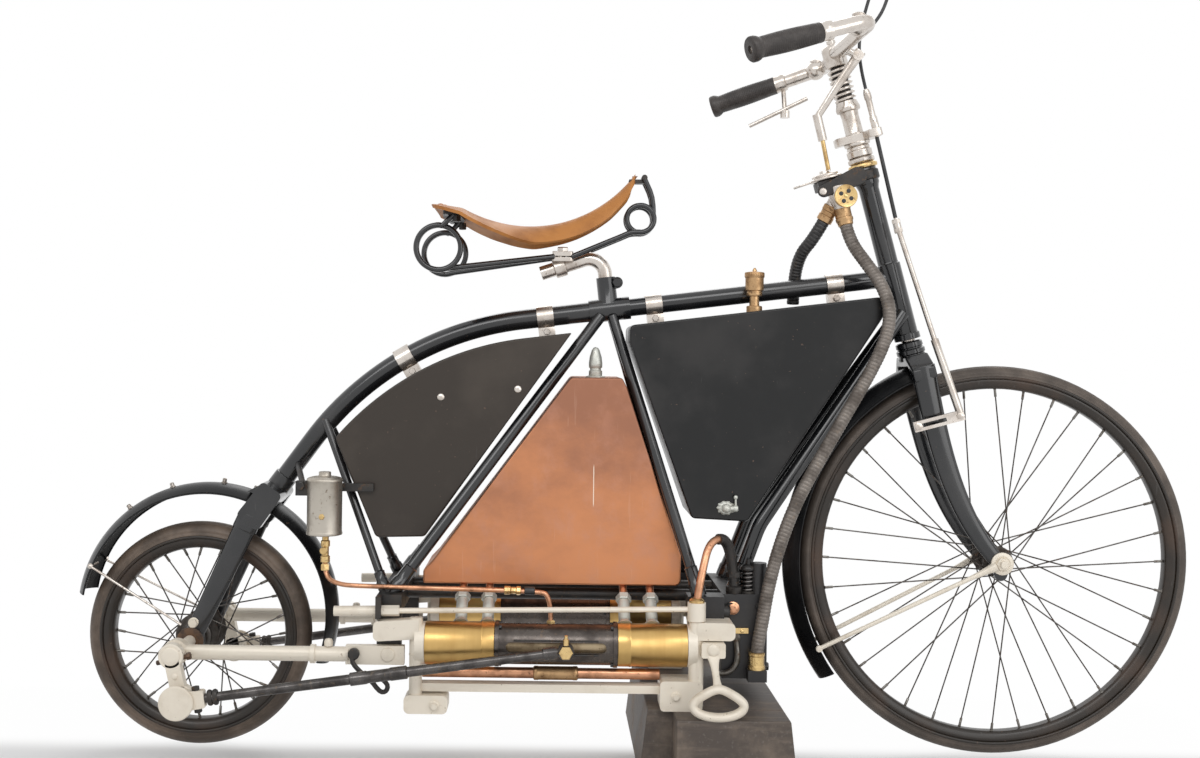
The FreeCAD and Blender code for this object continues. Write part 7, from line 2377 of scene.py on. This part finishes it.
@dataclass
class MixingValve:
    """Surface valve behind the head: black bracket, nickel body, pierced brass disc, lid, lever and unions."""

    layout: Layout
    below_top: float = 0.048
    holes: int = 4

    def bracket(self, shop: Workshop, t: float) -> None:
        """Make the black clamp round the head and its lug.

        Args:
            shop: Makes the objects.
            t: Its distance up the head.
        """
        place = self.layout
        shell = Shell().turned(place.head(t + 0.0195), place.head_up,
            mm((17.8, 0), (21.2, 1), (21.6, 3), (21.6, 14), (21.2, 16), (17.8, 17)), 48)
        lug = link_outline(place.head(t + 0.019, -0.078), 0.01, place.head(t + 0.028, -0.022), 0.0145)
        shell.plate(lug, -0.043, -0.037)
        arm = np.array([place.head(t + a, e, 0.005) for a, e in ((0.0205, -0.015), (0.0355, -0.015), (0.0355, -0.083),
            (0.0205, -0.083))])
        shell.prism(arm, -LEFT * 0.0425)
        shop.piece("valve_bracket", shell, "iron", "root", ["mixing_valve"], 38, 0.0018)

    def build(self, shop: Workshop) -> None:
        """Make the valve and its unions.

        Args:
            shop: Makes the objects.
        """
        place = self.layout
        t = place.head_length - self.below_top
        self.bracket(shop, t)
        axis = place.head(t - 0.014, -0.056, -0.03) - place.head(t + 0.022, -0.054, -0.03)
        body = Shell().turned(place.head(t + 0.022, -0.054, -0.03), axis,
            mm((14.8, 0), (16.2, 1.6), (16.2, 27), (15, 30), (13.8, 36.2)), 44)
        body.turned(place.head(t + 0.002, -0.05, -0.03), -LEFT, mm((16, 0), (16.4, 19.5), (15.6, 22.2)), 44)
        out = place.head(t + 0.002, -0.06, -0.026)
        away = unit(place.head(t - 0.026, -0.086, -0.018) - out)
        body.bar(out, out + away * 0.016, 0.0108, 32)
        lid = place.head(t + 0.0355, -0.066, -0.02)
        body.turned(lid, place.head_up, mm((24.4, 0), (26, 1), (26, 3.4), (22, 5.2), (20.6, 5.8), (20.6, 8.6),
            (18, 10), (8, 10.6), (7, 15), (3, 16)), 52)
        body.turned(place.head(t + 0.018, -0.08, -0.0425), -LEFT, mm((6, 0), (6, 2), (4.6, 3.4), (0.8, 3.8)), 24)
        stem = np.linspace(place.head(t + 0.0385, -0.078, -0.023), place.head(t + 0.0355, -0.119, -0.023), 5)
        body.oval(stem, LEFT, place.head_up, np.linspace(0.0052, 0.0032, 5), np.full(5, 0.0019), 16)
        shop.piece("valve_body", body, "nickel", bevel=0.0006)
        face = place.head(t + 0.002, -0.05, -0.0515)
        disc = Shell().turned(face, -LEFT, mm((16.4, 0), (17.8, 0.8), (17.8, 3.4), (16.6, 4.4), (15, 4), (0.8, 4)), 48)
        disc.turned(face - LEFT * 0.0038, -LEFT, mm((2.6, 0), (2.6, 1), (0.6, 1.8)), 16)
        shop.piece("valve_disc", disc, "brass")
        # The holes are shallow black discs on the brass disc's face: painted shade standing for the dark openings.
        hole_shade_discs = Shell()
        for turn in (math.radians(50) + np.arange(self.holes) * math.tau / self.holes).tolist():
            spot = face - LEFT * 0.0036 + 0.0086 * (math.cos(turn) * place.head_ahead + math.sin(turn) * place.head_up)
            hole_shade_discs.turned(spot, -LEFT, mm((3.4, 0), (3.4, 0.6), (2.6, 0.7)), 20)
        shop.piece("valve_holes", hole_shade_discs, "cable")
        start = place.head(t - 0.014, -0.056, -0.03)
        along = unit(place.head(t - 0.04, -0.057, -0.034) - start)
        union = Shell().turned(start - along * 0.002, along, mm((12, 0), (13.6, 1), (13.6, 3.5), (13, 4.5), (12.8, 17),
            (13.6, 18), (13.6, 21.5), (12.4, 23.5), (11.6, 29), (10.4, 30)), 40)
        union.turned(out + away * 0.012, away, mm((10.4, 0), (12.4, 1), (12.4, 9), (11.4, 10), (11.4, 16), (12.4, 17),
            (12.4, 26), (10.4, 27.2)), 32)
        shop.piece("valve_unions", union, "bronze")
        end = at(place.case_x + 0.051, -0.1115, 0.15)
        ferrule = Shell().turned(end, UP, mm((11.8, 0), (12.8, 1), (12.8, 7), (11.6, 8.5), (11.6, 22), (12.4, 23),
            (12.4, 26.2), (10.6, 27.5)), 32)
        shop.piece("hose_ferrule", ferrule, "brass")


@dataclass
class Stirrups:
    """Footrests: a bolted plate, a stem that narrows and flares, and a loop with a pointed crown."""

    layout: Layout
    ahead: float = 0.229
    outer_y: float = -0.164
    out: float = 0.044
    half: float = 0.0365
    rise: float = 0.0165
    bar: float = 0.0066

    def build(self, shop: Workshop) -> None:
        """Make both stirrups.

        The loop's point at angle a is (w cos a (1 - 0.30 p), h (sin a + 0.45 p)), with p the cube of sin a
        where it is above nought.

        Args:
            shop: Makes the objects.
        """
        place = self.layout
        x, z = place.engine_x + self.ahead, place.engine_z
        shell = Shell()
        flat = corner_loop([(x - 0.017, z - 0.012), (x + 0.018, z - 0.012), (x + 0.018, z + 0.01),
            (x - 0.017, z + 0.01)], 0.003)
        shell.plate(flat, self.outer_y - 0.008, self.outer_y + 0.012)
        shell.turned(at(x, self.outer_y - 0.0078, z), -LEFT, mm((8.8, 0), (8.8, 2), (7.4, 3.2), (5.2, 4), (0.8, 4.1)),
            28)
        angle = round_angles(64)
        peak = np.maximum(np.sin(angle), 0) ** 3
        loop_y = self.outer_y - self.out
        centre = at(x + 0.004, loop_y, 0.12)
        loop = centre + np.stack([self.half * np.cos(angle) * (1 - 0.3 * peak), np.zeros(64),
            self.rise * (np.sin(angle) + 0.45 * peak)], axis=1)
        shell.tube(loop, self.bar, 16, guide=LEFT, loop=True, flat=1.25)
        stem = smooth_line(np.array([at(x, self.outer_y - 0.003, z - 0.006),
            at(x + 0.001, self.outer_y - 0.012, z - 0.018), at(x + 0.002, self.outer_y - 0.024, z - 0.032),
            at(x + 0.003, loop_y + 0.006, z - 0.044), centre + UP * (1.42 * self.rise)]), 8)
        share = np.linspace(0, 1, len(stem))
        wide = 0.0044 + 0.008 * (1 - share) ** 4 + 0.009 * share ** 5
        shell.oval(stem, AHEAD, unit(at(0, 1, -0.9)), wide, np.full(len(stem), 0.004), 24)
        shop.piece("stirrups", shell.mirrored(), "casting", "root", ["footrests"], 45)


# Hoses and cable


@dataclass
class CordRoute:
    """A cord: the points of its smooth line, in metres, and what it is made of."""

    name: str
    points: list[tuple[float, float, float]]
    radius: float
    finish: str
    stiffness: str
    body: str
    sides: int = 20

    def line(self) -> Array:
        """Points read from the cord's own spline."""
        return nurbs_path(self.points)


@dataclass
class Hoses:
    """Two armoured hoses from the valve, and the cable that loops over the bar."""

    layout: Layout
    hose_radius: float = 0.01
    cable_radius: float = 0.0026
    rib_pitch: float = 0.0056
    rib_height: float = 0.0008
    end_y: float = 0.1115
    end_z: float = 0.152
    end_back: float = 0.017

    def routes(self) -> list[CordRoute]:
        """The three routes, each with the points that the CAD part gives it.

        Returns:
            The routes.
        """
        head = self.layout.head
        case_front = self.layout.engine_x + self.layout.case_ahead + self.layout.case_length
        end_x = case_front - self.end_back
        start = head(0.202, -0.057, -0.034)
        leave = unit(start - head(0.228, -0.056, -0.03))
        x, _, z = start
        near = [start, start + leave * 0.028]
        near += [(x + ahead, y, z - drop) for ahead, y, drop in mm((28, -58, 62), (49, -74, 96), (60, -82, 134),
            (53, -88, 176), (29, -93, 226), (-5, -98, 284), (-46, -103, 354), (-84, -108, 422), (-110, -111, 490),
            (-126, -112, 552))]
        near += [(end_x + 0.007, -0.1125, self.end_z + 0.066), (end_x, -self.end_y, self.end_z + 0.028),
            (end_x, -self.end_y, self.end_z)]
        outlet = head(0.216, -0.086, -0.018)
        away = unit(outlet - head(0.244, -0.06, -0.026))
        x, _, z = outlet
        far = [outlet, outlet + away * 0.03, (x - 0.032, 0.004, z - 0.05), (x - 0.038, 0.024, z - 0.088),
            (x - 0.038, 0.03, z - 0.128)]
        loop = [head(*place) for place in mm((400, 28, -26), (440, 28, -26), (486, 40, -26), (532, 66, -27),
            (572, 92, -28), (588, 100, -55), (572, 98, -82), (538, 90, -84), (508, 74, -82), (488, 55, -80),
            (474, 32, -80))]
        return [CordRoute("hose_inlet", [tuple(p) for p in near], self.hose_radius, "armour", "stiff", "root"),
            CordRoute("hose_air", [tuple(p) for p in far], self.hose_radius, "dark_armour", "stiff", "root"),
            CordRoute("brake_cable", [tuple(p) for p in loop], self.cable_radius, "cable", "medium", "steering", 12)]

    def ribbed(self, line: Array) -> tuple[Array, Array]:
        """Even points along a line, with a radius that swells once for each turn of the armour.

        The radius is r - h + h |sin(pi s / pitch)| to the power 0.6, with s the distance along the line.

        Args:
            line: Points along the hose.

        Returns:
            The points along it and its radius at each.
        """
        path = evenly(line, self.rib_pitch / 6)
        s = np.linspace(0, 1, len(path)) * run_along(path)[-1]
        swell = np.abs(np.sin(math.pi * s / self.rib_pitch)) ** 0.6
        return (path, self.hose_radius - self.rib_height + self.rib_height * swell)

    def build(self, shop: Workshop) -> None:
        """Args:
            shop: Makes the objects.
        """
        for route in self.routes():
            line = route.line()
            if route.finish != "cable":
                path, radius = self.ribbed(line)
            else:
                path, radius = evenly(line, 0.004), route.radius
            shell = Shell().tube(path, radius, route.sides, guide=LEFT if route.name != "hose_air" else AHEAD)
            piece = shop.piece(route.name + "_run", shell, route.finish, route.body, [route.name])
            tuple(route.points[0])
            2.0 * route.radius


# Studio


@dataclass
class Studio:
    """Pale floor, soft lamps and the camera."""

    centre: Triple = (-0.136, -2.2, 0.622)
    lens: float = 41.8
    shift_x: float = 0.0417
    shift_y: float = -0.0217
    roll: float = -0.71
    floor_half: float = 14.0
    floor_colour: Colour = (0.8, 0.8, 0.8)
    # Painted shade band: across these two y values the floor turns from the lit grey floor on the near side to white
    # behind.
    shade: tuple[float, float] = (-0.075, 0.035)
    sensor: float = 36.0
    seen_level: float = 1.0
    light_level: float = 0.55

    def floor(self) -> None:
        """A wide floor, white to the camera behind the machine and far from it, that keeps the shadow on the near
        side. There a soft oval shows the lit grey floor instead of the white: a painted shadow pool, with a painted
        shade band across y at its back edge.
        """
        mesh = bpy.data.meshes.new("floor")
        h = self.floor_half
        mesh.from_pydata([(-h, -h, 0), (h, -h, 0), (h, h, 0), (-h, h, 0)], [], [(0, 1, 2, 3)])
        floor = bpy.data.objects.new("floor", mesh)
        bpy.context.scene.collection.objects.link(floor)
        paint = Painter("floor")
        x, y = (paint.node("ShaderNodeSeparateXYZ", inputs={0: paint.place()}, output=axis) for axis in (0, 1))
        # Painted shadow pool: in a soft oval on the near side of the machine, and below the painted shade band, the
        # camera sees mostly the lit grey floor; outside it, white.
        outside_painted_pool = paint.math("ABSOLUTE", y).clipped(0.3, 0.75) + paint.math("ABSOLUTE", x + 0.1).clipped(1, 1.7)
        share = (y.clipped(*self.shade) * 0.78 + outside_painted_pool + 0.14).clipped(0, 1)
        mottle = paint.noise(1.3, 2)
        paint.set(Base_Color=paint.blend(mottle * 0.04, self.floor_colour, (0.74, 0.74, 0.74)), Roughness=0.7)
        white = paint.node("ShaderNodeEmission", inputs={1: 1})
        lit = Socket(paint, paint.shader.outputs[0])
        mesh.materials.append(paint.surface(paint.node("ShaderNodeMixShader",
            inputs={0: paint.seen() * share, 1: lit, 2: white})))

    def world(self) -> None:
        """White to the camera and in reflections, and dimmer as a light."""
        world = bpy.data.worlds.new("studio")
        bpy.context.scene.world = world
        world.use_nodes = True
        net = Nodes(world.node_tree)
        plain, white = (net.node("ShaderNodeBackground", inputs={0: WHITE, 1: level})
            for level in (self.light_level, self.seen_level))
        mixed = net.node("ShaderNodeMixShader", inputs={0: net.seen(), 1: plain, 2: white})
        net.link(mixed, net.tree.nodes.new("ShaderNodeOutputWorld").inputs[0])

    def lamp(self, name: str, place: Triple, target: Triple, size: tuple[float, float], power: float) -> None:
        """Add a soft oblong lamp that faces a point.

        Args:
            name: The lamp's name.
            place: Where it stands.
            target: What it faces.
            size: Its width and height.
            power: Watts.
        """
        data = bpy.data.lights.new(name, "AREA")
        data.shape = "RECTANGLE"
        data.size, data.size_y = size
        data.energy = power
        lamp = bpy.data.objects.new(name, data)
        lamp.location = place
        aim = mathutils.Vector(target) - mathutils.Vector(place)
        lamp.rotation_euler = aim.to_track_quat("-Z", "Y").to_euler()
        bpy.context.scene.collection.objects.link(lamp)

    def camera(self) -> None:
        """The photograph's viewpoint."""
        data = bpy.data.cameras.new("camera")
        data.lens = self.lens
        data.sensor_width = self.sensor
        data.shift_x = self.shift_x
        data.shift_y = self.shift_y
        camera = bpy.data.objects.new("camera", data)
        camera.location = self.centre
        camera.rotation_euler = math.radians(90), math.radians(self.roll), 0
        bpy.context.scene.collection.objects.link(camera)
        bpy.context.scene.camera = camera

    def build(self) -> None:
        """Make the floor, the world, the lamps and the camera."""
        self.floor()
        self.world()
        self.lamp("key", (-0.4, -3.3, 3), (0, 0, 0.5), (5.2, 1.2), 66)
        self.lamp("fill", (2.4, -2.6, 1.2), (0, 0, 0.4), (2.2, 1.8), 20)
        self.lamp("back", (0.4, 2.6, 2.8), (0, 0, 0.6), (3, 1.6), 24)
        self.camera()
        bpy.context.scene.view_settings.view_transform = "Standard"


def main() -> None:
    logging.basicConfig(level=logging.INFO, format="%(message)s")
    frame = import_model()
    layout = read_layout(frame["record"])
    shop = Workshop(frame)
    front = WireWheel("front", "front_wheel", layout.front_axle, wheel_r=0.305, section_r=0.015, seat_r=0.287,
        inner_r=0.269, spokes=36, flange_r=0.024, flange_y=0.027, hub_half=0.033, hub_r=0.014, tyre_finish="tyre")
    rear = WireWheel("rear", "rear_wheel", layout.rear_axle, wheel_r=0.175, section_r=0.02, seat_r=0.152,
        inner_r=0.134, spokes=28, flange_r=0.034, flange_y=0.025, hub_half=0.036, hub_r=0.021, tyre_finish="rear_tyre")
    for assembly in (front, rear, Cranks(layout), ConnectingRod(layout, Side.NEAR), ConnectingRod(layout, Side.FAR),
            Guards(layout), FrameTubes(layout), FrontFork(layout), SteeringStem(layout), Controls(layout),
            Engine(layout), CaseFittings(layout), Tanks(layout), Saddle(layout), MixingValve(layout), Stirrups(layout),
            Hoses(layout)):
        assembly.build(shop)
    for node in ("plinth_back", "plinth_front"):
        shop.softened(node, "timber", 0.0025)
    Studio().build()


if __name__ == "__main__":
    main()
